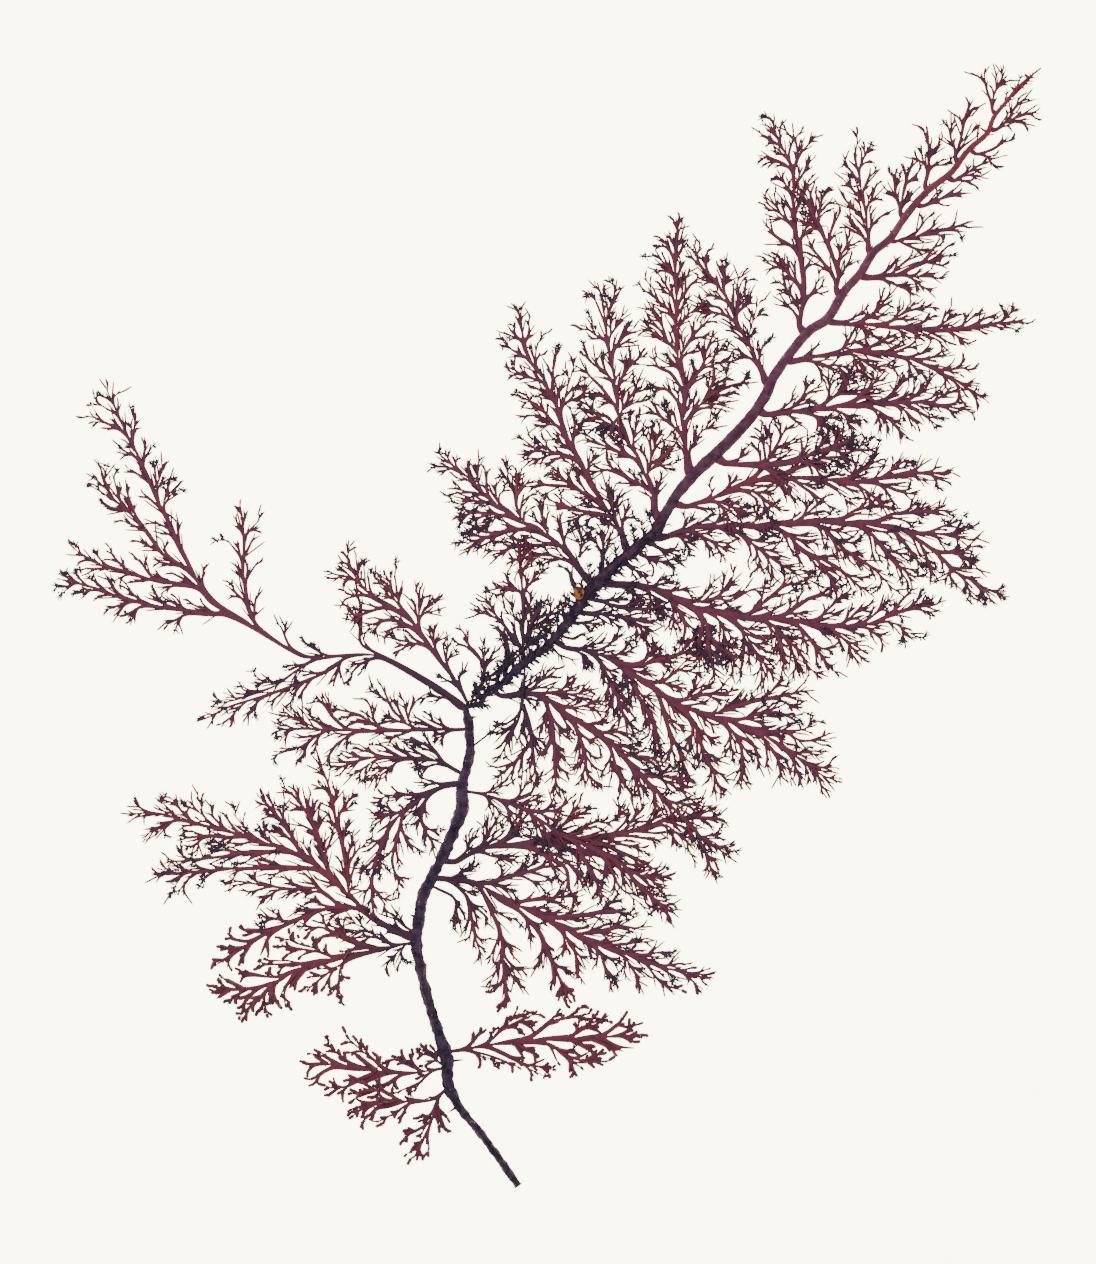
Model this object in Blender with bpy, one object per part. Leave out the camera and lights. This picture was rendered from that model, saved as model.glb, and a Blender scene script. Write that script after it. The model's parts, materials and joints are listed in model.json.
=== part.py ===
"""A pressed, dried red seaweed, lying flat: a crooked main axis with side fronds that branch again and
again in one plane. One solid for the axis and one for each frond, in metres, with +Z up."""
import math

import bmesh
import bpy
from mathutils.bvhtree import BVHTree

# Sizes in millimetres, seen from above: X to the right and Y up the page.
MM = 0.001
BLADE = 0.6            # thickness of a frond
AXIS_THICKNESS = 1.35  # thickness of the main axis
LAYER = 0.85           # rise from one layer of fronds to the next
FORK_ANGLE = 0.65      # radians between a branch and the stem that bears it
TWIG_GAP = 30.0        # spacing of the finest branchlets along a well branched stem
BARE_LENGTH = 6.0      # a stem with longer free stretches than this counts as bare
BARE_GAP = 4.6         # spacing of the finest branchlets along a bare stem
SHORT_SHARE = 0.0      # part of the shortest stems that bear a branchlet
TWIG_SHARE = 0.5       # length of a branchlet against what is left of its branch
SIDE_GAP = 0.3         # least free width between neighbouring fronds
ROOT_GAP = 0.2         # free width between the foot of a frond and the axis
STEP = 0.3             # spacing of the points that trace a stem
BEND_SLACK = 0.5       # how far a straight facet may stray from a bent stem
AXIS_STEP = 18         # points of the axis from one ring to the next

AXIS_LINE = [
    (-5.9, -111.6), (-9.5, -106.5), (-13.8, -100.5), (-17.2, -96.5), (-19.8, -91.5), (-20.3, -86),
    (-22.5, -79), (-24.8, -71), (-26.3, -63.5), (-26.2, -61), (-25.2, -54.5), (-23.3, -50),
    (-20.5, -44.5), (-17.5, -37), (-17, -31), (-15.7, -25), (-15.8, -19.5), (-16.2, -16),
    (-13.5, -15), (-12, -12.5), (-9.3, -11), (-6, -8), (-3, -5.5), (0, -3.5), (3, 0), (5.5, 3.5),
    (8, 7), (10.5, 9.5), (14, 13), (18, 16.3), (21.5, 19.5), (23.5, 23), (26.5, 27.5), (30.5, 32),
    (35, 36.2), (40, 41.5), (43.2, 46), (45, 50), (48.5, 55), (52, 59.2), (56, 62), (59, 67),
    (62.5, 71), (65, 75), (68.5, 78), (72, 83), (76, 87.5), (80.5, 91), (84, 95.5), (87.7, 98.8),
    (89.2, 102.2), (91.9, 105.5), (94.2, 108.4), (98.6, 112)]
AXIS_WIDTHS = [
    1.5, 1.5, 1.6, 1.7, 2.4, 2.6, 2.2, 2.0, 2.4, 2.4, 2.3, 2.4, 2.4, 2.6, 2.2, 1.8, 1.8, 1.6,
    1.2, 1.2, 1.5, 1.8, 1.9, 2.0, 2.2, 2.6, 3.0, 2.8, 2.6, 2.4, 2.2, 2.0, 2.0, 2.0, 2.0, 1.9,
    1.9, 1.8, 1.7, 1.7, 1.7, 1.6, 1.5, 1.4, 1.3, 1.3, 1.2, 1.1, 1.0, 0.9, 0.8, 0.7, 0.5, 0.3]
AXIS_STUBS = [
    (-22.9, -82.5), (-20, -96.9), (-16.9, -98.3), (-16.6, -86.3), (-27.8, -57.4), (-19.2, -42.2),
    (-14.1, -17.6), (-13, -16.4), (-18, -34.5), (92.3, 108.4), (95.2, 111), (95.4, 107.7),
    (-9.5, -8.4), (1.8, 4.1), (3.3, 6.4), (3.5, -6.8), (86.1, 100.2)]
GROWTH = (6.1, 7.0)    # centre of the crusty growth that sits on the axis
GROWTH_SIZE = (2.4, 3.0, 1.1)

# Each frond: its name, the line of its stem, the widths along that line, and its branches. A branch is
# the points it runs through, x and y in turn, to its tip; a pair alone is the tip of a short one.
FRONDS = [
    ("frond_foot_right",
     [(-18.9, -84.6), (-15.5, -84), (-9, -82.9), (0, -82.3), (8, -82), (14, -81.6), (19.2, -81.3)],
     [0.5, 0.8, 1.2, 1.6, 1.4, 1, 0.4],
     [(-14.6, -79), (-8, -78.6), (-4.7, -76.7), (-2.2, -76.8), (2.3, -77.1), (4, -77.6), (8.8, -77),
      (9.6, -78), (12.5, -78.6), (15.4, -78), (17.8, -79), (-12.3, -86), (-9.5, -87.2), (-5.5, -88),
      (-3.9, -87.7), (-0.5, -89.6), (1.4, -88.5), (5.5, -89.6), (7, -88), (9.8, -86.8), (12, -86.8),
      (15.4, -84.8), (17.6, -84)]),
    ("frond_foot_left",
     [(-21.3, -88), (-24, -88.6), (-30, -89.1), (-37, -88.2), (-43, -87.3), (-48.6, -87.2)],
     [0.4, 0.7, 1.2, 1.5, 1.2, 0.4],
     [(-25.5, -87.4), (-31.5, -85.2), (-33, -86.5), (-36.8, -84.5), (-40.7, -81.3), (-42.3, -84.6),
      (-44.6, -82.8), (-45.8, -84.6), (-48, -85), (-23.5, -90), (-26.5, -91.7), (-28, -93.5),
      (-31.5, -93.5), (-34.5, -93), (-39.4, -94.4), (-41.2, -92.3), (-45, -92), (-47.6, -90.5)]),
    ("twig_foot_left",
     [(-21.6, -87), (-22.6, -86.2), (-24, -85.2), (-26.2, -83.8)],
     [0.4, 0.5, 0.3],
     [(-23, -83.5), (-25, -83.1), (-26.4, -85.5), (-25, -86.6)]),
    ("frond_foot_low",
     [(-20.9, -92.6), (-22.5, -94.2), (-25, -94.5), (-31, -94.9), (-37, -95.8), (-39.6, -96.3)],
     [0.5, 0.8, 0.9, 2, 1.4, 0.4],
     [(-29.5, -93.4), (-34.8, -91.2), (-37.5, -92.2), (-38.6, -94), (-31.3, -97.7), (-34.6, -99.1),
      (-37.5, -99.1), (-39.1, -97.7), (-23.6, -93.2), (-22.8, -97, -23.6, -99, -24.6, -101.5,
      -25.8, -104, -27, -106.2), (-21.7, -100.1), (-25.7, -98.8), (-28.6, -101.8), (-23.7, -104.5),
      (-28.5, -105.3)]),
    ("frond_left_low",
     [(-27.7, -63.1), (-33, -64), (-39, -65.5), (-45, -66.6), (-51, -68.8), (-57, -71.8), (-63, -72.4),
      (-67.3, -72.5)],
     [0.5, 1, 1.3, 1.7, 1.6, 1.1, 0.7, 0.3],
     [(-37, -60.3), (-40.7, -58.2), (-39.2, -62.1), (-44.5, -59.5), (-46, -59.5), (-49.3, -60.3),
      (-48, -63.5), (-52.5, -62), (-54, -63.5), (-53, -66.3), (-57.5, -66.3), (-58.3, -67.4),
      (-62.2, -68.8), (-61.8, -70.2), (-65.8, -71), (-32.5, -67.5), (-42.5, -68.5), (-42, -74),
      (-39.8, -74.7), (-48, -72.3), (-46, -73.8), (-53.5, -73.5), (-52.5, -75.8), (-50, -76.2),
      (-58, -75.3), (-56.3, -77.5), (-61.8, -77.8), (-60, -76), (-64, -74.8), (-66.8, -73.7)]),
    ("frond_left_bend",
     [(-27.8, -61.6), (-33, -59.3), (-37.5, -56), (-41, -52), (-45, -48.6), (-49.5, -45.3), (-54, -43.9),
      (-60, -41.9), (-67, -39.8), (-72.5, -38.6), (-78, -37), (-84, -37.3)],
     [1.4, 1.3, 1, 1.1, 1.5, 1.3, 1.1, 1, 0.8, 0.6, 0.4, 0.25],
     [(-31, -58.3), (-32.8, -60.9), (-36.2, -55.2), (-42.5, -55.7, -46, -56.5, -50.5, -58.5,
      -55.5, -60.8, -61, -63.8, -66.5, -67.5), (-46, -52.2, -52, -52.2, -58, -51.2, -64, -50.3),
      (-52, -47.9, -60, -47.9, -67.5, -48.5, -74, -49.2, -79, -49), (-55.5, -44.7, -62, -45.1,
      -69, -46.3, -76.5, -46.7), (-51.5, -41.3, -54, -37.5, -58.3, -33.3), (-44.7, -46, -46.3, -40.7,
      -48.7, -36, -52.8, -31.7), (-40, -50, -40.8, -44.5, -42.2, -39, -43.3, -34, -44.7, -29, -46, -27),
      (-38.8, -51.3), (-63.5, -41.9, -67.5, -41.5, -73.5, -42.2), (-57.7, -39.7), (-60.3, -40),
      (-63.3, -36.5), (-65.3, -36.5), (-70, -36.2), (-69.3, -33.5), (-74, -34.5), (-75.7, -33.7),
      (-77.7, -34.2), (-83.2, -34.8), (-77.8, -39.5), (-81, -41.5), (-80.2, -42.5), (-81.5, -38.6)]),
    ("frond_left_curl",
     [(-18.9, -31.2), (-21, -31.5), (-23.5, -32.8), (-28.5, -36.3), (-31.5, -39.5), (-33.7, -44.5),
      (-35.2, -50), (-35, -56), (-34.5, -58.3)],
     [1, 1.2, 1, 0.8, 0.8, 0.7, 0.6, 0.5, 0.3],
     [(-33.1, -33.5), (-34.5, -34.9), (-35.3, -37.7), (-35.3, -40.1), (-36.2, -48.8), (-25.5, -37.5,
      -24.2, -41, -22.5, -44), (-29.8, -41, -31.2, -46.5, -29.5, -51.5), (-33, -48.5), (-30.5, -54),
      (-32, -56), (-37.6, -53.5)]),
    ("twig_left_low",
     [(-27.5, -60.4), (-29.3, -59.2), (-31, -57.4), (-33, -56.3)],
     [0.4, 0.35, 0.3],
     [(-30.2, -56.2), (-31.2, -58.8)]),
    ("frond_right_low",
     [(-21.6, -50.1), (-17.1, -50.4), (-13, -51.7), (-9.4, -54.3), (-3.1, -56.7), (3.9, -60.2),
      (10.2, -63.3), (16.4, -65.3), (21.9, -67.6), (29.7, -69.2), (32.8, -69.4)],
     [0.9, 1, 1.4, 1.7, 1.9, 1.8, 1.6, 1.3, 1, 0.6, 0.3],
     [(-10.1, -50.6, -7.4, -49.5, -3.5, -48.7, 0.2, -47.5, 2.9, -48.7), (-3.5, -54.3, 0.5, -54.1,
      3.9, -53.8, 6.8, -53.6), (4.7, -57.5, 7.8, -57.4, 11.5, -56.6, 17.3, -57.3), (7.4, -61, 11, -60.7,
      14.8, -59.6, 18.8, -60.4), (11.7, -63.6, 15.5, -63.3, 20.4, -61.8), (18.8, -65.5, 21.1, -65.1,
      23.4, -64.5), (24.2, -67.4, 27.3, -66.9), (28.9, -67.7), (31.5, -68.2), (33.3, -68.5), (-16.6, -53,
      -15.6, -56, -15, -60, -13.2, -66.2), (-12, -55, -9.7, -60, -9, -66, -8.5, -71, -8.2, -76.4),
      (-4, -58.2, -1.6, -60.9, -0.2, -64.9, 2.2, -69.5, 4.4, -74.9), (4.1, -63, 5.6, -65, 6.2, -70.3),
      (10.7, -65.7, 11.5, -68.2, 12.8, -71.6), (16.4, -67.4, 18.5, -71), (21.1, -69.2, 23.6, -72.3),
      (27, -72.5), (26.2, -70.8), (30.5, -72), (31.6, -70.7)]),
    ("twig_right_low",
     [(-21.1, -52.6), (-19.3, -53.4), (-18.3, -54.8), (-18.2, -57.5), (-17.3, -60.1)],
     [0.4, 0.45, 0.4, 0.25],
     [(-18.9, -57.6), (-19.1, -60), (-16.5, -57.2)]),
    ("frond_right_mid",
     [(-18.4, -46.7), (-15, -44.6), (-11, -43.7), (-3, -43), (3, -42.6), (10, -42.2), (16, -40.9),
      (22, -39), (28, -37.9), (32, -37.9), (35.5, -38.3)],
     [1, 1.3, 1.5, 1.7, 1.8, 1.9, 1.7, 1.5, 1.2, 0.8, 0.3],
     [(-12.5, -42.5, -11.3, -40, -9.5, -37.5), (-11.5, -45.4, -8.5, -46, -5.6, -47), (-6.6, -40.2,
      -4.6, -37.6, -2, -35.6), (-1.2, -45, 3.5, -47.8, 4.2, -52, 5.8, -54.2), (1.5, -45.2, 5.5, -48.5,
      7.6, -53), (4.2, -44.2, 8.2, -47.4, 10.8, -53.8), (10, -45.4, 15.5, -48.8, 20, -52.8, 24, -57),
      (13.5, -44.5, 17, -45.8, 20.6, -47.6), (3.5, -38.8, 6.5, -37.2, 9.6, -35.6), (5.5, -40.8, 8.5, -39,
      11.6, -38.5), (12.5, -38.8, 15.5, -35.8), (17, -38.2, 19.6, -35.1), (14.6, -43.2, 19.9, -44.1),
      (17.6, -41.8, 22.9, -42.4), (21.5, -37.6, 22.8, -36.1), (24.5, -37.5, 27, -35.5), (24.4, -40,
      25.8, -44.3), (27.4, -42, 28.4, -45.7), (31, -36.7, 33.3, -36.6), (33.4, -38.9)]),
    ("frond_right_thin",
     [(-16.1, -32.7), (-12, -33.4), (-8, -35.1), (-5, -36), (-1.5, -38.5), (2.5, -41.2), (7, -43.2),
      (11.5, -45.2), (15, -47.5), (17.5, -50.6), (20.2, -53.4), (24.4, -56.8)],
     [0.4, 0.5, 0.7, 0.8, 0.8, 0.8, 0.8, 0.9, 1, 0.9, 0.6, 0.3],
     [(-7.5, -37.2, -5.9, -39.7), (-3.8, -33.5, -2.6, -31, -0.9, -29), (-8.1, -39.8), (-9.3, -37.2),
      (1.8, -36.4, 5, -33.3), (-3, -40.5), (0.5, -43.8), (3.5, -45.5), (9, -49.5, 11.6, -54.8),
      (13.5, -50.5, 15.5, -53), (17, -54, 17.5, -57), (19.4, -54.6, 20.2, -56), (19.8, -49.6,
      25.1, -49.5), (23.4, -51), (23.3, -52.5), (25.6, -55.4), (24.4, -58.6), (22.8, -57.2)]),
    ("frond_left_mid",
     [(-17.2, -20.3), (-24, -20.3), (-28, -20.3), (-36, -20.6), (-44, -20.3), (-50, -20), (-54.8, -20.7)],
     [0.5, 0.7, 0.8, 0.8, 0.8, 0.5, 0.25],
     [(-29.1, -13.8), (-30.5, -17.2, -31.5, -15.5, -33.7, -10.6), (-35.7, -12.5), (-36.5, -16.4),
      (-36.5, -18, -39, -17, -44, -15.9), (-42, -18.8, -43.8, -16.8, -46, -12.8), (-46.8, -14.2),
      (-52.3, -16.3), (-50, -18.3), (-54.5, -17.4), (-36.5, -24), (-40.5, -23.5), (-42.5, -23.5,
      -44.8, -27.5), (-47.8, -22.8, -51.4, -24.7), (-54.4, -24.8), (-53.5, -22.3)]),
    ("frond_left_small",
     [(-18.4, -28.5), (-21, -27), (-24, -26.3), (-31, -26), (-35, -25.9), (-38, -26.4), (-43.5, -28.7)],
     [0.6, 0.8, 0.8, 0.7, 0.7, 0.6, 0.25],
     [(-28.3, -30.6), (-32.3, -28.2), (-36.5, -30.5), (-34.3, -30.3), (-38.9, -29.5), (-40.7, -29.9),
      (-43, -26.2), (-41.7, -24.3), (-38.2, -23), (-36, -23.6), (-23, -24, -26, -22.8, -30, -22),
      (-19.5, -25.5, -20.3, -22, -20.9, -19.2)]),
    ("frond_left_long",
     [(-17.8, -15.3), (-21.5, -12.5), (-27.5, -8.8), (-34.5, -5.4), (-42, -5.7), (-48.5, -5.8),
      (-54, -2.7), (-60, 0.9), (-66, 4.2), (-70.5, 9.8), (-74.3, 17.5), (-77.3, 24), (-80.2, 30.5),
      (-84.6, 39.5), (-88.5, 48.3)],
     [1.4, 1.3, 1, 0.8, 0.7, 0.9, 1, 1.3, 1.2, 1, 0.9, 0.8, 0.7, 0.5, 0.25],
     [(-37.5, -7.2, -40, -9.8), (-37.3, -3, -37.5, 0, -37.3, 3, -38.3, 8), (-43, -8, -46, -9.5, -52, -12,
      -58, -14, -64, -15.8, -69, -18.5), (-49.9, -8.3, -54, -11.3, -60.5, -13.8, -66, -15.2), (-60.2, 5,
      -61, 12, -60.8, 19, -61.8, 25.8), (-68, 2.8, -75, 3.8, -82, 5.1, -88, 7, -94, 9, -98.5, 10),
      (-71.2, 8.6, -76, 9, -82, 10.6, -90, 12.9, -95, 16), (-73.2, 12.4, -77, 14.8, -80, 19, -84.5, 24,
      -91.5, 28.5), (-78.8, 21.4), (-81.5, 20.8), (-84, 25.6), (-84.6, 28.2), (-87.3, 31.2),
      (-90.3, 34.2), (-85.8, 36), (-91.7, 42.8), (-90.3, 45), (-91.3, 47.3), (-82.3, 42.6),
      (-81.6, 40.5), (-79.6, 37.8), (-76.7, 33.7), (-75.9, 28.8), (-73.5, 28.6), (-71.3, 25.6),
      (-68.7, 12.7), (-52.2, -7.4), (-50, -2.2)]),
    ("frond_left_up",
     [(-16.5, -14.2), (-17.7, -11.6), (-20.5, -7.7), (-23, -4.3), (-25.2, -1.9), (-26.3, 0),
      (-27.5, 1.7), (-30, 3.7), (-32.5, 4.6), (-35.5, 6.6), (-38, 9.6), (-39.4, 12), (-40.6, 15.2)],
     [0.5, 0.7, 1, 1.2, 1.2, 1.1, 1.5, 1.5, 1.1, 0.9, 0.7, 0.5, 0.25],
     [(-17.7, -8.3), (-21.6, -9.8), (-20.2, -5, -20, -2.3), (-22.8, -2.3, -22.8, 1.1), (-27.5, -6.2),
      (-28.5, -2.8, -32.3, -1.7), (-31.4, -5.5), (-25.8, 3, -25.7, 8.6), (-21.5, 6.9), (-31, 1.6,
      -34, 1.1, -37, 0.2), (-30.3, 6.5, -30.7, 11.7), (-32.6, 8.3, -35, 10.2), (-33, 9.9), (-34.5, 3.8,
      -38, 2.5, -40.4, 3.6), (-38, 6.6, -41.3, 5.5), (-36.6, 10, -36.9, 12.8), (-40.5, 10.3,
      -43.5, 10.9), (-38.3, 12.5, -38.5, 15), (-41.8, 13.7), (-39.5, 16.7)]),
    ("twig_left_dark",
     [(-15.2, -12.8), (-13.6, -11.7), (-12.7, -9.3), (-13, -6.8), (-14.5, -5), (-16.5, -3.5),
      (-18.6, -3.4)],
     [0.5, 0.5, 0.5, 0.7, 0.8, 0.6, 0.3],
     [(-17.1, -0.2), (-12.5, -3.4), (-16.3, -5.8), (-15, -7)]),
    ("frond_centre_down",
     [(-5.3, -15.2), (-4.9, -16.5), (-4, -18.6), (-3.6, -20.4), (-3.3, -22.6), (-5, -25), (-6.8, -27),
      (-8.7, -28.7), (-10.8, -30.3)],
     [1.2, 1.1, 0.9, 0.7, 0.6, 0.6, 0.5, 0.4, 0.25],
     [(-7, -17.6, -10, -20, -12, -21.7, -15, -24), (-10.3, -17), (-9, -19.4), (-8.7, -21.3),
      (-2.4, -16.3), (-9, -25), (-10.3, -27), (-7.3, -30.7), (-4.7, -29), (-2.8, -25.5, -2.7, -28,
      -1.8, -31), (-0.5, -23.5)]),
    ("frond_centre_right",
     [(-9.7, -13.4), (-8, -13.6), (-5, -13.1), (-3, -12.8), (-1, -13.7), (1, -15.2), (5, -18.3),
      (10, -21), (14.3, -24.7), (18, -28.7), (21.3, -32.3), (25, -36), (28.3, -39), (30.5, -42.2),
      (33.1, -49.8)],
     [0.9, 1.3, 1.6, 1.5, 1.4, 1.4, 1.2, 1.2, 1.1, 1, 0.8, 0.6, 0.5, 0.25],
     [(-1, -10.2, 0.4, -7.8), (1.6, -12.8, 4.5, -13.2, 8.5, -14.6), (6, -11.6), (8.7, -12.2),
      (4.6, -15.9, 7.7, -15.5, 10.7, -14.3), (6.1, -16.9), (12.4, -20.9, 14.6, -20.7, 17.3, -21.6),
      (18.5, -20.9), (17, -25.2), (18, -25.7, 20.5, -25.9, 23.3, -27.4), (23, -30), (22, -29.8,
      24.5, -29.8, 28.3, -30.4), (24, -31, 27.7, -33.4), (27, -35.2, 31.3, -35.7), (30, -37.2),
      (32.6, -42.8, 36.5, -46.3), (36.7, -43.8), (35, -44.3), (0.4, -17.4, 1, -20.7, 1.1, -24, 1.4, -28,
      1.7, -33.4), (6.6, -22.4, 7.4, -25.2, 7.5, -28, 9.3, -31.8), (12.9, -25.6, 13.5, -28, 14.6, -30.4,
      17.4, -34.2), (17.4, -30.3, 18.1, -32, 18.8, -34.8), (20.8, -34.7), (21.5, -34.6, 21.5, -36.3,
      20.2, -38.2), (23.3, -36.6)]),
    ("frond_right_centre",
     [(3.6, -3.9), (5.7, -4.2), (8, -4.7), (11.3, -5.5), (14, -7), (18, -10.3), (21.2, -11.6),
      (23.1, -13.9), (28.9, -16.4), (32.1, -17.2), (37.9, -19.2), (43, -21.3), (47.8, -24.5),
      (52, -27.3), (56.8, -31.2)],
     [0.9, 1, 1, 1.4, 1.4, 1.5, 1.8, 1.8, 1.7, 1.6, 1.5, 1.3, 1, 0.7, 0.3],
     [(12.3, -3.4, 13.9, -1.4), (17.3, -4.6), (16.6, -2.4), (18, -7.4, 21.2, -6.5, 24.4, -5.9, 27, -4.9,
      29.5, -3.6, 32.8, -1.8), (23.5, -10.4, 25.8, -8.5, 28.9, -8.6), (25, -7), (25.7, -12.4),
      (28.9, -14, 31, -13.2, 33.5, -13.3, 37.5, -13.6), (31.8, -9.8), (37.2, -12.3), (34.5, -15.3),
      (36, -16.2, 38.5, -15.5, 41.1, -14.5, 45.6, -13.9, 52, -12.3), (40.6, -17.7, 43, -16.9, 46, -16.9,
      50.1, -18.7), (43.9, -20.8, 48.8, -20.6, 52, -20.3), (54.5, -18.2), (50.1, -22.5, 52.6, -22.5,
      57.1, -22.1), (54.5, -24.5), (54.7, -25.9), (57.8, -27.9), (58.4, -30), (55.1, -33.5), (10.9, -7.4,
      12, -9.7, 13, -12, 14.3, -15, 15.3, -18, 16.5, -21), (17.6, -12.2, 18.4, -14.2, 20, -16.5,
      21.3, -19, 21.7, -22, 21.1, -25.2), (23, -16.2, 23.9, -19, 25, -22.5, 26.5, -25, 27.4, -28.5,
      29.2, -31.5), (29, -18.8, 30, -21.5, 31, -24.7, 32.5, -27.3, 33.4, -30, 32.9, -33.7), (36.9, -21,
      38.5, -23, 38.9, -26, 38.5, -31), (40.5, -22.6, 41.7, -25, 42.5, -28.5), (44.6, -24, 46.1, -26.3,
      47.8, -30.5), (47.5, -26.3, 48.8, -30.2), (49.4, -27.5, 50.8, -31.5)]),
    ("frond_right_long",
     [(10.6, 8.3), (13, 8.7), (17, 8.6), (22.2, 7.4), (26.3, 5.7), (30.8, 3.6), (36, 2.6), (41.1, 2.1),
      (46.9, 1.8), (52, 0.9), (57.1, 0.2), (62, 0.6), (65.9, 1.2), (70.9, 3.5), (78.3, 4.8)],
     [1.1, 1.3, 1.7, 1.9, 1.8, 1.7, 1.6, 1.6, 1.5, 1.4, 1.3, 1.2, 1, 0.7, 0.3],
     [(22.4, 9.7), (26.5, 7.7, 29.3, 7.3), (31.2, 5.5, 34, 6.2, 38.5, 6.6), (33.7, 8.2), (36.2, 8.6,
      37.3, 10.9), (36.4, 5.3, 38.5, 6.5, 40.6, 7.7, 45.4, 8.3), (40, 11), (42.3, 4.2, 44.6, 6.3,
      46.6, 8, 49, 10.2), (43.7, 9.8), (47.6, 11), (48.8, 5.4), (50.4, 7), (49, 3.6, 51.7, 5.7, 54, 6.5,
      57.7, 8.7), (52.3, 9.6), (55.4, 4), (54.5, 2, 57, 4.8, 60.2, 7.2), (58.8, 2.9), (61.4, 3, 64.8, 5),
      (63.6, 3.5), (65.6, 3.1, 68.8, 6.2), (67.3, 3.8), (70.4, 5.3, 73.3, 7.8), (75.9, 6.1), (71, 2.2),
      (70.4, 0.8), (73, -2), (21.7, 5.4, 22.7, 3.5, 23.6, 1.3), (25.9, 3.9, 27.2, 1.4, 27.5, -0.6,
      26.2, -4.3), (31.1, 1.7, 31.9, -0.3, 32, -3, 32.4, -6, 33.3, -9.6), (36.3, -0.8), (37.6, -3.1),
      (33.4, -3.2, 36, -5, 39, -6.5), (29.6, -7.5), (35.2, -11.5), (37.7, -8.8), (38.4, 0.2, 39.9, -1.8,
      41.2, -4.4, 43.3, -7.4, 45.6, -10.3), (39.2, -4.5, 38.2, -10.6), (42.3, -2.1, 46.5, -1.5,
      52.6, -2.5), (44.8, -5.2), (47.8, -7.4), (42.6, -12.6), (45.4, -0.1, 47, -1.9, 49.8, -4.3,
      51.4, -6.5, 52.5, -8.8), (46.6, -4.5, 48, -8.6), (50.1, -9.6), (50.9, -0.5, 52.9, -3, 55, -6,
      57, -8.8), (58.5, -3.9), (54.6, -9.8), (58.1, -1.2, 60.1, -3.1, 63.6, -6.9), (61.8, -1.9),
      (64.5, -3.7), (65, -0.8, 67.7, -3.1)]),
    ("frond_right_broad",
     [(22.3, 17.8), (24.9, 18.8), (28.2, 19.7), (31.5, 20.3), (38.5, 20.5), (46.3, 20.7), (50.4, 21.3),
      (58.6, 21.1), (66.4, 20.7), (72, 19.2), (75.2, 16.6), (78, 14.8), (79.8, 12.7), (82.4, 10.6),
      (85.8, 9), (87.2, 7.9), (90.9, 6.9)],
     [1, 1.1, 1.2, 1.4, 1.8, 1.6, 1.7, 1.6, 1.5, 1.4, 1.2, 1.1, 1, 0.9, 0.7, 0.5, 0.3],
     [(29.5, 22.8), (35.5, 22.7, 36.6, 25.2), (43.2, 22.8, 45, 25.4), (51.9, 23, 54, 25, 56.4, 26.8),
      (61.1, 23.2, 64.3, 24.4, 67.5, 24.3, 71, 23.7), (66.6, 27), (68, 22.3, 71, 23, 75, 23.3,
      79.9, 23.6), (75, 24.9), (76.8, 18.9, 80.1, 18.7, 83, 18.1, 85.8, 17.2), (78.3, 20.1, 82.2, 21.3),
      (82.6, 19.9, 86, 20.5), (81.9, 16.3), (80, 15.1, 82, 15.6, 86.8, 16.7), (82.8, 14.4, 85.8, 12.8),
      (83.6, 11.8, 86.4, 11.9), (90.8, 7.9), (83.8, 8.8, 84.7, 5.3), (87, 5.8), (88.6, 6.2), (80.2, 10.6,
      81.2, 9.2, 81.9, 7.3), (28.6, 16.4), (32.9, 17.3, 34.2, 15.4, 35.9, 13.2), (36.9, 15.3),
      (34.3, 14.6), (39.7, 18, 42, 15.8, 44.5, 14, 47, 12.3, 49.7, 11.1), (45.6, 16.9), (40.9, 13.6),
      (42.7, 11.2), (45.5, 9.4), (48.6, 15.2), (48.9, 17.8, 51.1, 15.3, 54.9, 13.7, 58, 12, 61, 9.4,
      63.5, 7), (56, 17.2), (52, 11.6), (54.5, 8.7), (58.7, 6.4), (65.2, 7.8), (56.7, 18.2, 59, 15.9,
      62, 13.9, 65, 12, 67.6, 10.3), (62.7, 16.7), (58.3, 12.2), (60, 9), (64.5, 18.8, 67, 15.9,
      69, 13.4, 71, 11.7, 74.3, 9.4), (70.9, 16.6), (65.6, 14.4), (67.3, 11.5), (69.9, 7), (70.6, 18,
      72.4, 15.7, 75, 11.5), (74.6, 16.4, 76, 13.5, 77.4, 9.5), (79, 10.9)]),
    ("frond_right_upper",
     [(27.7, 24.4), (30.5, 25), (35.2, 26.9), (40.5, 29.3), (43, 30), (49.5, 30.2), (56.1, 29.7),
      (62.7, 29.1), (69.2, 30.6), (75.4, 31), (81.3, 31)],
     [1, 1.1, 1.2, 1.5, 1.5, 1.4, 1.4, 1.3, 1.3, 0.9, 0.3],
     [(33.1, 28.2), (35.3, 30.6), (42.7, 31.6, 44.3, 34.6, 46.3, 37.4, 46.6, 40.5), (44.2, 41),
      (42.6, 39.5), (48.5, 40.6), (49.8, 37.2), (48, 31, 51.5, 32.8, 55, 33.9, 61, 34.3), (59.5, 32),
      (61.8, 30.8, 64.2, 32.5, 66.3, 35.3), (67.8, 32.7), (69.4, 32.3, 72.6, 33.9), (75.5, 33.2),
      (77.9, 32.7), (32.4, 23), (36, 24.6, 38.7, 23.2, 41.4, 22.9), (41.5, 27, 44, 25, 47.6, 23.2),
      (46.7, 28.5, 48.6, 26.6, 50.3, 24), (50.6, 28.6, 53.6, 26.4, 57, 23.7), (57.3, 27.8, 59.8, 26),
      (61.5, 24.9), (63.2, 27.6, 65.5, 25.7, 68.3, 23.6), (67, 28.6, 70, 27.4, 74.6, 26.5), (72.5, 28),
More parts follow.
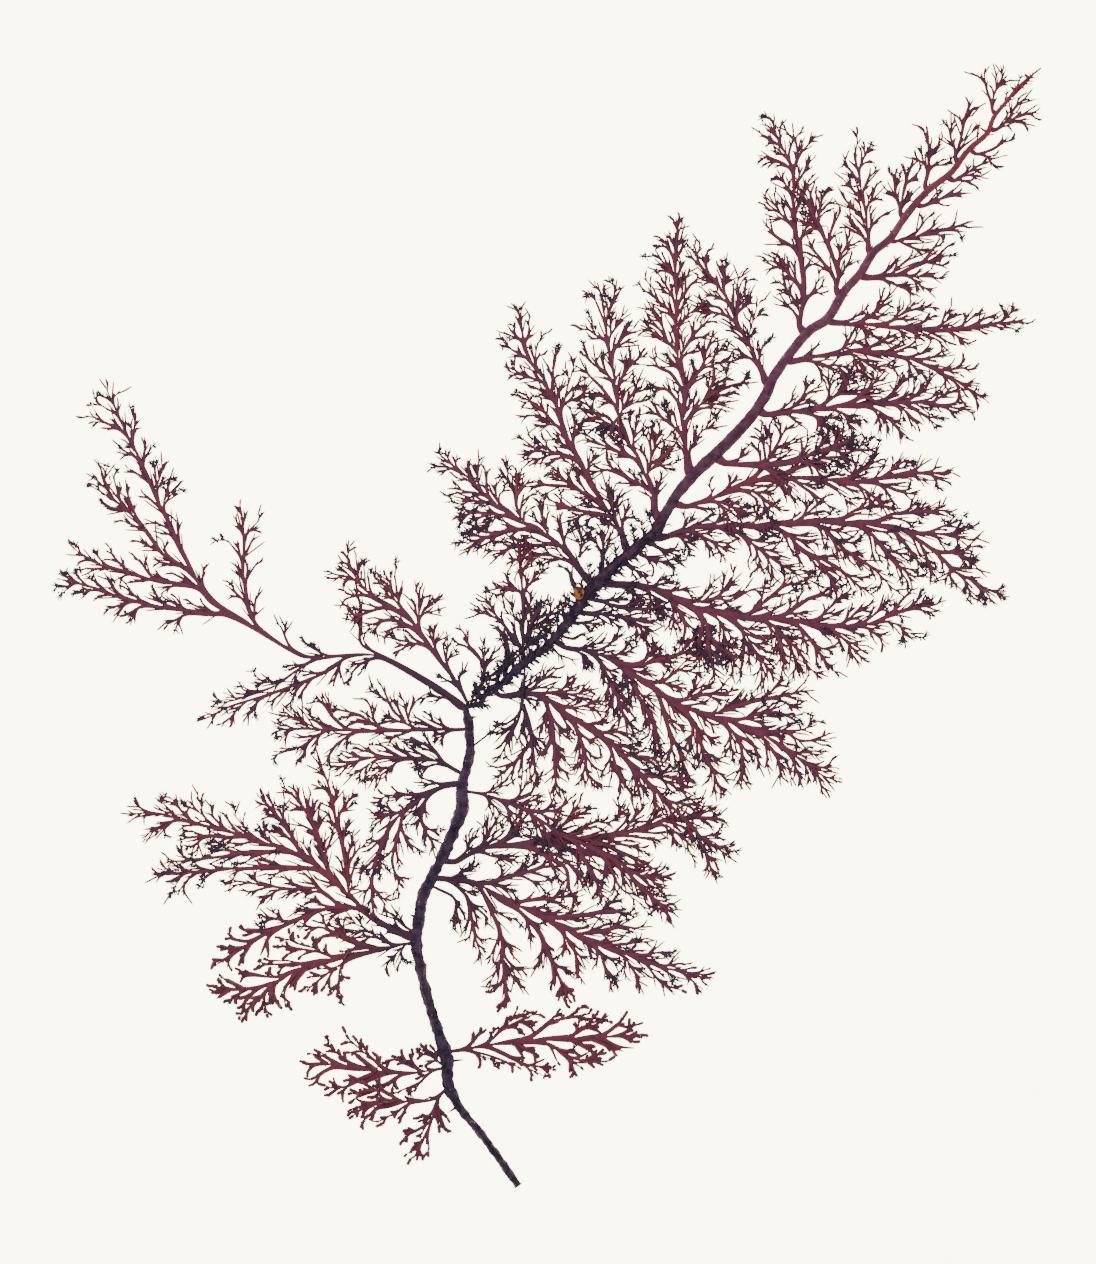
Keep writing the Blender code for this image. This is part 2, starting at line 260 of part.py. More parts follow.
      (75, 28.9), (78.3, 29.7, 81, 29)]),
    ("frond_right_dense",
     [(35.6, 33.1), (39.7, 32.8), (43, 32.6), (46.3, 32.6), (49.5, 33.5), (52.8, 34.7), (56.1, 35.9),
      (59.4, 37.1), (61.4, 38.4)],
     [1.3, 1.4, 1.3, 1.2, 1.2, 1, 0.9, 0.7, 0.3],
     [(38, 35.8), (41.5, 35.9), (52.3, 37.4), (53.9, 37.4), (44.7, 31.1, 47.3, 29, 50, 27.4),
      (52.5, 32.7, 55.3, 30.8), (59.5, 35, 63.5, 36), (63.3, 37.4)]),
    ("frond_right_high",
     [(43.7, 42.9), (48.5, 43.2), (53.5, 43.7), (59.2, 44.4), (65.4, 44.9), (71.5, 45.1), (76.5, 44.9),
      (81.5, 43.9), (85, 43.7)],
     [1.2, 1.4, 1.3, 1.3, 1.3, 1.3, 1.1, 0.7, 0.3],
     [(51.3, 46.4, 54.1, 48.4), (56.7, 46, 58.6, 47.4, 59.8, 49.5, 60.3, 51.8), (60.8, 46.8, 67.5, 46.8),
      (62.7, 46.6, 64.9, 48.6, 67.5, 51.6), (65.9, 47.9), (68.8, 46.7, 70.6, 48.9, 72.8, 50.8),
      (72.6, 47.5), (73.7, 46.8, 75.6, 48.6, 77, 50), (78.8, 47), (78.7, 46.4, 83, 48.2), (82.6, 45.6),
      (49.4, 41.4, 51.6, 40), (54.9, 41.4, 57.1, 39.6, 59, 38, 61.5, 35.5), (55.4, 37.5), (59.5, 42.4,
      60.8, 39.5), (63, 40.6), (66.3, 43.1, 68.5, 41.7, 70, 39.8, 71.6, 37.8), (72, 42.9, 74.5, 39.8),
      (74, 43.3, 75.7, 42.3, 77.8, 40.5), (78.8, 42.2), (82, 41.8)]),
    ("frond_right_arch",
     [(49.2, 53.3), (53.5, 54.3), (59.2, 55.1), (65.4, 55.2), (70.8, 54.3), (75.4, 52.8), (79.6, 50.5),
      (83.8, 48), (87.9, 45.3)],
     [0.9, 1.2, 1.3, 1.3, 1.1, 0.9, 0.8, 0.6, 0.25],
     [(53.5, 56.4), (60, 57, 60.6, 59.8), (62, 57.4, 65.4, 58.4), (65.8, 57, 70, 58.7), (71.3, 55.9,
      73.9, 57.3), (77.1, 54.2, 80.8, 54.4), (81, 51.8, 84.2, 52.1), (85.8, 49), (54, 52.8, 59, 51),
      (57.6, 52.6, 59, 50.5, 59.8, 48.3), (62.8, 53.4, 65.4, 52, 68.2, 51), (63.8, 49), (68.4, 52.8,
      70.3, 50), (73, 52.2, 76.5, 49.6), (85, 46.5, 86, 45)]),
    ("frond_right_top",
     [(57.4, 61), (62.3, 60.8), (68.5, 60.2), (74.6, 59.6), (80.8, 59.8), (86.9, 60.5), (93.1, 61.2),
      (96.4, 60.8)],
     [0.9, 1.2, 1.3, 1.3, 1.1, 0.9, 0.6, 0.3],
     [(64.6, 62.6, 66.4, 64, 68.6, 67.4), (70.8, 65.1), (70.2, 62.3, 72.2, 63.6, 77.3, 64.2),
      (73.9, 65.8), (75.2, 61.2, 77.7, 62.9), (80.2, 61.8, 82.8, 63), (84.4, 61.9, 86.8, 63.2),
      (86.8, 61.7, 90.2, 62.9), (92.4, 62.9, 93.6, 64.4), (95.4, 62), (63.7, 59.3, 66.3, 57.8,
      69.3, 56.4), (71.7, 58.3, 73.2, 57.2), (73.8, 58.7, 76.3, 58.4, 79.3, 56.8), (82, 58.2,
      83.9, 55.7), (85.4, 56.5), (87.4, 58.5), (91.9, 59.2)]),
    ("frond_up_tall",
     [(50.4, 60.6), (50.4, 63.4), (51.2, 66), (50.9, 70.3), (50.7, 73.5), (50.2, 76.8), (49.1, 81.5),
      (49, 86.5), (49.2, 90.5), (47.7, 94.5), (45.6, 98.4), (45, 101.8)],
     [1.1, 1.1, 1.3, 1.1, 1.1, 1.1, 0.9, 0.8, 0.8, 0.8, 0.5, 0.3],
     [(49, 66, 46.2, 69.6), (48.9, 69.9, 47.3, 71.6, 42.8, 73.3), (46, 75), (44.5, 74.6), (48.5, 76.6,
      45.8, 78, 43.4, 81), (44.8, 82.2), (47.8, 81.4, 46, 83.3, 42.9, 85.5), (45, 87.4), (46.8, 87.2),
      (47.9, 88.1, 46.1, 90.4), (46.9, 91.8), (46.3, 93.3, 42.3, 94.6), (45.3, 95.5), (44.2, 97.6,
      42.4, 98.6), (43.5, 102.6), (42.8, 101.4), (53, 67.1, 55.2, 68.3), (54.4, 70.5), (56, 71),
      (52.5, 73.6, 53.6, 75.2), (51.3, 79.6, 52.4, 81.2, 53.2, 82.8), (50.1, 84.6, 51.3, 87, 52.3, 90.2),
      (50.5, 90.1, 52.8, 93.9), (49.9, 93.6, 49.8, 96.2, 49, 99.3), (47.7, 99.2), (51, 99.7),
      (50.8, 95.4, 53.6, 98.3)]),
    ("frond_up_second",
     [(57.7, 68), (57.9, 70.3), (57.6, 72.6), (56.6, 75.3), (55.3, 78.3), (53.8, 81.1), (52.5, 83.8),
      (50.6, 87), (49.6, 88.8)],
     [1, 1.1, 1.1, 1, 0.9, 0.8, 0.7, 0.5, 0.25],
     [(55.3, 72.8, 52.9, 75.6, 51.3, 77), (58.7, 74.8, 60.1, 76.9, 61.4, 79), (58.3, 79.2), (62, 77),
      (56.7, 79.9, 57.4, 81.4, 58.8, 83.5), (57.2, 83.6), (54.2, 83.3, 54.6, 85.2, 55.5, 87.7),
      (52, 80.6, 50.2, 81.9), (54.2, 76.4), (55.8, 83.6), (52.7, 88.4)]),
    ("frond_up_third",
     [(64, 76.3), (63.9, 79.2), (63.6, 82.5), (63.1, 85.7), (62.4, 89), (62, 91.7), (61, 95)],
     [0.9, 0.8, 0.8, 0.7, 0.6, 0.5, 0.3],
     [(62.3, 79.1, 60.8, 81.3, 59.2, 83.6), (62, 82.9, 60, 85, 58.3, 87.1), (60.4, 85.8), (61.5, 87,
      58.7, 90.2), (61, 90.7, 59.2, 93.5), (65.4, 81.3, 68.2, 83.5), (64.8, 86.1, 65.9, 89.5),
      (64.4, 88.4), (64.2, 90.1, 64.5, 92.4), (63, 93.4, 63.9, 95.7, 65.3, 96.6), (62, 98.4)]),
    ("frond_up_fourth",
     [(70.5, 83.2), (70.8, 85.5), (71.2, 88), (71.9, 90), (73.1, 94.2)],
     [0.8, 0.8, 0.6, 0.45, 0.25],
     [(69.7, 85.9, 69.3, 89.3, 68.6, 92), (70.2, 92.6), (73.1, 87, 74.7, 88.7), (73, 89.9, 74.9, 92.3)]),
    ("frond_up_fifth",
     [(75.5, 88.6), (75.9, 90.5), (76.1, 93.5), (76.2, 96.5), (75.4, 98.8), (74.8, 100.3)],
     [0.8, 0.7, 0.6, 0.5, 0.6, 0.3],
     [(74.9, 93.5, 74.3, 96.8), (77.8, 92.8, 79.5, 94.2), (76.8, 97.2), (76.1, 100)]),
    ("frond_up_sixth",
     [(81.5, 93.9), (81.9, 96), (82.7, 97.6), (82.9, 99.7), (83.5, 102.5), (84.5, 105.4)],
     [0.8, 0.8, 0.6, 0.5, 0.45, 0.2],
     [(80.6, 97.7, 80.1, 100.9), (81.3, 101.7), (84.3, 98.5, 85.3, 99.6), (84.5, 102.6)]),
    ("frond_up_last",
     [(88.9, 103.6), (88.8, 105), (89.2, 106.8), (88.4, 108.8)],
     [0.6, 0.6, 0.5, 0.3],
     [(87.7, 107.6, 87.2, 111), (90.3, 109, 91.7, 112)]),
    ("frond_side_last",
     [(89.5, 99.7), (92.3, 101.4), (95, 102.7), (97.9, 103.1)],
     [0.7, 0.7, 0.6, 0.3],
     [(93.4, 104.1, 96.1, 106.5), (94.9, 104), (92.9, 100.3)]),
    ("frond_side_ninth",
     [(85.6, 94.8), (87, 94.9), (89.2, 95.7), (90.8, 97.1), (92.3, 98.3)],
     [0.6, 0.6, 0.5, 0.45, 0.3],
     [(88.8, 93.9, 91.8, 94.7), (91.1, 98.6)]),
    ("frond_side_eighth",
     [(81.3, 89.5), (83, 90.3), (84.8, 91.6), (86.5, 92.6), (88.2, 93.4)],
     [0.8, 0.8, 0.7, 0.5, 0.3],
     [(85.9, 89.9), (84, 89.1, 85.9, 88.3), (86.6, 91.4), (84.2, 93)]),
    ("frond_side_seventh",
     [(74.9, 84.4), (76.5, 85), (78.6, 86), (81, 86.7), (84.1, 87)],
     [0.7, 0.8, 0.8, 0.8, 0.4],
     [(78.7, 88), (81.8, 88.5), (79.3, 84.2), (83.3, 85.9), (83.2, 87.9)]),
    ("frond_side_sixth",
     [(69, 77.2), (72.7, 78), (75.4, 78.8), (77.7, 79), (80.5, 80), (84.2, 80.6)],
     [0.8, 0.9, 0.9, 0.8, 0.6, 0.3],
     [(78.4, 81.5), (83.8, 81.4), (75.8, 76.9), (73.5, 75.8, 77.3, 74.9), (82.7, 79), (79.9, 77.8)]),
    ("frond_side_fifth",
     [(64.2, 70), (66.2, 70.1), (68.5, 70.5), (70.8, 70.9), (73.8, 72.6), (77.3, 73.8), (80.2, 74.6)],
     [0.9, 1, 1, 0.9, 0.8, 0.6, 0.3],
     [(70.4, 72.5, 73.9, 75.1), (72.8, 73.9, 75.4, 76.6), (76.6, 75.3, 78.5, 78), (79.3, 75.8, 80.8, 77),
      (69.5, 68.6, 73, 67.2), (73.5, 70.2, 77.3, 70.3), (73.6, 69.2, 76.2, 67.3), (79.8, 69.7),
      (77.8, 71.7), (78.6, 73)]),
    ("frond_up_left",
     [(43.2, 49.4), (43, 51), (42, 52.7), (41.2, 54.8), (39.7, 57.5), (38.5, 59.8), (37.4, 61.4),
      (36.6, 64.1), (35.1, 66.8), (33.5, 69.1), (31.6, 71.4), (29.7, 73.2), (27.8, 74.8)],
     [1.1, 1, 0.8, 0.5, 0.5, 0.8, 0.9, 0.8, 0.8, 0.8, 0.7, 0.5, 0.3],
     [(42.5, 55, 43, 57.1), (40.6, 61.3), (35, 62.8, 29.9, 63.4), (34, 64.2, 29.2, 64.9), (33.4, 66.3,
      30.9, 67.3), (38, 64.6, 38, 67.5, 37.3, 69.6), (38.6, 71.4), (39.4, 64.5, 39.3, 67.5, 39.7, 70.7),
      (42, 66.3), (40.9, 67), (35.2, 70.5, 34.6, 74.2), (33.8, 71.1), (31.5, 73.8, 32, 76), (30.6, 74.7),
      (29.3, 76.8), (31, 69.6, 29.6, 70.2)]),
    ("frond_up_broad",
     [(28.1, 31.6), (27.9, 34.8), (27.4, 37.5), (27, 40.5), (27.1, 44.5), (27.3, 47.5), (26.7, 51.4),
      (25.8, 55.5), (25.5, 61), (25.7, 66.4), (25.4, 71.8), (25.5, 76.4), (26.4, 82.2)],
     [1.4, 1.3, 1.2, 1.1, 1.1, 1.2, 1, 0.9, 0.8, 0.8, 0.7, 0.6, 0.25],
     [(26, 34.4), (29.4, 37.6, 31.2, 40), (29.3, 43.7, 31.3, 45.2, 33.3, 46.9, 35.2, 48, 39.7, 49.4),
      (33.8, 43.1), (36.7, 44.6), (40.8, 48.3), (35, 52.9), (36.4, 51), (30.5, 46.8), (33, 50.2),
      (29.3, 50, 31.1, 52.3, 34.4, 54), (34.1, 51.3), (36.8, 53.5), (31.5, 54.2, 32.2, 57, 33.6, 59.4),
      (34.3, 57.1), (29.8, 55.9), (27.8, 56.8, 29.4, 58.7, 31.3, 60.9, 33.4, 61.5), (32.4, 58.5),
      (28.4, 63.5), (31.2, 64), (27.2, 66.6, 28.5, 68.7, 31.3, 70.2), (26.6, 71.8, 27.5, 73.4),
      (26.9, 80.4), (28, 77.4), (25.1, 40.4, 22.9, 42, 19.8, 43.9), (21.2, 45.2), (24, 45), (25.2, 46.4,
      23.5, 47.8, 20.3, 48.3), (24.5, 51, 22.5, 51.8, 20.2, 53.5), (20.7, 55.6), (24.1, 55.3),
      (23.8, 57.4, 21, 59.1, 18.3, 60.8), (22.8, 60.5, 21.4, 62.8, 19.8, 64.5), (23.5, 62.2),
      (23.8, 63.9, 22, 65.3, 20.1, 67.6), (20.3, 69.8), (22.8, 70), (23.8, 72.2, 21.8, 74.5),
      (22.8, 78.1), (24.1, 78.2)]),
    ("frond_up_centre",
     [(21.9, 21.6), (21.6, 23), (21.4, 25.4), (20.4, 28.2), (19.7, 30.6), (17.3, 35.1), (15.2, 39.2),
      (14, 43), (13.5, 47.2), (12.8, 52.7), (12, 57), (11.5, 61), (10.9, 64.5), (10.9, 67.7)],
     [1.5, 1.4, 1.3, 1.2, 1.2, 1.3, 1.2, 1.2, 1, 0.9, 0.7, 0.6, 0.5, 0.3],
     [(20.6, 34, 21.5, 36.8, 22.5, 40.3), (23.8, 35.3), (26, 37.3), (24.6, 38.6), (19.7, 38.6),
      (17.6, 40.2, 18.5, 42.4), (15.8, 43.4), (19.6, 40.4), (16, 45.8, 17.8, 47.4, 19.4, 48.5),
      (16.4, 50), (18.4, 50.7), (14.9, 50.2, 16.2, 52.3, 19.1, 54.9), (16.7, 56), (15.3, 54.5),
      (14.2, 57.3, 17.3, 60.1), (15.6, 61.7), (13.8, 60.5, 15.1, 63.1), (12.5, 63.6, 13, 66, 13.9, 68.3),
      (12.9, 69.3), (14.3, 66.7), (17.4, 29.4, 15.2, 30.4, 12.5, 31.5, 9.4, 31.9), (16.8, 31.6),
      (13.5, 33.2), (15.2, 34.9, 12.5, 35.9, 10, 36.9, 6.5, 37.8), (10.4, 38.9), (12.3, 38.6),
      (12.6, 40.7, 10, 41.1, 7.2, 41.8), (11.9, 42.5, 9.5, 42.8, 6.5, 43.5), (7, 45.2), (8, 46.8),
      (12.4, 43.9), (12, 46.2, 10.3, 48.6, 6.8, 51.7), (10.6, 51), (11, 51.4, 8.8, 53, 6.6, 55.3),
      (9, 55.2), (10.3, 58.1, 7.1, 60.5), (10, 60, 7.4, 62.4), (10.4, 63.4, 9.4, 65.8, 7.8, 66.9),
      (9.3, 69)]),
    ("frond_up_leaning",
     [(15.2, 17.2), (14.9, 18.6), (13.8, 21.2), (12.5, 22.6), (10.8, 24.4), (9.4, 27.2), (8, 29.6),
      (7.4, 31.8), (5.2, 34.9), (4.4, 37.2), (2.6, 40.6), (2, 43.6), (0, 48.2), (-2.4, 51.7),
      (-4.5, 55.2), (-5.2, 60), (-6.4, 64.9)],
     [1.1, 1.1, 1.1, 1.4, 1.3, 1.2, 1.2, 1.3, 1.3, 1.2, 1.1, 1.1, 1, 0.9, 0.7, 0.4, 0.2],
     [(13.2, 24.4, 14, 26.3, 15.3, 28.2), (16.2, 25.4), (12.4, 27.3), (11.6, 28.2, 12.4, 30.2),
      (8.9, 33.8, 10, 35.4), (5.9, 39.9, 8.3, 40.3), (4.8, 43.7), (3.4, 45.9, 3.9, 48.2, 4.4, 50.4),
      (2.4, 51), (5.3, 53), (6.7, 49.4), (6.5, 46.4, 9.2, 47.6), (1, 49.8, 1.2, 55.2), (-2.5, 55,
      -2.1, 57.3), (-1.2, 58.8), (-3.7, 59, -4, 61.9), (5.2, 28.1, 2.8, 28.6, 0, 28.5, -3, 29.6),
      (1.2, 32.1), (-0.3, 31.3), (2, 26.4), (-3.8, 28.2), (7.4, 23.1, 4.8, 23.7, 2.5, 24.7, -0.5, 26),
      (5.9, 25.7), (4.2, 21.1), (1.2, 23.2), (3, 34.7, 0.3, 35, -2.5, 35.5, -5.4, 34.8), (-2.9, 38.4),
      (-5.5, 38.1), (-3.2, 33.2), (0.5, 41.3, -2, 42.4, -4.7, 42.6), (-1, 43.6, -3.8, 43.7), (-2.9, 45.1,
      -5.8, 45.6), (-0.2, 44.8), (-3.5, 46.5, -6.1, 47.6), (-2.9, 48.4), (-3.5, 50.1, -8.2, 51.4),
      (-7.6, 52.9), (-6.6, 54.1), (-6.4, 55.1, -8.5, 56.5), (-8.7, 57.7), (-7, 58.8, -8.3, 61),
      (-6.6, 61.9)]),
    ("frond_left_wide",
     [(7.6, 9.9), (6.9, 11), (5.6, 12.9), (4.2, 14.5), (3, 16), (1.7, 17.3), (-1.3, 19.3), (-5, 21),
      (-7.3, 22.6), (-11.1, 25.1), (-14.2, 28.5), (-17.6, 31.3), (-22.1, 35.1)],
     [1, 1.2, 1.3, 1.4, 1.5, 1.5, 1.5, 1.5, 1.4, 1.1, 0.8, 0.6, 0.25],
     [(3, 18.4, 2.6, 20.4, 1.4, 22.2), (4.6, 20), (0.2, 20.6), (-1.1, 21.7, -1.5, 24, -2.4, 26.3),
      (-4.3, 24.6), (-6.2, 24.2, -6.6, 27, -7.6, 29, -9.2, 31), (-9.5, 27.5), (-11.8, 31.6),
      (-5.3, 30.4), (-8.1, 32.4), (-6.4, 32.4), (-10.5, 27, -10.2, 29.8), (-12.3, 28.4, -12.6, 32.3),
      (-14.1, 31, -13.7, 34.3), (-14.9, 32.4), (-16.4, 33.4), (-18.5, 34.1), (-20.2, 34.9), (3.2, 13.8,
      0.7, 14.3, -1.5, 14.9, -4.3, 14.6), (-1.3, 12.7), (-4, 13.3), (0.6, 17.1, -2, 16.6, -5.3, 16.4,
      -8, 15.9, -10.4, 14.8), (-11.7, 15.7), (-9.8, 17.2), (-8, 13.3), (-5.6, 19.8, -8.7, 19.3,
      -11.5, 18.6, -13.8, 17.7, -16.6, 16.8), (-14.4, 15.5), (-16.2, 19.2), (-15.2, 20.2), (-9.3, 22.6,
      -12.1, 22.9, -15, 23.1, -18, 22.4), (-17, 24), (-15.6, 20.9), (-13.2, 25.4, -18.3, 25.4),
      (-14.8, 27.1, -19.5, 26.9), (-18.6, 28.5), (-18.8, 30.1), (-21.8, 30.8), (-19.9, 32, -23, 32.4)]),
    ("frond_centre_up",
     [(-5, -5.2), (-4.9, -3.3), (-5.1, 1.3), (-5.1, 6), (-5.3, 10), (-5.7, 14.7), (-6.1, 18.2)],
     [0.8, 0.9, 0.9, 0.8, 0.7, 0.5, 0.3],
     [(-3.4, -0.2, -1.8, 0.9, 0, 2.1, 1.7, 4.3), (-2.6, 3, -2.1, 6), (0.6, 6), (-1, 5.2), (-3.8, 8.8,
      -2.7, 10, -1.7, 11.4), (-4.2, 12.9, -2.8, 14), (-3.6, 12.2), (-6.3, 7.6, -7.8, 8.8, -8.7, 10.9),
      (-9.2, 9.3), (-6.7, 10.6), (-6.6, 2.2, -7.5, 3), (-3.2, -1.6), (-6.5, -2.4, -8, -0.4, -9.1, 1,
      -10.7, 2.3, -14.5, 3.3), (-13, 4.3), (-8.7, 3.5, -9, 6.3, -8.6, 8), (-11.2, 8.2), (-12.8, 6.7),
      (-7.7, 6)]),
    ("frond_centre_left",
     [(-8.9, -9.1), (-8.3, -7.3), (-7.9, -5), (-8.2, -3.2), (-9.3, -0.8), (-11, 0.7)],
     [0.7, 0.8, 0.9, 0.8, 0.6, 0.3],
     [(-12.5, -5.1), (-10.3, -4.2, -14.6, -3.2), (-13.7, -1.6), (-12, -6.8), (-11.5, -1.2), (-6.4, -4.5)]),
    ("frond_small_up",
     [(10.2, 10.8), (10.7, 12), (10.9, 14), (11, 17), (10.9, 20.2)],
     [0.7, 0.6, 0.5, 0.5, 0.25],
     [(9.3, 20), (8.3, 18.7), (9, 16.6), (12.3, 19.8), (12.9, 18.4), (14, 15.7)]),
    ("twig_small_up",
     [(6.1, 13.9), (6.5, 15), (6.7, 17.3), (6.9, 20.8)],
     [0.5, 0.45, 0.4, 0.2],
     [(5.4, 20.3), (5.2, 18.5), (8.7, 19.7), (8.8, 18), (8, 16)]),
    ("twig_growth_left",
     [(4.7, 9.2), (4.6, 10.6), (3.8, 11.8), (2.4, 12.3)],
     [0.6, 0.6, 0.4, 0.2],
     [(3.2, 10.1), (5, 12.3)]),
    ("twig_axis_right_top",
     [(20.6, 16.9), (22, 16), (23.8, 15.4), (26.4, 15.4)],
     [0.6, 0.6, 0.5, 0.2],
     [(24.8, 17), (23, 17.5), (25.4, 14.5)]),
    ("twig_axis_right_high",
     [(18.6, 14.7), (20, 14), (21.8, 13.5), (25.7, 12.2)],
     [0.6, 0.6, 0.6, 0.2],
     [(22.4, 12), (24, 14.2), (20.8, 12.3)]),
    ("twig_axis_right_mid",
     [(16.2, 12.6), (17.3, 11.7), (18.5, 10.8), (20, 9.7)],
     [0.6, 0.6, 0.5, 0.3],
     [(20.2, 11.2), (17.2, 10.2), (15.2, 10.8)]),
    ("frond_axis_right_low",
     [(9.9, 5.5), (11.3, 5.3), (13.3, 4.4), (16.3, 3.9), (19, 3.8), (21.8, 4)],
     [0.7, 0.7, 0.7, 0.6, 0.6, 0.4],
     [(13.2, 5.7, 15.9, 6.5), (19.4, 6), (17.7, 5), (16.4, 2.8), (20.8, 2.7)]),
    ("frond_axis_right_under",
     [(7.9, 2.9), (9.7, 2.8), (12, 2.7), (14.7, 2.2), (17, 1.7), (19.3, 1.3), (21.8, 1.2)],
     [0.8, 0.8, 0.8, 0.8, 0.8, 0.9, 0.4],
     [(13.5, 0.8, 14.8, -0.4), (16.6, 0.2), (18.8, -0.6, 19.4, -3), (11.8, 0.9), (13.4, 3.7)]),
    ("twig_axis_right_dark",
     [(6.3, 0.9), (8, 1.1), (9.4, 0.9), (11, 0.5)],
     [0.6, 0.7, 0.6, 0.3],
     [(8.8, -0.2), (9.6, 1.9), (7.4, -0.3)]),
    ("twig_axis_right_foot",
     [(5.3, -2.3), (6.4, -1.3), (7.6, -1.2), (9.4, 0)],
     [0.4, 0.45, 0.35, 0.2],
     [(5.2, -0.5), (8.3, -2.2)]),
]


def hash_unit(*keys):
    """A fixed number from 0 to 1 for these keys."""
    value = 17
    for key in keys:
        value = (value * 1000003 + int(key) * 7919 + 12345) % 2147483647
    return (value % 100003) / 100003.0


def trace(points):
    """A smooth curve through the points, as evenly spaced points."""
    dense = [points[0]]
    ends = [points[0]] + list(points) + [points[-1]]
    for i in range(1, len(ends) - 2):
        p0, p1, p2, p3 = ends[i - 1], ends[i], ends[i + 1], ends[i + 2]
        for k in range(1, 13):
            t = k / 12.0
            a = -0.5 * t ** 3 + t ** 2 - 0.5 * t
            b = 1.5 * t ** 3 - 2.5 * t ** 2 + 1.0
            c = -1.5 * t ** 3 + 2.0 * t ** 2 + 0.5 * t
            d = 0.5 * t ** 3 - 0.5 * t ** 2
            dense.append(tuple(a * p0[n] + b * p1[n] + c * p2[n] + d * p3[n] for n in (0, 1)))
    sums = [0.0]
    for i in range(1, len(dense)):
        sums.append(sums[-1] + math.dist(dense[i - 1], dense[i]))
    count = max(3, int(round(sums[-1] / STEP)))
    out = []
    k = 0
    for i in range(count + 1):
        s = sums[-1] * i / count
        while k < len(sums) - 2 and sums[k + 1] < s:
            k += 1
        span = max(sums[k + 1] - sums[k], 1e-9)
        f = (s - sums[k]) / span
        out.append((dense[k][0] + f * (dense[k + 1][0] - dense[k][0]),
                    dense[k][1] + f * (dense[k + 1][1] - dense[k][1])))
    return out


class Stem:
    """One stem, from its root to its tip, with its half widths and its height at every point."""

    def __init__(self, points, widths, parent, root, level):
        self.points = points
        self.parent = parent
        self.root = root
        self.level = level
        self.children = []
        self.length = sum(math.dist(points[i - 1], points[i]) for i in range(1, len(points)))
        self.step = self.length / (len(points) - 1)
        self.half = []
        for i in range(len(points)):
            at = i / (len(points) - 1) * (len(widths) - 1)
            k = min(int(at), len(widths) - 2)
            self.half.append(0.5 * (widths[k] + (at - k) * (widths[k + 1] - widths[k])))
        self.heights = [0.0] * len(points)
        self.tall = 0.5 * BLADE
        self.depth = 0 if parent is None else parent.depth + 1
        self.side = 0
        self.swings = 0

    def heading(self, i):
        a = self.points[max(i - 1, 0)]
        b = self.points[min(i + 1, len(self.points) - 1)]
        span = max(math.dist(a, b), 1e-9)
        return ((b[0] - a[0]) / span, (b[1] - a[1]) / span)

    def raise_to(self, start, level, rise):
        """Heights that run from the root's height to the height of a layer."""
        goal = 0.5 * BLADE + level * LAYER
        for i in range(len(self.points)):
            t = min(1.0, i * self.step / rise)
            t = t * t * (3 - 2 * t)
            self.heights[i] = start + (goal - start) * t


class Crowd:
    """What lies where, so that stems keep clear of one another."""

    def __init__(self):
        self.cells = {}

    def add(self, stem, owner):
        for i, point in enumerate(stem.points):
            key = (math.floor(point[0]), math.floor(point[1]))
            self.cells.setdefault(key, []).append((point, stem.heights[i], stem.half[i], stem, i, owner))

    def first_clash(self, stem, owner):
        """How many points of the stem come too near to others, and the first such point."""
        count = 0
        first = None
        for i, point in enumerate(stem.points):
            s = i * stem.step
            cx = math.floor(point[0])
            cy = math.floor(point[1])
            hit = False
            for gx in (cx - 1, cx, cx + 1):
                for gy in (cy - 1, cy, cy + 1):
                    for other, z, half, mate, k, mate_owner in self.cells.get((gx, gy), ()):
                        if abs(z - stem.heights[i]) > mate.tall + stem.tall + 0.1:
                            continue
                        if mate_owner < 0 and stem.parent is None and s < 3.0:
                            continue
                        if mate_owner == owner:
                            if mate is stem.parent and s < 2.2 + 2.0 * mate.half[stem.root] \
                                    and abs(k - stem.root) * mate.step < s + 2.5:
                                continue
                            if mate.parent is stem.parent and s < 1.6 and k * mate.step < 1.8:
                                continue
                            if mate is stem.parent and k >= stem.root and s < 3.0:
                                continue
                            if mate.parent is stem:
                                continue
                            gap = 0.1
                            if stem.parent is not None and mate is stem.parent.parent \
                                    and s < 1.0:
                                continue
                        else:
                            gap = SIDE_GAP
                        if math.dist(point, other) < half + stem.half[i] + gap:
                            hit = True
                            break
                    if hit:
                        break
                if hit:
                    break
            if hit:
                count += 1
                if first is None:
                    first = i
        return count, first


def find_root(stem, goal, lean):
    """Where a branch towards the goal springs from a stem, so that it leaves at the given angle."""
    near = min(range(len(stem.points)), key=lambda i: math.dist(stem.points[i], goal))
    i = min(near, len(stem.points) - 4)
    while i > 0:
        ahead = stem.heading(i)
        dx = goal[0] - stem.points[i][0]
        dy = goal[1] - stem.points[i][1]
        angle = abs(math.atan2(ahead[0] * dy - ahead[1] * dx, ahead[0] * dx + ahead[1] * dy))
        if angle <= lean:
            break
        i -= 1
    return i


def side_of(stem, i, goal):
    ahead = stem.heading(i)
    dx = goal[0] - stem.points[i][0]
    dy = goal[1] - stem.points[i][1]
    return 1 if ahead[0] * dy - ahead[1] * dx > 0 else -1


def free_root(stem, i, side, gap):
    """The nearest place to i, towards the root, that is clear of branches on the same side."""
    step = 0
    while True:
        clear = True
        for mate in stem.children:
            apart = abs(mate.root - i) * stem.step
            if mate.side == side and apart < gap:
                clear = False
            elif mate.side != side and 0.0 < apart < 1.3:
                i = mate.root
        if clear or step > 12:
            return i if clear and i > 0 else None
        i -= 1
        step += 1
        if i < 1:
            return None


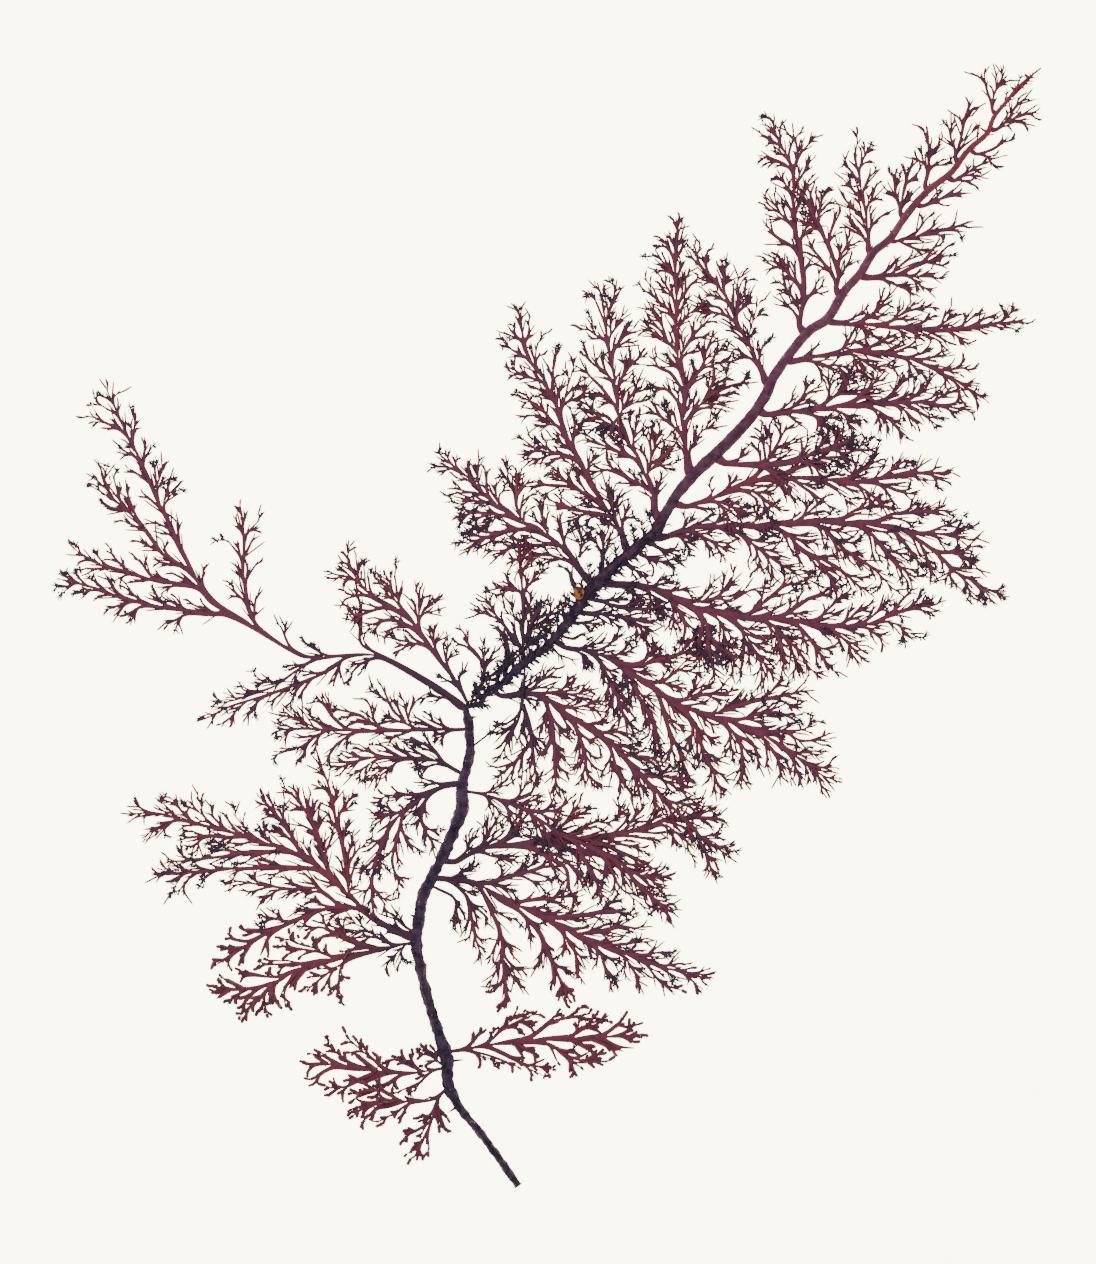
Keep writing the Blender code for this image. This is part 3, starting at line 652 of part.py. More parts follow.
def branch_points(stem, i, goals, side):
    """The curve of a branch that leaves a stem softly and runs through the goals."""
    start = stem.points[i]
    ahead = stem.heading(i)
    if len(goals) > 1:
        return trace([start] + goals)
    tip = goals[0]
    span = math.dist(start, tip)
    chord = ((tip[0] - start[0]) / span, (tip[1] - start[1]) / span)
    turn = side * 0.1
    out = (ahead[0] * math.cos(turn * 4) - ahead[1] * math.sin(turn * 4),
           ahead[0] * math.sin(turn * 4) + ahead[1] * math.cos(turn * 4))
    end = (chord[0] * math.cos(-turn) - chord[1] * math.sin(-turn),
           chord[0] * math.sin(-turn) + chord[1] * math.cos(-turn))
    a = (start[0] + 0.3 * span * out[0], start[1] + 0.3 * span * out[1])
    b = (tip[0] - 0.35 * span * end[0], tip[1] - 0.35 * span * end[1])
    curve = []
    for k in range(7):
        t = k / 6.0
        u = 1 - t
        curve.append(tuple(u ** 3 * start[n] + 3 * u * u * t * a[n] + 3 * u * t * t * b[n] + t ** 3 * tip[n]
                           for n in (0, 1)))
    return trace(curve)


def branch_widths(length, bearer):
    """Widths of a branch along its length, never more than the stem that bears it."""
    root = min(0.3 + 0.045 * length, 1.0, 0.85 * bearer)
    return [root, root * 0.95, root * 0.8, root * 0.6, 0.14]


def grow_branch(stem, i, goals, side, level):
    points = branch_points(stem, i, goals, side)
    length = sum(math.dist(points[k - 1], points[k]) for k in range(1, len(points)))
    made = Stem(points, branch_widths(length, max(2 * stem.half[i], 0.3)), stem, i, level)
    made.side = side
    return made


def least_length(stem, i):
    """The shortest branch that still shows beyond the flank of its stem."""
    return 1.55 * stem.half[i] + 0.55


def clear_of_axis(points, half, axis):
    """The line of a frond, cut back at its root until both corners of its end clear the axis."""
    for k in range(len(points) - 3):
        a, b = points[k], points[k + 1]
        span = max(math.dist(a, b), 1e-9)
        nx, ny = -(b[1] - a[1]) / span * half, (b[0] - a[0]) / span * half
        free = True
        for x, y in (a, (a[0] + nx, a[1] + ny), (a[0] - nx, a[1] - ny)):
            for i, (ax, ay) in enumerate(axis.points):
                if math.hypot(x - ax, y - ay) < axis.half[i] + ROOT_GAP:
                    free = False
        if free:
            return points[k:]
    return points[len(points) // 2:]


def grow_frond(index, entry, crowd, axis):
    """All stems of one frond, laid in the layers where they are free."""
    name, line, widths, sides = entry
    points = clear_of_axis(trace(line), 0.5 * widths[0], axis)
    best = None
    for level in range(5):
        main = Stem(points, widths, None, 0, level)
        main.raise_to(0.5 * AXIS_THICKNESS, level, min(8.0, 0.5 * main.length))
        count, first = crowd.first_clash(main, index)
        if best is None or count < best[0]:
            best = (count, main)
        if count == 0:
            break
    main = best[1]
    crowd.add(main, index)
    stems = [main]
    ordered = sorted(range(len(sides)), key=lambda k: (0 if len(sides[k]) > 2 else 1, k))
    for k in ordered:
        numbers = sides[k]
        goals = [(numbers[n], numbers[n + 1]) for n in range(0, len(numbers), 2)]
        options = []
        for stem in stems:
            if stem.depth > 1 or stem.length < 3.0:
                continue
            i = find_root(stem, goals[0], FORK_ANGLE if len(goals) == 1 else FORK_ANGLE * 1.1)
            options.append((math.dist(stem.points[i], goals[0]) + 0.4 * stem.depth, len(options), stem, i))
        options.sort(key=lambda o: o[:2])
        for cost, _, stem, i in options[:3]:
            side = side_of(stem, i, goals[0])
            i = free_root(stem, i, side, 1.3)
            if i is None or math.dist(stem.points[i], goals[-1]) < least_length(stem, i):
                continue
            tries = []
            for level in (stem.level, stem.level + 1, stem.level - 1, stem.level + 2, stem.level + 3):
                if level < 0 or level > 5:
                    continue
                made = grow_branch(stem, i, goals, side, level)
                rise = max(1.5, min(0.6 * made.length, 3.0 * abs(level - stem.level) + 0.5))
                made.raise_to(stem.heights[i], level, rise)
                count, first = crowd.first_clash(made, index)
                tries.append((count, len(tries), made))
                if count == 0:
                    break
            count, _, made = min(tries, key=lambda t: t[:2])
            if count == 0 or (len(goals) > 1 and count < 4):
                stem.children.append(made)
                stems.append(made)
                crowd.add(made, index)
                break
    return stems


def grow_twigs(index, stems, crowd, share, deepest):
    """Branchlets placed by rule, left and right in turn, where there is room for them."""
    for number, stem in enumerate(list(stems)):
        if stem.depth > deepest or stem.length < 2.6:
            continue
        bare = stem.length / (1 + len(stem.children)) > BARE_LENGTH
        spacing = BARE_GAP if bare else TWIG_GAP
        if stem.length < 4.5 and hash_unit(index, number, 8) > SHORT_SHARE:
            continue
        s = max(1.2, 0.2 * stem.length) if stem.depth else 2.0
        side = 1 if hash_unit(index, number, 1) > 0.5 else -1
        count = 0
        while s < stem.length - 0.9:
            jitter = hash_unit(index, number, count, 7)
            i = int(round(s / stem.step))
            left = stem.length - s
            length = (share * left + 0.5) * (0.75 + 0.5 * jitter)
            length = min(length, 5.5)
            for attempt in range(3):
                if length < max(1.0, least_length(stem, i)):
                    break
                spot = free_root(stem, i, side, 1.3)
                if spot is None or spot < 2:
                    break
                ahead = stem.heading(spot)
                turn = side * (FORK_ANGLE * (0.85 + 0.3 * jitter))
                dx = ahead[0] * math.cos(turn) - ahead[1] * math.sin(turn)
                dy = ahead[0] * math.sin(turn) + ahead[1] * math.cos(turn)
                tip = (stem.points[spot][0] + length * dx, stem.points[spot][1] + length * dy)
                made = grow_branch(stem, spot, [tip], side, stem.level)
                made.heights = [stem.heights[spot] + (0.5 * BLADE + stem.level * LAYER - stem.heights[spot])
                                * min(1.0, k * made.step / 1.5) for k in range(len(made.points))]
                clashes, first = crowd.first_clash(made, index)
                if clashes == 0:
                    stem.children.append(made)
                    stems.append(made)
                    crowd.add(made, index)
                    break
                length *= 0.7
            side = -side
            count += 1
            s += spacing * (0.8 + 0.4 * hash_unit(index, number, count, 3))


def pick_stations(stem):
    """The points of a stem that the mesh keeps: forks, bends and ends."""
    last = len(stem.points) - 1
    fixed = sorted({0, last} | {c.root for c in stem.children})
    keep = set(fixed)

    def split(a, b):
        if b - a < 8:
            return
        pa, pb = stem.points[a], stem.points[b]
        span = max(math.dist(pa, pb), 1e-9)
        worst, where = 0.0, None
        for k in range(a + 4, b - 3):
            p = stem.points[k]
            off = abs((pb[0] - pa[0]) * (p[1] - pa[1]) - (pb[1] - pa[1]) * (p[0] - pa[0])) / span
            t = (k - a) / (b - a)
            off = max(off, abs(stem.heights[k] - stem.heights[a] - t * (stem.heights[b] - stem.heights[a])))
            off = max(off, 1.2 * abs(stem.half[k] - stem.half[a] - t * (stem.half[b] - stem.half[a])))
            if off > worst:
                worst, where = off, k
        if worst > BEND_SLACK and where is not None:
            keep.add(where)
            split(a, where)
            split(where, b)

    for a, b in zip(fixed, fixed[1:]):
        split(a, b)
    out = sorted(keep)
    if stem.parent is not None:
        clear = 2.2 * stem.parent.half[stem.root] + 0.3
        out = [k for k in out if k == 0 or k == last or k * stem.step > clear
               or any(c.root == k for c in stem.children)]
    return out


def room_beside(node, corner, nodes, edges):
    """How much of a side corner fits before it meets the stem that runs beside it."""
    fit = 1.0
    x, y = node["at"]
    for i, j, half_i, half_j, number in edges:
        a, b = nodes[i], nodes[j]
        if a is node or b is node:
            continue
        ax, ay = a["at"][0] - x, a["at"][1] - y
        bx, by = b["at"][0] - x, b["at"][1] - y
        if min(ax, bx) > 3 or max(ax, bx) < -3 or min(ay, by) > 3 or max(ay, by) < -3:
            continue
        length = (bx - ax) ** 2 + (by - ay) ** 2
        t = min(1.0, max(0.0, -(ax * (bx - ax) + ay * (by - ay)) / max(length, 1e-9)))
        if abs(a["z"] + t * (b["z"] - a["z"]) - node["z"]) > BLADE:
            continue
        cx, cy = ax + t * (bx - ax), ay + t * (by - ay)
        far = math.hypot(cx, cy)
        toward = (corner[0] * cx + corner[1] * cy) / max(far, 1e-6)
        half = half_i + t * (half_j - half_i)
        share = 0.92 * far * node["half"] / (node["half"] + half)
        if toward > share:
            fit = min(fit, max(0.15, share / toward))
    return fit


def frond_shape(stems):
    """One closed surface over all stems: a ridge above, a keel below and an edge on either side.

    With the vertices and the faces come the numbers of the stems that the faces belong to.
    """
    nodes = []
    ids = {}
    edges = []
    for number, stem in enumerate(stems):
        stations = pick_stations(stem)
        previous = None
        for k in stations:
            if k == 0 and stem.parent is not None:
                node = ids[(id(stem.parent), stem.root)]
            else:
                node = len(nodes)
                ids[(id(stem), k)] = node
                nodes.append({"at": stem.points[k], "z": stem.heights[k], "arms": [],
                              "tip": k == len(stem.points) - 1, "half": stem.half[k]})
            if previous is not None:
                edges.append((previous[0], node, previous[1], stem.half[k], number))
            previous = (node, stem.half[k])
    for n, (i, j, half_i, half_j, number) in enumerate(edges):
        a, b = nodes[i]["at"], nodes[j]["at"]
        turn = math.atan2(b[1] - a[1], b[0] - a[0])
        span = math.dist(a, b)
        nodes[i]["arms"].append([turn, span, half_i, n, 0])
        nodes[j]["arms"].append([(turn + math.pi) % (2 * math.pi), span, half_j, n, 1])
    verts = []
    faces = []
    owners = []
    ends = {}
    for node in nodes:
        x, y = node["at"]
        z = node["z"]
        arms = node["arms"]
        for arm in arms:
            arm[0] %= 2 * math.pi
        arms.sort()
        if node["tip"]:
            verts.append((x, y, z))
            for arm in arms:
                ends[(arm[3], arm[4])] = (len(verts) - 1,) * 4
            continue
        tall = 0.5 * BLADE
        ridge = len(verts)
        verts.append((x, y, z + tall))
        verts.append((x, y, z - tall))
        corners = []
        if len(arms) == 1:
            turn, span, half = arms[0][:3]
            corners = [len(verts), len(verts) + 1]
            verts.append((x - half * math.sin(turn), y + half * math.cos(turn), z))
            verts.append((x + half * math.sin(turn), y - half * math.cos(turn), z))
            ends[(arms[0][3], arms[0][4])] = (ridge, ridge + 1, corners[0], corners[1])
            faces.append((ridge, corners[0], corners[1]))
            faces.append((ridge + 1, corners[1], corners[0]))
            owners += [edges[arms[0][3]][4]] * 2
            continue
        for n, arm in enumerate(arms):
            mate = arms[(n + 1) % len(arms)]
            sector = (mate[0] - arm[0]) % (2 * math.pi)
            if abs(sector - math.pi) < 0.3:
                reach = 0.5 * (arm[2] + mate[2]) / math.sin(0.5 * sector)
                turn = arm[0] + 0.5 * sector
                px, py = reach * math.cos(turn), reach * math.sin(turn)
            else:
                sine = math.copysign(max(abs(math.sin(sector)), 0.1), math.sin(sector))
                px = (mate[2] * math.cos(arm[0]) + arm[2] * math.cos(mate[0])) / sine
                py = (mate[2] * math.sin(arm[0]) + arm[2] * math.sin(mate[0])) / sine
            fit = 1.0
            for turn, span, half in (arm[:3], mate[:3]):
                ahead = px * math.cos(turn) + py * math.sin(turn)
                fit = min(fit, 0.55 * span / max(ahead, 1e-6))
            fit = min(fit, 2.5 * max(arm[2], mate[2]) / math.hypot(px, py)) if sector > math.pi else fit
            px, py = px * fit, py * fit
            fit = room_beside(node, (px, py), nodes, edges)
            px, py = px * fit, py * fit
            corners.append(len(verts))
            verts.append((x + px, y + py, z))
        for n, arm in enumerate(arms):
            ends[(arm[3], arm[4])] = (ridge, ridge + 1, corners[n], corners[n - 1])
    for n in range(len(edges)):
        top_i, low_i, left_i, right_i = ends[(n, 0)]
        top_j, low_j, right_j, left_j = ends[(n, 1)]
        for quad in ((top_i, top_j, left_j, left_i), (top_i, right_i, right_j, top_j),
                     (low_i, left_i, left_j, low_j), (low_i, low_j, right_j, right_i)):
            add_quad(faces, quad)
        owners += [edges[n][4]] * (len(faces) - len(owners))
    return verts, faces, owners


def add_quad(faces, quad):
    """A four-sided patch as two triangles, or as one where two of its corners are the same."""
    ring = [v for n, v in enumerate(quad) if v != quad[n - 1]]
    if len(ring) == 4:
        faces.append((ring[0], ring[1], ring[3]))
        faces.append((ring[1], ring[2], ring[3]))
    else:
        faces.append(tuple(ring))


def swing_out(stem):
    """Bends the first part of a branch a little away from the stem that bears it."""
    for k in range(1, len(stem.points) - 1):
        s = k * stem.step / min(7.0, stem.length)
        if s < 1.0:
            ahead = stem.heading(k)
            push = 0.3 * math.sin(math.pi * s) * stem.side
            stem.points[k] = (stem.points[k][0] - push * ahead[1], stem.points[k][1] + push * ahead[0])
    stem.swings += 1


def clean_frond(stems):
    """The surface of a frond; branches that would run into a neighbour are bent clear or left out."""
    while True:
        verts, faces, owners = frond_shape(stems)
        tree = BVHTree.FromPolygons(verts, faces)
        pair = None
        for i, j in tree.overlap(tree):
            if owners[i] < owners[j] and not set(faces[i]) & set(faces[j]):
                pair = (stems[owners[i]], stems[owners[j]])
                break
        if pair is None:
            return verts, faces
        if pair[1].parent is pair[0] and pair[1].swings < 4:
            swing_out(pair[1])
            continue
        drop = min((stem for stem in pair if stem.parent), key=lambda stem: (len(stem.children), stem.length))
        gone = {id(drop)}
        for stem in stems:
            if id(stem.parent) in gone:
                gone.add(id(stem))
        drop.parent.children.remove(drop)
        stems[:] = [stem for stem in stems if id(stem) not in gone]


def widths_along(points, line, widths):
    """The widths given at the points of a line, spread over the finer points that trace it."""
    marks = [min(range(len(points)), key=lambda i: math.dist(points[i], spot)) for spot in line]
    out = []
    k = 0
    for i in range(len(points)):
        while k < len(marks) - 2 and i > marks[k + 1]:
            k += 1
        part = (i - marks[k]) / max(1, marks[k + 1] - marks[k])
        out.append(widths[k] + min(1.0, max(0.0, part)) * (widths[k + 1] - widths[k]))
    return out


def axis_shape(axis, stubs):
    """The main axis: rings with a flat underside and a rounded, uneven top, and short broken stubs."""
    last = len(axis.points) - 1
    near = [min(range(3, last - 6), key=lambda i: math.dist(axis.points[i], stub)) for stub in stubs]
    keep = set(range(0, last - 3, AXIS_STEP))
    for i in near:
        keep -= {i - 2, i - 1, i, i + 1, i + 3, i + 4}
        keep |= {i - 1, i + 2} if i - 1 > 0 else {i + 2}
    rings = sorted(k for k in keep if 0 <= k < last - 3)
    outline = [(-0.6, 0.0), (-1.0, 0.42), (-0.74, 0.84), (-0.22, 1.0), (0.3, 0.97), (0.78, 0.8),
               (1.0, 0.38), (0.56, 0.0)]
    n = len(outline)
    verts = []
    for k in rings:
        nx, ny = axis.heading(k)
        half = axis.half[k] * (0.93 + 0.1 * hash_unit(k, 5))
        tall = min(AXIS_THICKNESS, 0.5 + 1.2 * axis.half[k]) * (0.92 + 0.08 * hash_unit(k, 9))
        for u, v in outline:
            verts.append((axis.points[k][0] - ny * u * half, axis.points[k][1] + nx * u * half, v * tall))
    verts.append((axis.points[last][0], axis.points[last][1], 0.3))
    tip = len(verts) - 1
    sides = []
    for row in range(len(rings) - 1):
        for m in range(n):
            a, b = row * n + m, row * n + (m + 1) % n
            sides.append((a, b, b + n, a + n))
    taken = set()
    faces = []
    for i, stub in zip(near, stubs):
        row = max(r for r in range(len(rings) - 1) if rings[r] <= i)
        ahead = axis.heading(i)
        left = ahead[0] * (stub[1] - axis.points[i][1]) - ahead[1] * (stub[0] - axis.points[i][0]) > 0
        index = row * n + (5 if left else 1)
        if index in taken:
            continue
        taken.add(index)
        a, b, c, d = sides[index]
        verts.append((stub[0], stub[1], 0.55 * AXIS_THICKNESS))
        peak = len(verts) - 1
        faces += [(a, peak, b), (b, peak, c), (c, peak, d), (d, peak, a)]
    for index, (a, b, c, d) in enumerate(sides):
        if index not in taken:
            faces += [(a, d, b), (d, c, b)]
    for m in range(1, n - 1):
        faces.append((0, m, m + 1))
    base = (len(rings) - 1) * n
    for m in range(n):
        faces.append((base + (m + 1) % n, base + m, tip))
    return verts, faces


def growth_shape(centre, size, floor):
    """A lumpy crust, flatter below than above."""
    verts = []
    faces = []
    rows, columns = 5, 10
    verts.append((centre[0], centre[1], floor))
    for r in range(1, rows):
        lift = math.pi * r / rows
        for c in range(columns):
            turn = 2 * math.pi * c / columns
            lump = 0.9 + 0.2 * hash_unit(r, c, 4)
            verts.append((centre[0] + 0.5 * size[0] * lump * math.sin(lift) * math.cos(turn),
                          centre[1] + 0.5 * size[1] * lump * math.sin(lift) * math.sin(turn),
                          floor + 0.5 * size[2] * (1 - math.cos(lift))))
    verts.append((centre[0], centre[1], floor + size[2]))
    top = len(verts) - 1
    for c in range(columns):
        d = (c + 1) % columns
        faces.append((0, 1 + d, 1 + c))
        faces.append((top, top - columns + c, top - columns + d))
        for r in range(rows - 2):
            a, b = 1 + r * columns + c, 1 + r * columns + d
            faces += [(a, b, b + columns), (a, b + columns, a + columns)]
    return verts, faces


def make_object(name, verts, faces, colour, roughness, smooth):
    mesh = bpy.data.meshes.new(name)
    mesh.from_pydata([(x * MM, y * MM, z * MM) for x, y, z in verts], [], faces)
    mesh.validate()
    shape = bmesh.new()
    shape.from_mesh(mesh)
    if shape.calc_volume(signed=True) < 0:
        bmesh.ops.reverse_faces(shape, faces=shape.faces)
    shape.to_mesh(mesh)
    shape.free()
    mesh.polygons.foreach_set("use_smooth", [smooth] * len(mesh.polygons))
    material = bpy.data.materials.new(name)
    material.use_nodes = True
    shader = material.node_tree.nodes["Principled BSDF"]
    shader.inputs["Base Color"].default_value = (*colour, 1.0)
    shader.inputs["Roughness"].default_value = roughness
    shader.inputs["Metallic"].default_value = 0.0
    mesh.materials.append(material)
    made = bpy.data.objects.new(name, mesh)
    bpy.context.scene.collection.objects.link(made)
    return made


def frond_colour(index, line):
    """Darker and more violet near the foot, redder further out."""
    out = min(1.0, max(0.0, 0.4 + 0.004 * line[len(line) // 2][1] + 0.003 * abs(line[-1][0])))
    shade = 0.85 + 0.3 * hash_unit(index, 2)
    return (shade * (0.085 + 0.05 * out), shade * (0.022 + 0.008 * out), shade * (0.035 + 0.006 * out))


def build():
    for item in list(bpy.data.objects):
        bpy.data.objects.remove(item, do_unlink=True)
    crowd = Crowd()
    points = trace(AXIS_LINE)
    axis = Stem(points, widths_along(points, AXIS_LINE, AXIS_WIDTHS), None, 0, 0)
    axis.heights = [0.5 * AXIS_THICKNESS] * len(points)
    axis.tall = 0.5 * AXIS_THICKNESS
    crowd.add(axis, -1)
    fronds = []
    for index, entry in enumerate(FRONDS):
        fronds.append(grow_frond(index, entry, crowd, axis))
    for index, stems in enumerate(fronds):
        grow_twigs(index, stems, crowd, TWIG_SHARE, 2)
    verts, faces = axis_shape(axis, AXIS_STUBS)
    make_object("main_axis", verts, faces, (0.055, 0.022, 0.04), 0.75, False)
    verts, faces = growth_shape(GROWTH, GROWTH_SIZE, AXIS_THICKNESS + 0.15)
    make_object("crusty_growth", verts, faces, (0.42, 0.16, 0.05), 0.85, True)
    for index, stems in enumerate(fronds):
        verts, faces = clean_frond(stems)
        make_object(FRONDS[index][0], verts, faces, frond_colour(index, FRONDS[index][1]), 0.6, False)


build()
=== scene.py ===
import json
import math

import bmesh
import bpy
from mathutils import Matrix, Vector, noise

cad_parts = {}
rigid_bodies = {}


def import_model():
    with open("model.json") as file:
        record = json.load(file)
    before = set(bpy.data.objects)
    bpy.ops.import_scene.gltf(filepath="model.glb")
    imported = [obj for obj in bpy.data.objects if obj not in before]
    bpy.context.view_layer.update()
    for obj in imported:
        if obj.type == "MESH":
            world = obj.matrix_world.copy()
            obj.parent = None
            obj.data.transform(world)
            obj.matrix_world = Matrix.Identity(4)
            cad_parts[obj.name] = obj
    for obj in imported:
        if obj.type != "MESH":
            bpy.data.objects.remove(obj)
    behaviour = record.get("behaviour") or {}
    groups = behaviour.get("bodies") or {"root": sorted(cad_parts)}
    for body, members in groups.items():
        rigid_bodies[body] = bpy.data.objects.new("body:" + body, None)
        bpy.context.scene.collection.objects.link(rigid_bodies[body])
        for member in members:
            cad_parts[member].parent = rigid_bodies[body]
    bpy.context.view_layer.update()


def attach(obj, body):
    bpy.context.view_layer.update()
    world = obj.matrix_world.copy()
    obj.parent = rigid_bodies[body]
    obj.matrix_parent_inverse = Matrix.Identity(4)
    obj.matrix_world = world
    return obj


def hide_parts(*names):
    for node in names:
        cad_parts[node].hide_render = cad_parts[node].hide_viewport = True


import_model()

# A pressed, dried red seaweed that lies flat, seen from straight above.
# Sizes are in millimetres, with X to the right, Y to the plant's top and Z up.
mm = 0.001

plant = {"axisThickness": 1.35, "blade": 0.6, "layer": 0.85, "rootGap": 0.2, "sideGap": 0.3, "step": 0.3,
         "forkAngle": 0.65, "twigGap": 30.0, "bareLength": 6.0, "bareGap": 4.6}

# The axis from its foot to its tip, its widths at these points, and the tips of its broken stubs.
# Here and in the fronds, points are x and y in turn, and all numbers are tenths of a millimetre.
axisLine = [
    -59, -1116, -95, -1065, -138, -1005, -172, -965, -198, -915, -203, -860, -225, -790, -248, -710, -263,
    -635, -262, -610, -252, -545, -233, -500, -205, -445, -175, -370, -170, -310, -157, -250, -158, -195,
    -162, -160, -135, -150, -120, -125, -93, -110, -60, -80, -30, -55, 0, -35, 30, 0, 55, 35, 80, 70, 105,
    95, 140, 130, 180, 163, 215, 195, 235, 230, 265, 275, 305, 320, 350, 362, 400, 415, 432, 460, 450, 500,
    485, 550, 520, 592, 560, 620, 590, 670, 625, 710, 650, 750, 685, 780, 720, 830, 760, 875, 805, 910, 840,
    955, 877, 988, 892, 1022, 919, 1055, 942, 1084, 986, 1120]
axisWidths = [
    15, 15, 16, 17, 24, 26, 22, 20, 24, 24, 23, 24, 24, 26, 22, 18, 18, 16, 12, 12, 15, 18, 19, 20, 22, 26,
    30, 28, 26, 24, 22, 20, 20, 20, 20, 19, 19, 18, 17, 17, 17, 16, 15, 14, 13, 13, 12, 11, 10, 9, 8, 7, 5,
    3]
axisStubs = [
    -229, -825, -200, -969, -169, -983, -166, -863, -278, -574, -192, -422, -141, -176, -130, -164, -180,
    -345, 923, 1084, 952, 1110, 954, 1077, -95, -84, 18, 41, 33, 64, 35, -68, 861, 1002]

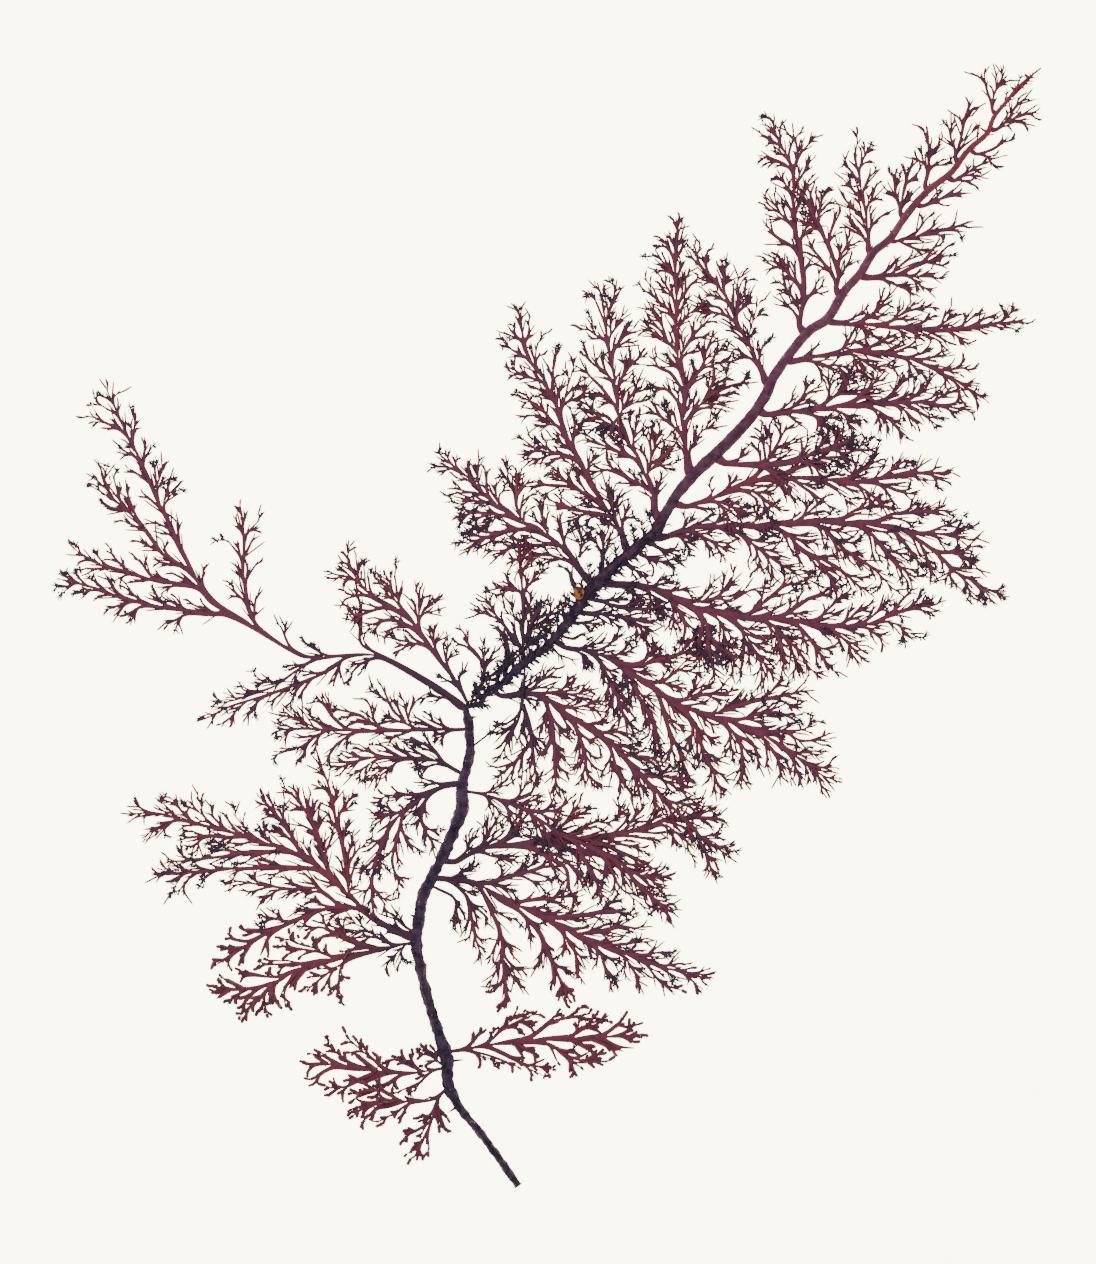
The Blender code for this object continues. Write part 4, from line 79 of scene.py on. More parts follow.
# Each frond: its name, the line of its stem, the widths along that line, the points that each of its longer
# branches runs through, and the tips of its other branches.
fronds = [
    ("frond_foot_right",
     [-189, -846, -155, -840, -90, -829, 0, -823, 80, -820, 140, -816, 192, -813],
     [5, 8, 12, 16, 14, 10, 4],
     [], [-146, -790, -80, -786, -47, -767, -22, -768, 23, -771, 40, -776, 88, -770, 96, -780, 125, -786,
      154, -780, 178, -790, -123, -860, -95, -872, -55, -880, -39, -877, -5, -896, 14, -885, 55, -896, 70,
      -880, 98, -868, 120, -868, 154, -848, 176, -840]),
    ("frond_foot_left",
     [-213, -880, -240, -886, -300, -891, -370, -882, -430, -873, -486, -872],
     [4, 7, 12, 15, 12, 4],
     [], [-255, -874, -315, -852, -330, -865, -368, -845, -407, -813, -423, -846, -446, -828, -458, -846,
      -480, -850, -235, -900, -265, -917, -280, -935, -315, -935, -345, -930, -394, -944, -412, -923, -450,
      -920, -476, -905]),
    ("twig_foot_left",
     [-216, -870, -226, -862, -240, -852, -262, -838],
     [4, 5, 3],
     [], [-230, -835, -250, -831, -264, -855, -250, -866]),
    ("frond_foot_low",
     [-209, -926, -225, -942, -250, -945, -310, -949, -370, -958, -396, -963],
     [5, 8, 9, 20, 14, 4],
     [[-228, -970, -236, -990, -246, -1015, -258, -1040, -270, -1062]],
     [-295, -934, -348, -912, -375, -922, -386, -940, -313, -977, -346, -991, -375, -991, -391, -977, -236,
      -932, -217, -1001, -257, -988, -286, -1018, -237, -1045, -285, -1053]),
    ("frond_left_low",
     [-277, -631, -330, -640, -390, -655, -450, -666, -510, -688, -570, -718, -630, -724, -673, -725],
     [5, 10, 13, 17, 16, 11, 7, 3],
     [], [-370, -603, -407, -582, -392, -621, -445, -595, -460, -595, -493, -603, -480, -635, -525, -620,
      -540, -635, -530, -663, -575, -663, -583, -674, -622, -688, -618, -702, -658, -710, -325, -675, -425,
      -685, -420, -740, -398, -747, -480, -723, -460, -738, -535, -735, -525, -758, -500, -762, -580, -753,
      -563, -775, -618, -778, -600, -760, -640, -748, -668, -737]),
    ("frond_left_bend",
     [-278, -616, -330, -593, -375, -560, -410, -520, -450, -486, -495, -453, -540, -439, -600, -419, -670,
      -398, -725, -386, -780, -370, -840, -373],
     [14, 13, 10, 11, 15, 13, 11, 10, 8, 6, 4, 2.5],
     [[-425, -557, -460, -565, -505, -585, -555, -608, -610, -638, -665, -675], [-460, -522, -520, -522,
      -580, -512, -640, -503], [-520, -479, -600, -479, -675, -485, -740, -492, -790, -490], [-555, -447,
      -620, -451, -690, -463, -765, -467], [-515, -413, -540, -375, -583, -333], [-447, -460, -463, -407,
      -487, -360, -528, -317], [-400, -500, -408, -445, -422, -390, -433, -340, -447, -290, -460, -270],
      [-635, -419, -675, -415, -735, -422]],
     [-310, -583, -328, -609, -362, -552, -388, -513, -577, -397, -603, -400, -633, -365, -653, -365, -700,
      -362, -693, -335, -740, -345, -757, -337, -777, -342, -832, -348, -778, -395, -810, -415, -802, -425,
      -815, -386]),
    ("frond_left_curl",
     [-189, -312, -210, -315, -235, -328, -285, -363, -315, -395, -337, -445, -352, -500, -350, -560, -345,
      -583],
     [10, 12, 10, 8, 8, 7, 6, 5, 3],
     [[-255, -375, -242, -410, -225, -440], [-298, -410, -312, -465, -295, -515]],
     [-331, -335, -345, -349, -353, -377, -353, -401, -362, -488, -330, -485, -305, -540, -320, -560, -376,
      -535]),
    ("twig_left_low",
     [-275, -604, -293, -592, -310, -574, -330, -563],
     [4, 3.5, 3],
     [], [-302, -562, -312, -588]),
    ("frond_right_low",
     [-216, -501, -171, -504, -130, -517, -94, -543, -31, -567, 39, -602, 102, -633, 164, -653, 219, -676,
      297, -692, 328, -694],
     [9, 10, 14, 17, 19, 18, 16, 13, 10, 6, 3],
     [[-101, -506, -74, -495, -35, -487, 2, -475, 29, -487], [-35, -543, 5, -541, 39, -538, 68, -536], [47,
      -575, 78, -574, 115, -566, 173, -573], [74, -610, 110, -607, 148, -596, 188, -604], [117, -636, 155,
      -633, 204, -618], [188, -655, 211, -651, 234, -645], [242, -674, 273, -669], [-166, -530, -156, -560,
      -150, -600, -132, -662], [-120, -550, -97, -600, -90, -660, -85, -710, -82, -764], [-40, -582, -16,
      -609, -2, -649, 22, -695, 44, -749], [41, -630, 56, -650, 62, -703], [107, -657, 115, -682, 128,
      -716], [164, -674, 185, -710], [211, -692, 236, -723]],
     [289, -677, 315, -682, 333, -685, 270, -725, 262, -708, 305, -720, 316, -707]),
    ("twig_right_low",
     [-211, -526, -193, -534, -183, -548, -182, -575, -173, -601],
     [4, 4.5, 4, 2.5],
     [], [-189, -576, -191, -600, -165, -572]),
    ("frond_right_mid",
     [-184, -467, -150, -446, -110, -437, -30, -430, 30, -426, 100, -422, 160, -409, 220, -390, 280, -379,
      320, -379, 355, -383],
     [10, 13, 15, 17, 18, 19, 17, 15, 12, 8, 3],
     [[-125, -425, -113, -400, -95, -375], [-115, -454, -85, -460, -56, -470], [-66, -402, -46, -376, -20,
      -356], [-12, -450, 35, -478, 42, -520, 58, -542], [15, -452, 55, -485, 76, -530], [42, -442, 82, -474,
      108, -538], [100, -454, 155, -488, 200, -528, 240, -570], [135, -445, 170, -458, 206, -476], [35,
      -388, 65, -372, 96, -356], [55, -408, 85, -390, 116, -385], [125, -388, 155, -358], [170, -382, 196,
      -351], [146, -432, 199, -441], [176, -418, 229, -424], [215, -376, 228, -361], [245, -375, 270, -355],
      [244, -400, 258, -443], [274, -420, 284, -457], [310, -367, 333, -366]],
     [334, -389]),
    ("frond_right_thin",
     [-161, -327, -120, -334, -80, -351, -50, -360, -15, -385, 25, -412, 70, -432, 115, -452, 150, -475,
      175, -506, 202, -534, 244, -568],
     [4, 5, 7, 8, 8, 8, 8, 9, 10, 9, 6, 3],
     [[-75, -372, -59, -397], [-38, -335, -26, -310, -9, -290], [18, -364, 50, -333], [90, -495, 116, -548],
      [135, -505, 155, -530], [170, -540, 175, -570], [194, -546, 202, -560], [198, -496, 251, -495]],
     [-81, -398, -93, -372, -30, -405, 5, -438, 35, -455, 234, -510, 233, -525, 256, -554, 244, -586, 228,
      -572]),
    ("frond_left_mid",
     [-172, -203, -240, -203, -280, -203, -360, -206, -440, -203, -500, -200, -548, -207],
     [5, 7, 8, 8, 8, 5, 2.5],
     [[-305, -172, -315, -155, -337, -106], [-365, -180, -390, -170, -440, -159], [-420, -188, -438, -168,
      -460, -128], [-425, -235, -448, -275], [-478, -228, -514, -247]],
     [-291, -138, -357, -125, -365, -164, -468, -142, -523, -163, -500, -183, -545, -174, -365, -240, -405,
      -235, -544, -248, -535, -223]),
    ("frond_left_small",
     [-184, -285, -210, -270, -240, -263, -310, -260, -350, -259, -380, -264, -435, -287],
     [6, 8, 8, 7, 7, 6, 2.5],
     [[-230, -240, -260, -228, -300, -220], [-195, -255, -203, -220, -209, -192]],
     [-283, -306, -323, -282, -365, -305, -343, -303, -389, -295, -407, -299, -430, -262, -417, -243, -382,
      -230, -360, -236]),
    ("frond_left_long",
     [-178, -153, -215, -125, -275, -88, -345, -54, -420, -57, -485, -58, -540, -27, -600, 9, -660, 42,
      -705, 98, -743, 175, -773, 240, -802, 305, -846, 395, -885, 483],
     [14, 13, 10, 8, 7, 9, 10, 13, 12, 10, 9, 8, 7, 5, 2.5],
     [[-375, -72, -400, -98], [-373, -30, -375, 0, -373, 30, -383, 80], [-430, -80, -460, -95, -520, -120,
      -580, -140, -640, -158, -690, -185], [-499, -83, -540, -113, -605, -138, -660, -152], [-602, 50, -610,
      120, -608, 190, -618, 258], [-680, 28, -750, 38, -820, 51, -880, 70, -940, 90, -985, 100], [-712, 86,
      -760, 90, -820, 106, -900, 129, -950, 160], [-732, 124, -770, 148, -800, 190, -845, 240, -915, 285]],
     [-788, 214, -815, 208, -840, 256, -846, 282, -873, 312, -903, 342, -858, 360, -917, 428, -903, 450,
      -913, 473, -823, 426, -816, 405, -796, 378, -767, 337, -759, 288, -735, 286, -713, 256, -687, 127,
      -522, -74, -500, -22]),
    ("frond_left_up",
     [-165, -142, -177, -116, -205, -77, -230, -43, -252, -19, -263, 0, -275, 17, -300, 37, -325, 46, -355,
      66, -380, 96, -394, 120, -406, 152],
     [5, 7, 10, 12, 12, 11, 15, 15, 11, 9, 7, 5, 2.5],
     [[-202, -50, -200, -23], [-228, -23, -228, 11], [-285, -28, -323, -17], [-258, 30, -257, 86], [-310,
      16, -340, 11, -370, 2], [-303, 65, -307, 117], [-326, 83, -350, 102], [-345, 38, -380, 25, -404, 36],
      [-380, 66, -413, 55], [-366, 100, -369, 128], [-405, 103, -435, 109], [-383, 125, -385, 150]],
     [-177, -83, -216, -98, -275, -62, -314, -55, -215, 69, -330, 99, -418, 137, -395, 167]),
    ("twig_left_dark",
     [-152, -128, -136, -117, -127, -93, -130, -68, -145, -50, -165, -35, -186, -34],
     [5, 5, 5, 7, 8, 6, 3],
     [], [-171, -2, -125, -34, -163, -58, -150, -70]),
    ("frond_centre_down",
     [-53, -152, -49, -165, -40, -186, -36, -204, -33, -226, -50, -250, -68, -270, -87, -287, -108, -303],
     [12, 11, 9, 7, 6, 6, 5, 4, 2.5],
     [[-70, -176, -100, -200, -120, -217, -150, -240], [-28, -255, -27, -280, -18, -310]],
     [-103, -170, -90, -194, -87, -213, -24, -163, -90, -250, -103, -270, -73, -307, -47, -290, -5, -235]),
    ("frond_centre_right",
     [-97, -134, -80, -136, -50, -131, -30, -128, -10, -137, 10, -152, 50, -183, 100, -210, 143, -247, 180,
      -287, 213, -323, 250, -360, 283, -390, 305, -422, 331, -498],
     [9, 13, 16, 15, 14, 14, 12, 12, 11, 10, 8, 6, 5, 2.5],
     [[-10, -102, 4, -78], [16, -128, 45, -132, 85, -146], [46, -159, 77, -155, 107, -143], [124, -209, 146,
      -207, 173, -216], [180, -257, 205, -259, 233, -274], [220, -298, 245, -298, 283, -304], [240, -310,
      277, -334], [270, -352, 313, -357], [326, -428, 365, -463], [4, -174, 10, -207, 11, -240, 14, -280,
      17, -334], [66, -224, 74, -252, 75, -280, 93, -318], [129, -256, 135, -280, 146, -304, 174, -342],
      [174, -303, 181, -320, 188, -348], [215, -346, 215, -363, 202, -382]],
     [60, -116, 87, -122, 61, -169, 185, -209, 170, -252, 230, -300, 300, -372, 367, -438, 350, -443, 208,
      -347, 233, -366]),
    ("frond_right_centre",
     [36, -39, 57, -42, 80, -47, 113, -55, 140, -70, 180, -103, 212, -116, 231, -139, 289, -164, 321, -172,
      379, -192, 430, -213, 478, -245, 520, -273, 568, -312],
     [9, 10, 10, 14, 14, 15, 18, 18, 17, 16, 15, 13, 10, 7, 3],
     [[123, -34, 139, -14], [180, -74, 212, -65, 244, -59, 270, -49, 295, -36, 328, -18], [235, -104, 258,
      -85, 289, -86], [289, -140, 310, -132, 335, -133, 375, -136], [360, -162, 385, -155, 411, -145, 456,
      -139, 520, -123], [406, -177, 430, -169, 460, -169, 501, -187], [439, -208, 488, -206, 520, -203],
      [501, -225, 526, -225, 571, -221], [109, -74, 120, -97, 130, -120, 143, -150, 153, -180, 165, -210],
      [176, -122, 184, -142, 200, -165, 213, -190, 217, -220, 211, -252], [230, -162, 239, -190, 250, -225,
      265, -250, 274, -285, 292, -315], [290, -188, 300, -215, 310, -247, 325, -273, 334, -300, 329, -337],
      [369, -210, 385, -230, 389, -260, 385, -310], [405, -226, 417, -250, 425, -285], [446, -240, 461,
      -263, 478, -305], [475, -263, 488, -302], [494, -275, 508, -315]],
     [173, -46, 166, -24, 250, -70, 257, -124, 318, -98, 372, -123, 345, -153, 545, -182, 545, -245, 547,
      -259, 578, -279, 584, -300, 551, -335]),
    ("frond_right_long",
     [106, 83, 130, 87, 170, 86, 222, 74, 263, 57, 308, 36, 360, 26, 411, 21, 469, 18, 520, 9, 571, 2, 620,
      6, 659, 12, 709, 35, 783, 48],
     [11, 13, 17, 19, 18, 17, 16, 16, 15, 14, 13, 12, 10, 7, 3],
     [[265, 77, 293, 73], [312, 55, 340, 62, 385, 66], [362, 86, 373, 109], [364, 53, 385, 65, 406, 77, 454,
      83], [423, 42, 446, 63, 466, 80, 490, 102], [490, 36, 517, 57, 540, 65, 577, 87], [545, 20, 570, 48,
      602, 72], [614, 30, 648, 50], [656, 31, 688, 62], [704, 53, 733, 78], [217, 54, 227, 35, 236, 13],
      [259, 39, 272, 14, 275, -6, 262, -43], [311, 17, 319, -3, 320, -30, 324, -60, 333, -96], [334, -32,
      360, -50, 390, -65], [384, 2, 399, -18, 412, -44, 433, -74, 456, -103], [392, -45, 382, -106], [423,
      -21, 465, -15, 526, -25], [454, -1, 470, -19, 498, -43, 514, -65, 525, -88], [466, -45, 480, -86],
      [509, -5, 529, -30, 550, -60, 570, -88], [581, -12, 601, -31, 636, -69], [650, -8, 677, -31]],
     [224, 97, 337, 82, 400, 110, 437, 98, 476, 110, 488, 54, 504, 70, 523, 96, 554, 40, 588, 29, 636, 35,
      673, 38, 759, 61, 710, 22, 704, 8, 730, -20, 363, -8, 376, -31, 296, -75, 352, -115, 377, -88, 448,
      -52, 478, -74, 426, -126, 501, -96, 585, -39, 546, -98, 618, -19, 645, -37]),
    ("frond_right_broad",
     [223, 178, 249, 188, 282, 197, 315, 203, 385, 205, 463, 207, 504, 213, 586, 211, 664, 207, 720, 192,
      752, 166, 780, 148, 798, 127, 824, 106, 858, 90, 872, 79, 909, 69],
     [10, 11, 12, 14, 18, 16, 17, 16, 15, 14, 12, 11, 10, 9, 7, 5, 3],
     [[355, 227, 366, 252], [432, 228, 450, 254], [519, 230, 540, 250, 564, 268], [611, 232, 643, 244, 675,
      243, 710, 237], [680, 223, 710, 230, 750, 233, 799, 236], [768, 189, 801, 187, 830, 181, 858, 172],
      [783, 201, 822, 213], [826, 199, 860, 205], [800, 151, 820, 156, 868, 167], [828, 144, 858, 128],
      [836, 118, 864, 119], [838, 88, 847, 53], [802, 106, 812, 92, 819, 73], [329, 173, 342, 154, 359,
      132], [397, 180, 420, 158, 445, 140, 470, 123, 497, 111], [489, 178, 511, 153, 549, 137, 580, 120,
      610, 94, 635, 70], [567, 182, 590, 159, 620, 139, 650, 120, 676, 103], [645, 188, 670, 159, 690, 134,
      710, 117, 743, 94], [706, 180, 724, 157, 750, 115], [746, 164, 760, 135, 774, 95]],
     [295, 228, 666, 270, 750, 249, 819, 163, 908, 79, 870, 58, 886, 62, 286, 164, 369, 153, 343, 146, 456,
      169, 409, 136, 427, 112, 455, 94, 486, 152, 560, 172, 520, 116, 545, 87, 587, 64, 652, 78, 627, 167,
      583, 122, 600, 90, 709, 166, 656, 144, 673, 115, 699, 70, 790, 109]),
    ("frond_right_upper",
     [277, 244, 305, 250, 352, 269, 405, 293, 430, 300, 495, 302, 561, 297, 627, 291, 692, 306, 754, 310,
      813, 310],
     [10, 11, 12, 15, 15, 14, 14, 13, 13, 9, 3],
     [[427, 316, 443, 346, 463, 374, 466, 405], [480, 310, 515, 328, 550, 339, 610, 343], [618, 308, 642,
      325, 663, 353], [694, 323, 726, 339], [360, 246, 387, 232, 414, 229], [415, 270, 440, 250, 476, 232],
      [467, 285, 486, 266, 503, 240], [506, 286, 536, 264, 570, 237], [573, 278, 598, 260], [632, 276, 655,
      257, 683, 236], [670, 286, 700, 274, 746, 265], [783, 297, 810, 290]],
     [331, 282, 353, 306, 442, 410, 426, 395, 485, 406, 498, 372, 595, 320, 678, 327, 755, 332, 779, 327,
      324, 230, 615, 249, 725, 280, 750, 289]),
    ("frond_right_dense",
     [356, 331, 397, 328, 430, 326, 463, 326, 495, 335, 528, 347, 561, 359, 594, 371, 614, 384],
     [13, 14, 13, 12, 12, 10, 9, 7, 3],
     [[447, 311, 473, 290, 500, 274], [525, 327, 553, 308], [595, 350, 635, 360]],
     [380, 358, 415, 359, 523, 374, 539, 374, 633, 374]),
    ("frond_right_high",
     [437, 429, 485, 432, 535, 437, 592, 444, 654, 449, 715, 451, 765, 449, 815, 439, 850, 437],
     [12, 14, 13, 13, 13, 13, 11, 7, 3],
     [[513, 464, 541, 484], [567, 460, 586, 474, 598, 495, 603, 518], [608, 468, 675, 468], [627, 466, 649,
      486, 675, 516], [688, 467, 706, 489, 728, 508], [737, 468, 756, 486, 770, 500], [787, 464, 830, 482],
      [494, 414, 516, 400], [549, 414, 571, 396, 590, 380, 615, 355], [595, 424, 608, 395], [663, 431, 685,
      417, 700, 398, 716, 378], [720, 429, 745, 398], [740, 433, 757, 423, 778, 405]],
     [659, 479, 726, 475, 788, 470, 826, 456, 554, 375, 630, 406, 788, 422, 820, 418]),
    ("frond_right_arch",
     [492, 533, 535, 543, 592, 551, 654, 552, 708, 543, 754, 528, 796, 505, 838, 480, 879, 453],
     [9, 12, 13, 13, 11, 9, 8, 6, 2.5],
     [[600, 570, 606, 598], [620, 574, 654, 584], [658, 570, 700, 587], [713, 559, 739, 573], [771, 542,
      808, 544], [810, 518, 842, 521], [540, 528, 590, 510], [576, 526, 590, 505, 598, 483], [628, 534, 654,
      520, 682, 510], [684, 528, 703, 500], [730, 522, 765, 496], [850, 465, 860, 450]],
     [535, 564, 858, 490, 638, 490]),
    ("frond_right_top",
     [574, 610, 623, 608, 685, 602, 746, 596, 808, 598, 869, 605, 931, 612, 964, 608],
     [9, 12, 13, 13, 11, 9, 6, 3],
     [[646, 626, 664, 640, 686, 674], [702, 623, 722, 636, 773, 642], [752, 612, 777, 629], [802, 618, 828,
      630], [844, 619, 868, 632], [868, 617, 902, 629], [924, 629, 936, 644], [637, 593, 663, 578, 693,
      564], [717, 583, 732, 572], [738, 587, 763, 584, 793, 568], [820, 582, 839, 557]],
     [708, 651, 739, 658, 954, 620, 854, 565, 874, 585, 919, 592]),
    ("frond_up_tall",
     [504, 606, 504, 634, 512, 660, 509, 703, 507, 735, 502, 768, 491, 815, 490, 865, 492, 905, 477, 945,
      456, 984, 450, 1018],
     [11, 11, 13, 11, 11, 11, 9, 8, 8, 8, 5, 3],
     [[490, 660, 462, 696], [489, 699, 473, 716, 428, 733], [485, 766, 458, 780, 434, 810], [478, 814, 460,
      833, 429, 855], [479, 881, 461, 904], [463, 933, 423, 946], [442, 976, 424, 986], [530, 671, 552,
      683], [525, 736, 536, 752], [513, 796, 524, 812, 532, 828], [501, 846, 513, 870, 523, 902], [505, 901,
      528, 939], [499, 936, 498, 962, 490, 993], [508, 954, 536, 983]],
     [460, 750, 445, 746, 448, 822, 450, 874, 468, 872, 469, 918, 453, 955, 435, 1026, 428, 1014, 544, 705,
      560, 710, 477, 992, 510, 997]),
    ("frond_up_second",
     [577, 680, 579, 703, 576, 726, 566, 753, 553, 783, 538, 811, 525, 838, 506, 870, 496, 888],
     [10, 11, 11, 10, 9, 8, 7, 5, 2.5],
     [[553, 728, 529, 756, 513, 770], [587, 748, 601, 769, 614, 790], [567, 799, 574, 814, 588, 835], [542,
      833, 546, 852, 555, 877], [520, 806, 502, 819]],
     [583, 792, 620, 770, 572, 836, 542, 764, 558, 836, 527, 884]),
    ("frond_up_third",
     [640, 763, 639, 792, 636, 825, 631, 857, 624, 890, 620, 917, 610, 950],
     [9, 8, 8, 7, 6, 5, 3],
     [[623, 791, 608, 813, 592, 836], [620, 829, 600, 850, 583, 871], [615, 870, 587, 902], [610, 907, 592,
      935], [654, 813, 682, 835], [648, 861, 659, 895], [642, 901, 645, 924], [630, 934, 639, 957, 653, 966]],
     [604, 858, 644, 884, 620, 984]),
    ("frond_up_fourth",
     [705, 832, 708, 855, 712, 880, 719, 900, 731, 942],
     [8, 8, 6, 4.5, 2.5],
     [[697, 859, 693, 893, 686, 920], [731, 870, 747, 887], [730, 899, 749, 923]],
     [702, 926]),
    ("frond_up_fifth",
     [755, 886, 759, 905, 761, 935, 762, 965, 754, 988, 748, 1003],
     [8, 7, 6, 5, 6, 3],
     [[749, 935, 743, 968], [778, 928, 795, 942]],
     [768, 972, 761, 1000]),
    ("frond_up_sixth",
     [815, 939, 819, 960, 827, 976, 829, 997, 835, 1025, 845, 1054],
     [8, 8, 6, 5, 4.5, 2],
     [[806, 977, 801, 1009], [843, 985, 853, 996]],
     [813, 1017, 845, 1026]),
    ("frond_up_last",
     [889, 1036, 888, 1050, 892, 1068, 884, 1088],
     [6, 6, 5, 3],
     [[877, 1076, 872, 1110], [903, 1090, 917, 1120]],
     []),
    ("frond_side_last",
     [895, 997, 923, 1014, 950, 1027, 979, 1031],
     [7, 7, 6, 3],
     [[934, 1041, 961, 1065]],
     [949, 1040, 929, 1003]),
    ("frond_side_ninth",
     [856, 948, 870, 949, 892, 957, 908, 971, 923, 983],
     [6, 6, 5, 4.5, 3],
     [[888, 939, 918, 947]],
     [911, 986]),
    ("frond_side_eighth",
     [813, 895, 830, 903, 848, 916, 865, 926, 882, 934],
     [8, 8, 7, 5, 3],
     [[840, 891, 859, 883]],
     [859, 899, 866, 914, 842, 930]),
    ("frond_side_seventh",
     [749, 844, 765, 850, 786, 860, 810, 867, 841, 870],
     [7, 8, 8, 8, 4],
     [], [787, 880, 818, 885, 793, 842, 833, 859, 832, 879]),
    ("frond_side_sixth",
     [690, 772, 727, 780, 754, 788, 777, 790, 805, 800, 842, 806],
     [8, 9, 9, 8, 6, 3],
     [[735, 758, 773, 749]],
     [784, 815, 838, 814, 758, 769, 827, 790, 799, 778]),
    ("frond_side_fifth",
     [642, 700, 662, 701, 685, 705, 708, 709, 738, 726, 773, 738, 802, 746],
     [9, 10, 10, 9, 8, 6, 3],
     [[704, 725, 739, 751], [728, 739, 754, 766], [766, 753, 785, 780], [793, 758, 808, 770], [695, 686,
      730, 672], [735, 702, 773, 703], [736, 692, 762, 673]],
     [798, 697, 778, 717, 786, 730]),
    ("frond_up_left",
     [432, 494, 430, 510, 420, 527, 412, 548, 397, 575, 385, 598, 374, 614, 366, 641, 351, 668, 335, 691,
      316, 714, 297, 732, 278, 748],
     [11, 10, 8, 5, 5, 8, 9, 8, 8, 8, 7, 5, 3],
     [[425, 550, 430, 571], [350, 628, 299, 634], [340, 642, 292, 649], [334, 663, 309, 673], [380, 646,
      380, 675, 373, 696], [394, 645, 393, 675, 397, 707], [352, 705, 346, 742], [315, 738, 320, 760], [310,
      696, 296, 702]],
     [406, 613, 386, 714, 420, 663, 409, 670, 338, 711, 306, 747, 293, 768]),
    ("frond_up_broad",
     [281, 316, 279, 348, 274, 375, 270, 405, 271, 445, 273, 475, 267, 514, 258, 555, 255, 610, 257, 664,
      254, 718, 255, 764, 264, 822],
     [14, 13, 12, 11, 11, 12, 10, 9, 8, 8, 7, 6, 2.5],
     [[294, 376, 312, 400], [293, 437, 313, 452, 333, 469, 352, 480, 397, 494], [293, 500, 311, 523, 344,
      540], [315, 542, 322, 570, 336, 594], [278, 568, 294, 587, 313, 609, 334, 615], [272, 666, 285, 687,
      313, 702], [266, 718, 275, 734], [251, 404, 229, 420, 198, 439], [252, 464, 235, 478, 203, 483], [245,
      510, 225, 518, 202, 535], [238, 574, 210, 591, 183, 608], [228, 605, 214, 628, 198, 645], [238, 639,
      220, 653, 201, 676], [238, 722, 218, 745]],
     [260, 344, 338, 431, 367, 446, 408, 483, 350, 529, 364, 510, 305, 468, 330, 502, 341, 513, 368, 535,
      343, 571, 298, 559, 324, 585, 284, 635, 312, 640, 269, 804, 280, 774, 212, 452, 240, 450, 207, 556,
      241, 553, 235, 622, 203, 698, 228, 700, 228, 781, 241, 782]),
    ("frond_up_centre",
     [219, 216, 216, 230, 214, 254, 204, 282, 197, 306, 173, 351, 152, 392, 140, 430, 135, 472, 128, 527,
      120, 570, 115, 610, 109, 645, 109, 677],
     [15, 14, 13, 12, 12, 13, 12, 12, 10, 9, 7, 6, 5, 3],
     [[206, 340, 215, 368, 225, 403], [176, 402, 185, 424], [160, 458, 178, 474, 194, 485], [149, 502, 162,
      523, 191, 549], [142, 573, 173, 601], [138, 605, 151, 631], [125, 636, 130, 660, 139, 683], [174, 294,
      152, 304, 125, 315, 94, 319], [152, 349, 125, 359, 100, 369, 65, 378], [126, 407, 100, 411, 72, 418],
      [119, 425, 95, 428, 65, 435], [120, 462, 103, 486, 68, 517], [110, 514, 88, 530, 66, 553], [103, 581,
      71, 605], [100, 600, 74, 624], [104, 634, 94, 658, 78, 669]],
     [238, 353, 260, 373, 246, 386, 197, 386, 158, 434, 196, 404, 164, 500, 184, 507, 167, 560, 153, 545,
      156, 617, 129, 693, 143, 667, 168, 316, 135, 332, 104, 389, 123, 386, 70, 452, 80, 468, 124, 439, 106,
      510, 90, 552, 93, 690]),
    ("frond_up_leaning",
     [152, 172, 149, 186, 138, 212, 125, 226, 108, 244, 94, 272, 80, 296, 74, 318, 52, 349, 44, 372, 26,
      406, 20, 436, 0, 482, -24, 517, -45, 552, -52, 600, -64, 649],
     [11, 11, 11, 14, 13, 12, 12, 13, 13, 12, 11, 11, 10, 9, 7, 4, 2],
     [[132, 244, 140, 263, 153, 282], [116, 282, 124, 302], [89, 338, 100, 354], [59, 399, 83, 403], [34,
      459, 39, 482, 44, 504], [65, 464, 92, 476], [10, 498, 12, 552], [-25, 550, -21, 573], [-37, 590, -40,
      619], [52, 281, 28, 286, 0, 285, -30, 296], [74, 231, 48, 237, 25, 247, -5, 260], [30, 347, 3, 350,
      -25, 355, -54, 348], [5, 413, -20, 424, -47, 426], [-10, 436, -38, 437], [-29, 451, -58, 456], [-35,
      465, -61, 476], [-35, 501, -82, 514], [-64, 551, -85, 565], [-70, 588, -83, 610]],
     [162, 254, 124, 273, 48, 437, 24, 510, 53, 530, 67, 494, -12, 588, 12, 321, -3, 313, 20, 264, -38, 282,
      59, 257, 42, 211, 12, 232, -29, 384, -55, 381, -32, 332, -2, 448, -29, 484, -76, 529, -66, 541, -87,
      577, -66, 619]),
    ("frond_left_wide",
     [76, 99, 69, 110, 56, 129, 42, 145, 30, 160, 17, 173, -13, 193, -50, 210, -73, 226, -111, 251, -142,
      285, -176, 313, -221, 351],
     [10, 12, 13, 14, 15, 15, 15, 15, 14, 11, 8, 6, 2.5],
     [[30, 184, 26, 204, 14, 222], [-11, 217, -15, 240, -24, 263], [-62, 242, -66, 270, -76, 290, -92, 310],
      [-105, 270, -102, 298], [-123, 284, -126, 323], [-141, 310, -137, 343], [32, 138, 7, 143, -15, 149,
      -43, 146], [6, 171, -20, 166, -53, 164, -80, 159, -104, 148], [-56, 198, -87, 193, -115, 186, -138,
      177, -166, 168], [-93, 226, -121, 229, -150, 231, -180, 224], [-132, 254, -183, 254], [-148, 271,
      -195, 269], [-199, 320, -230, 324]],
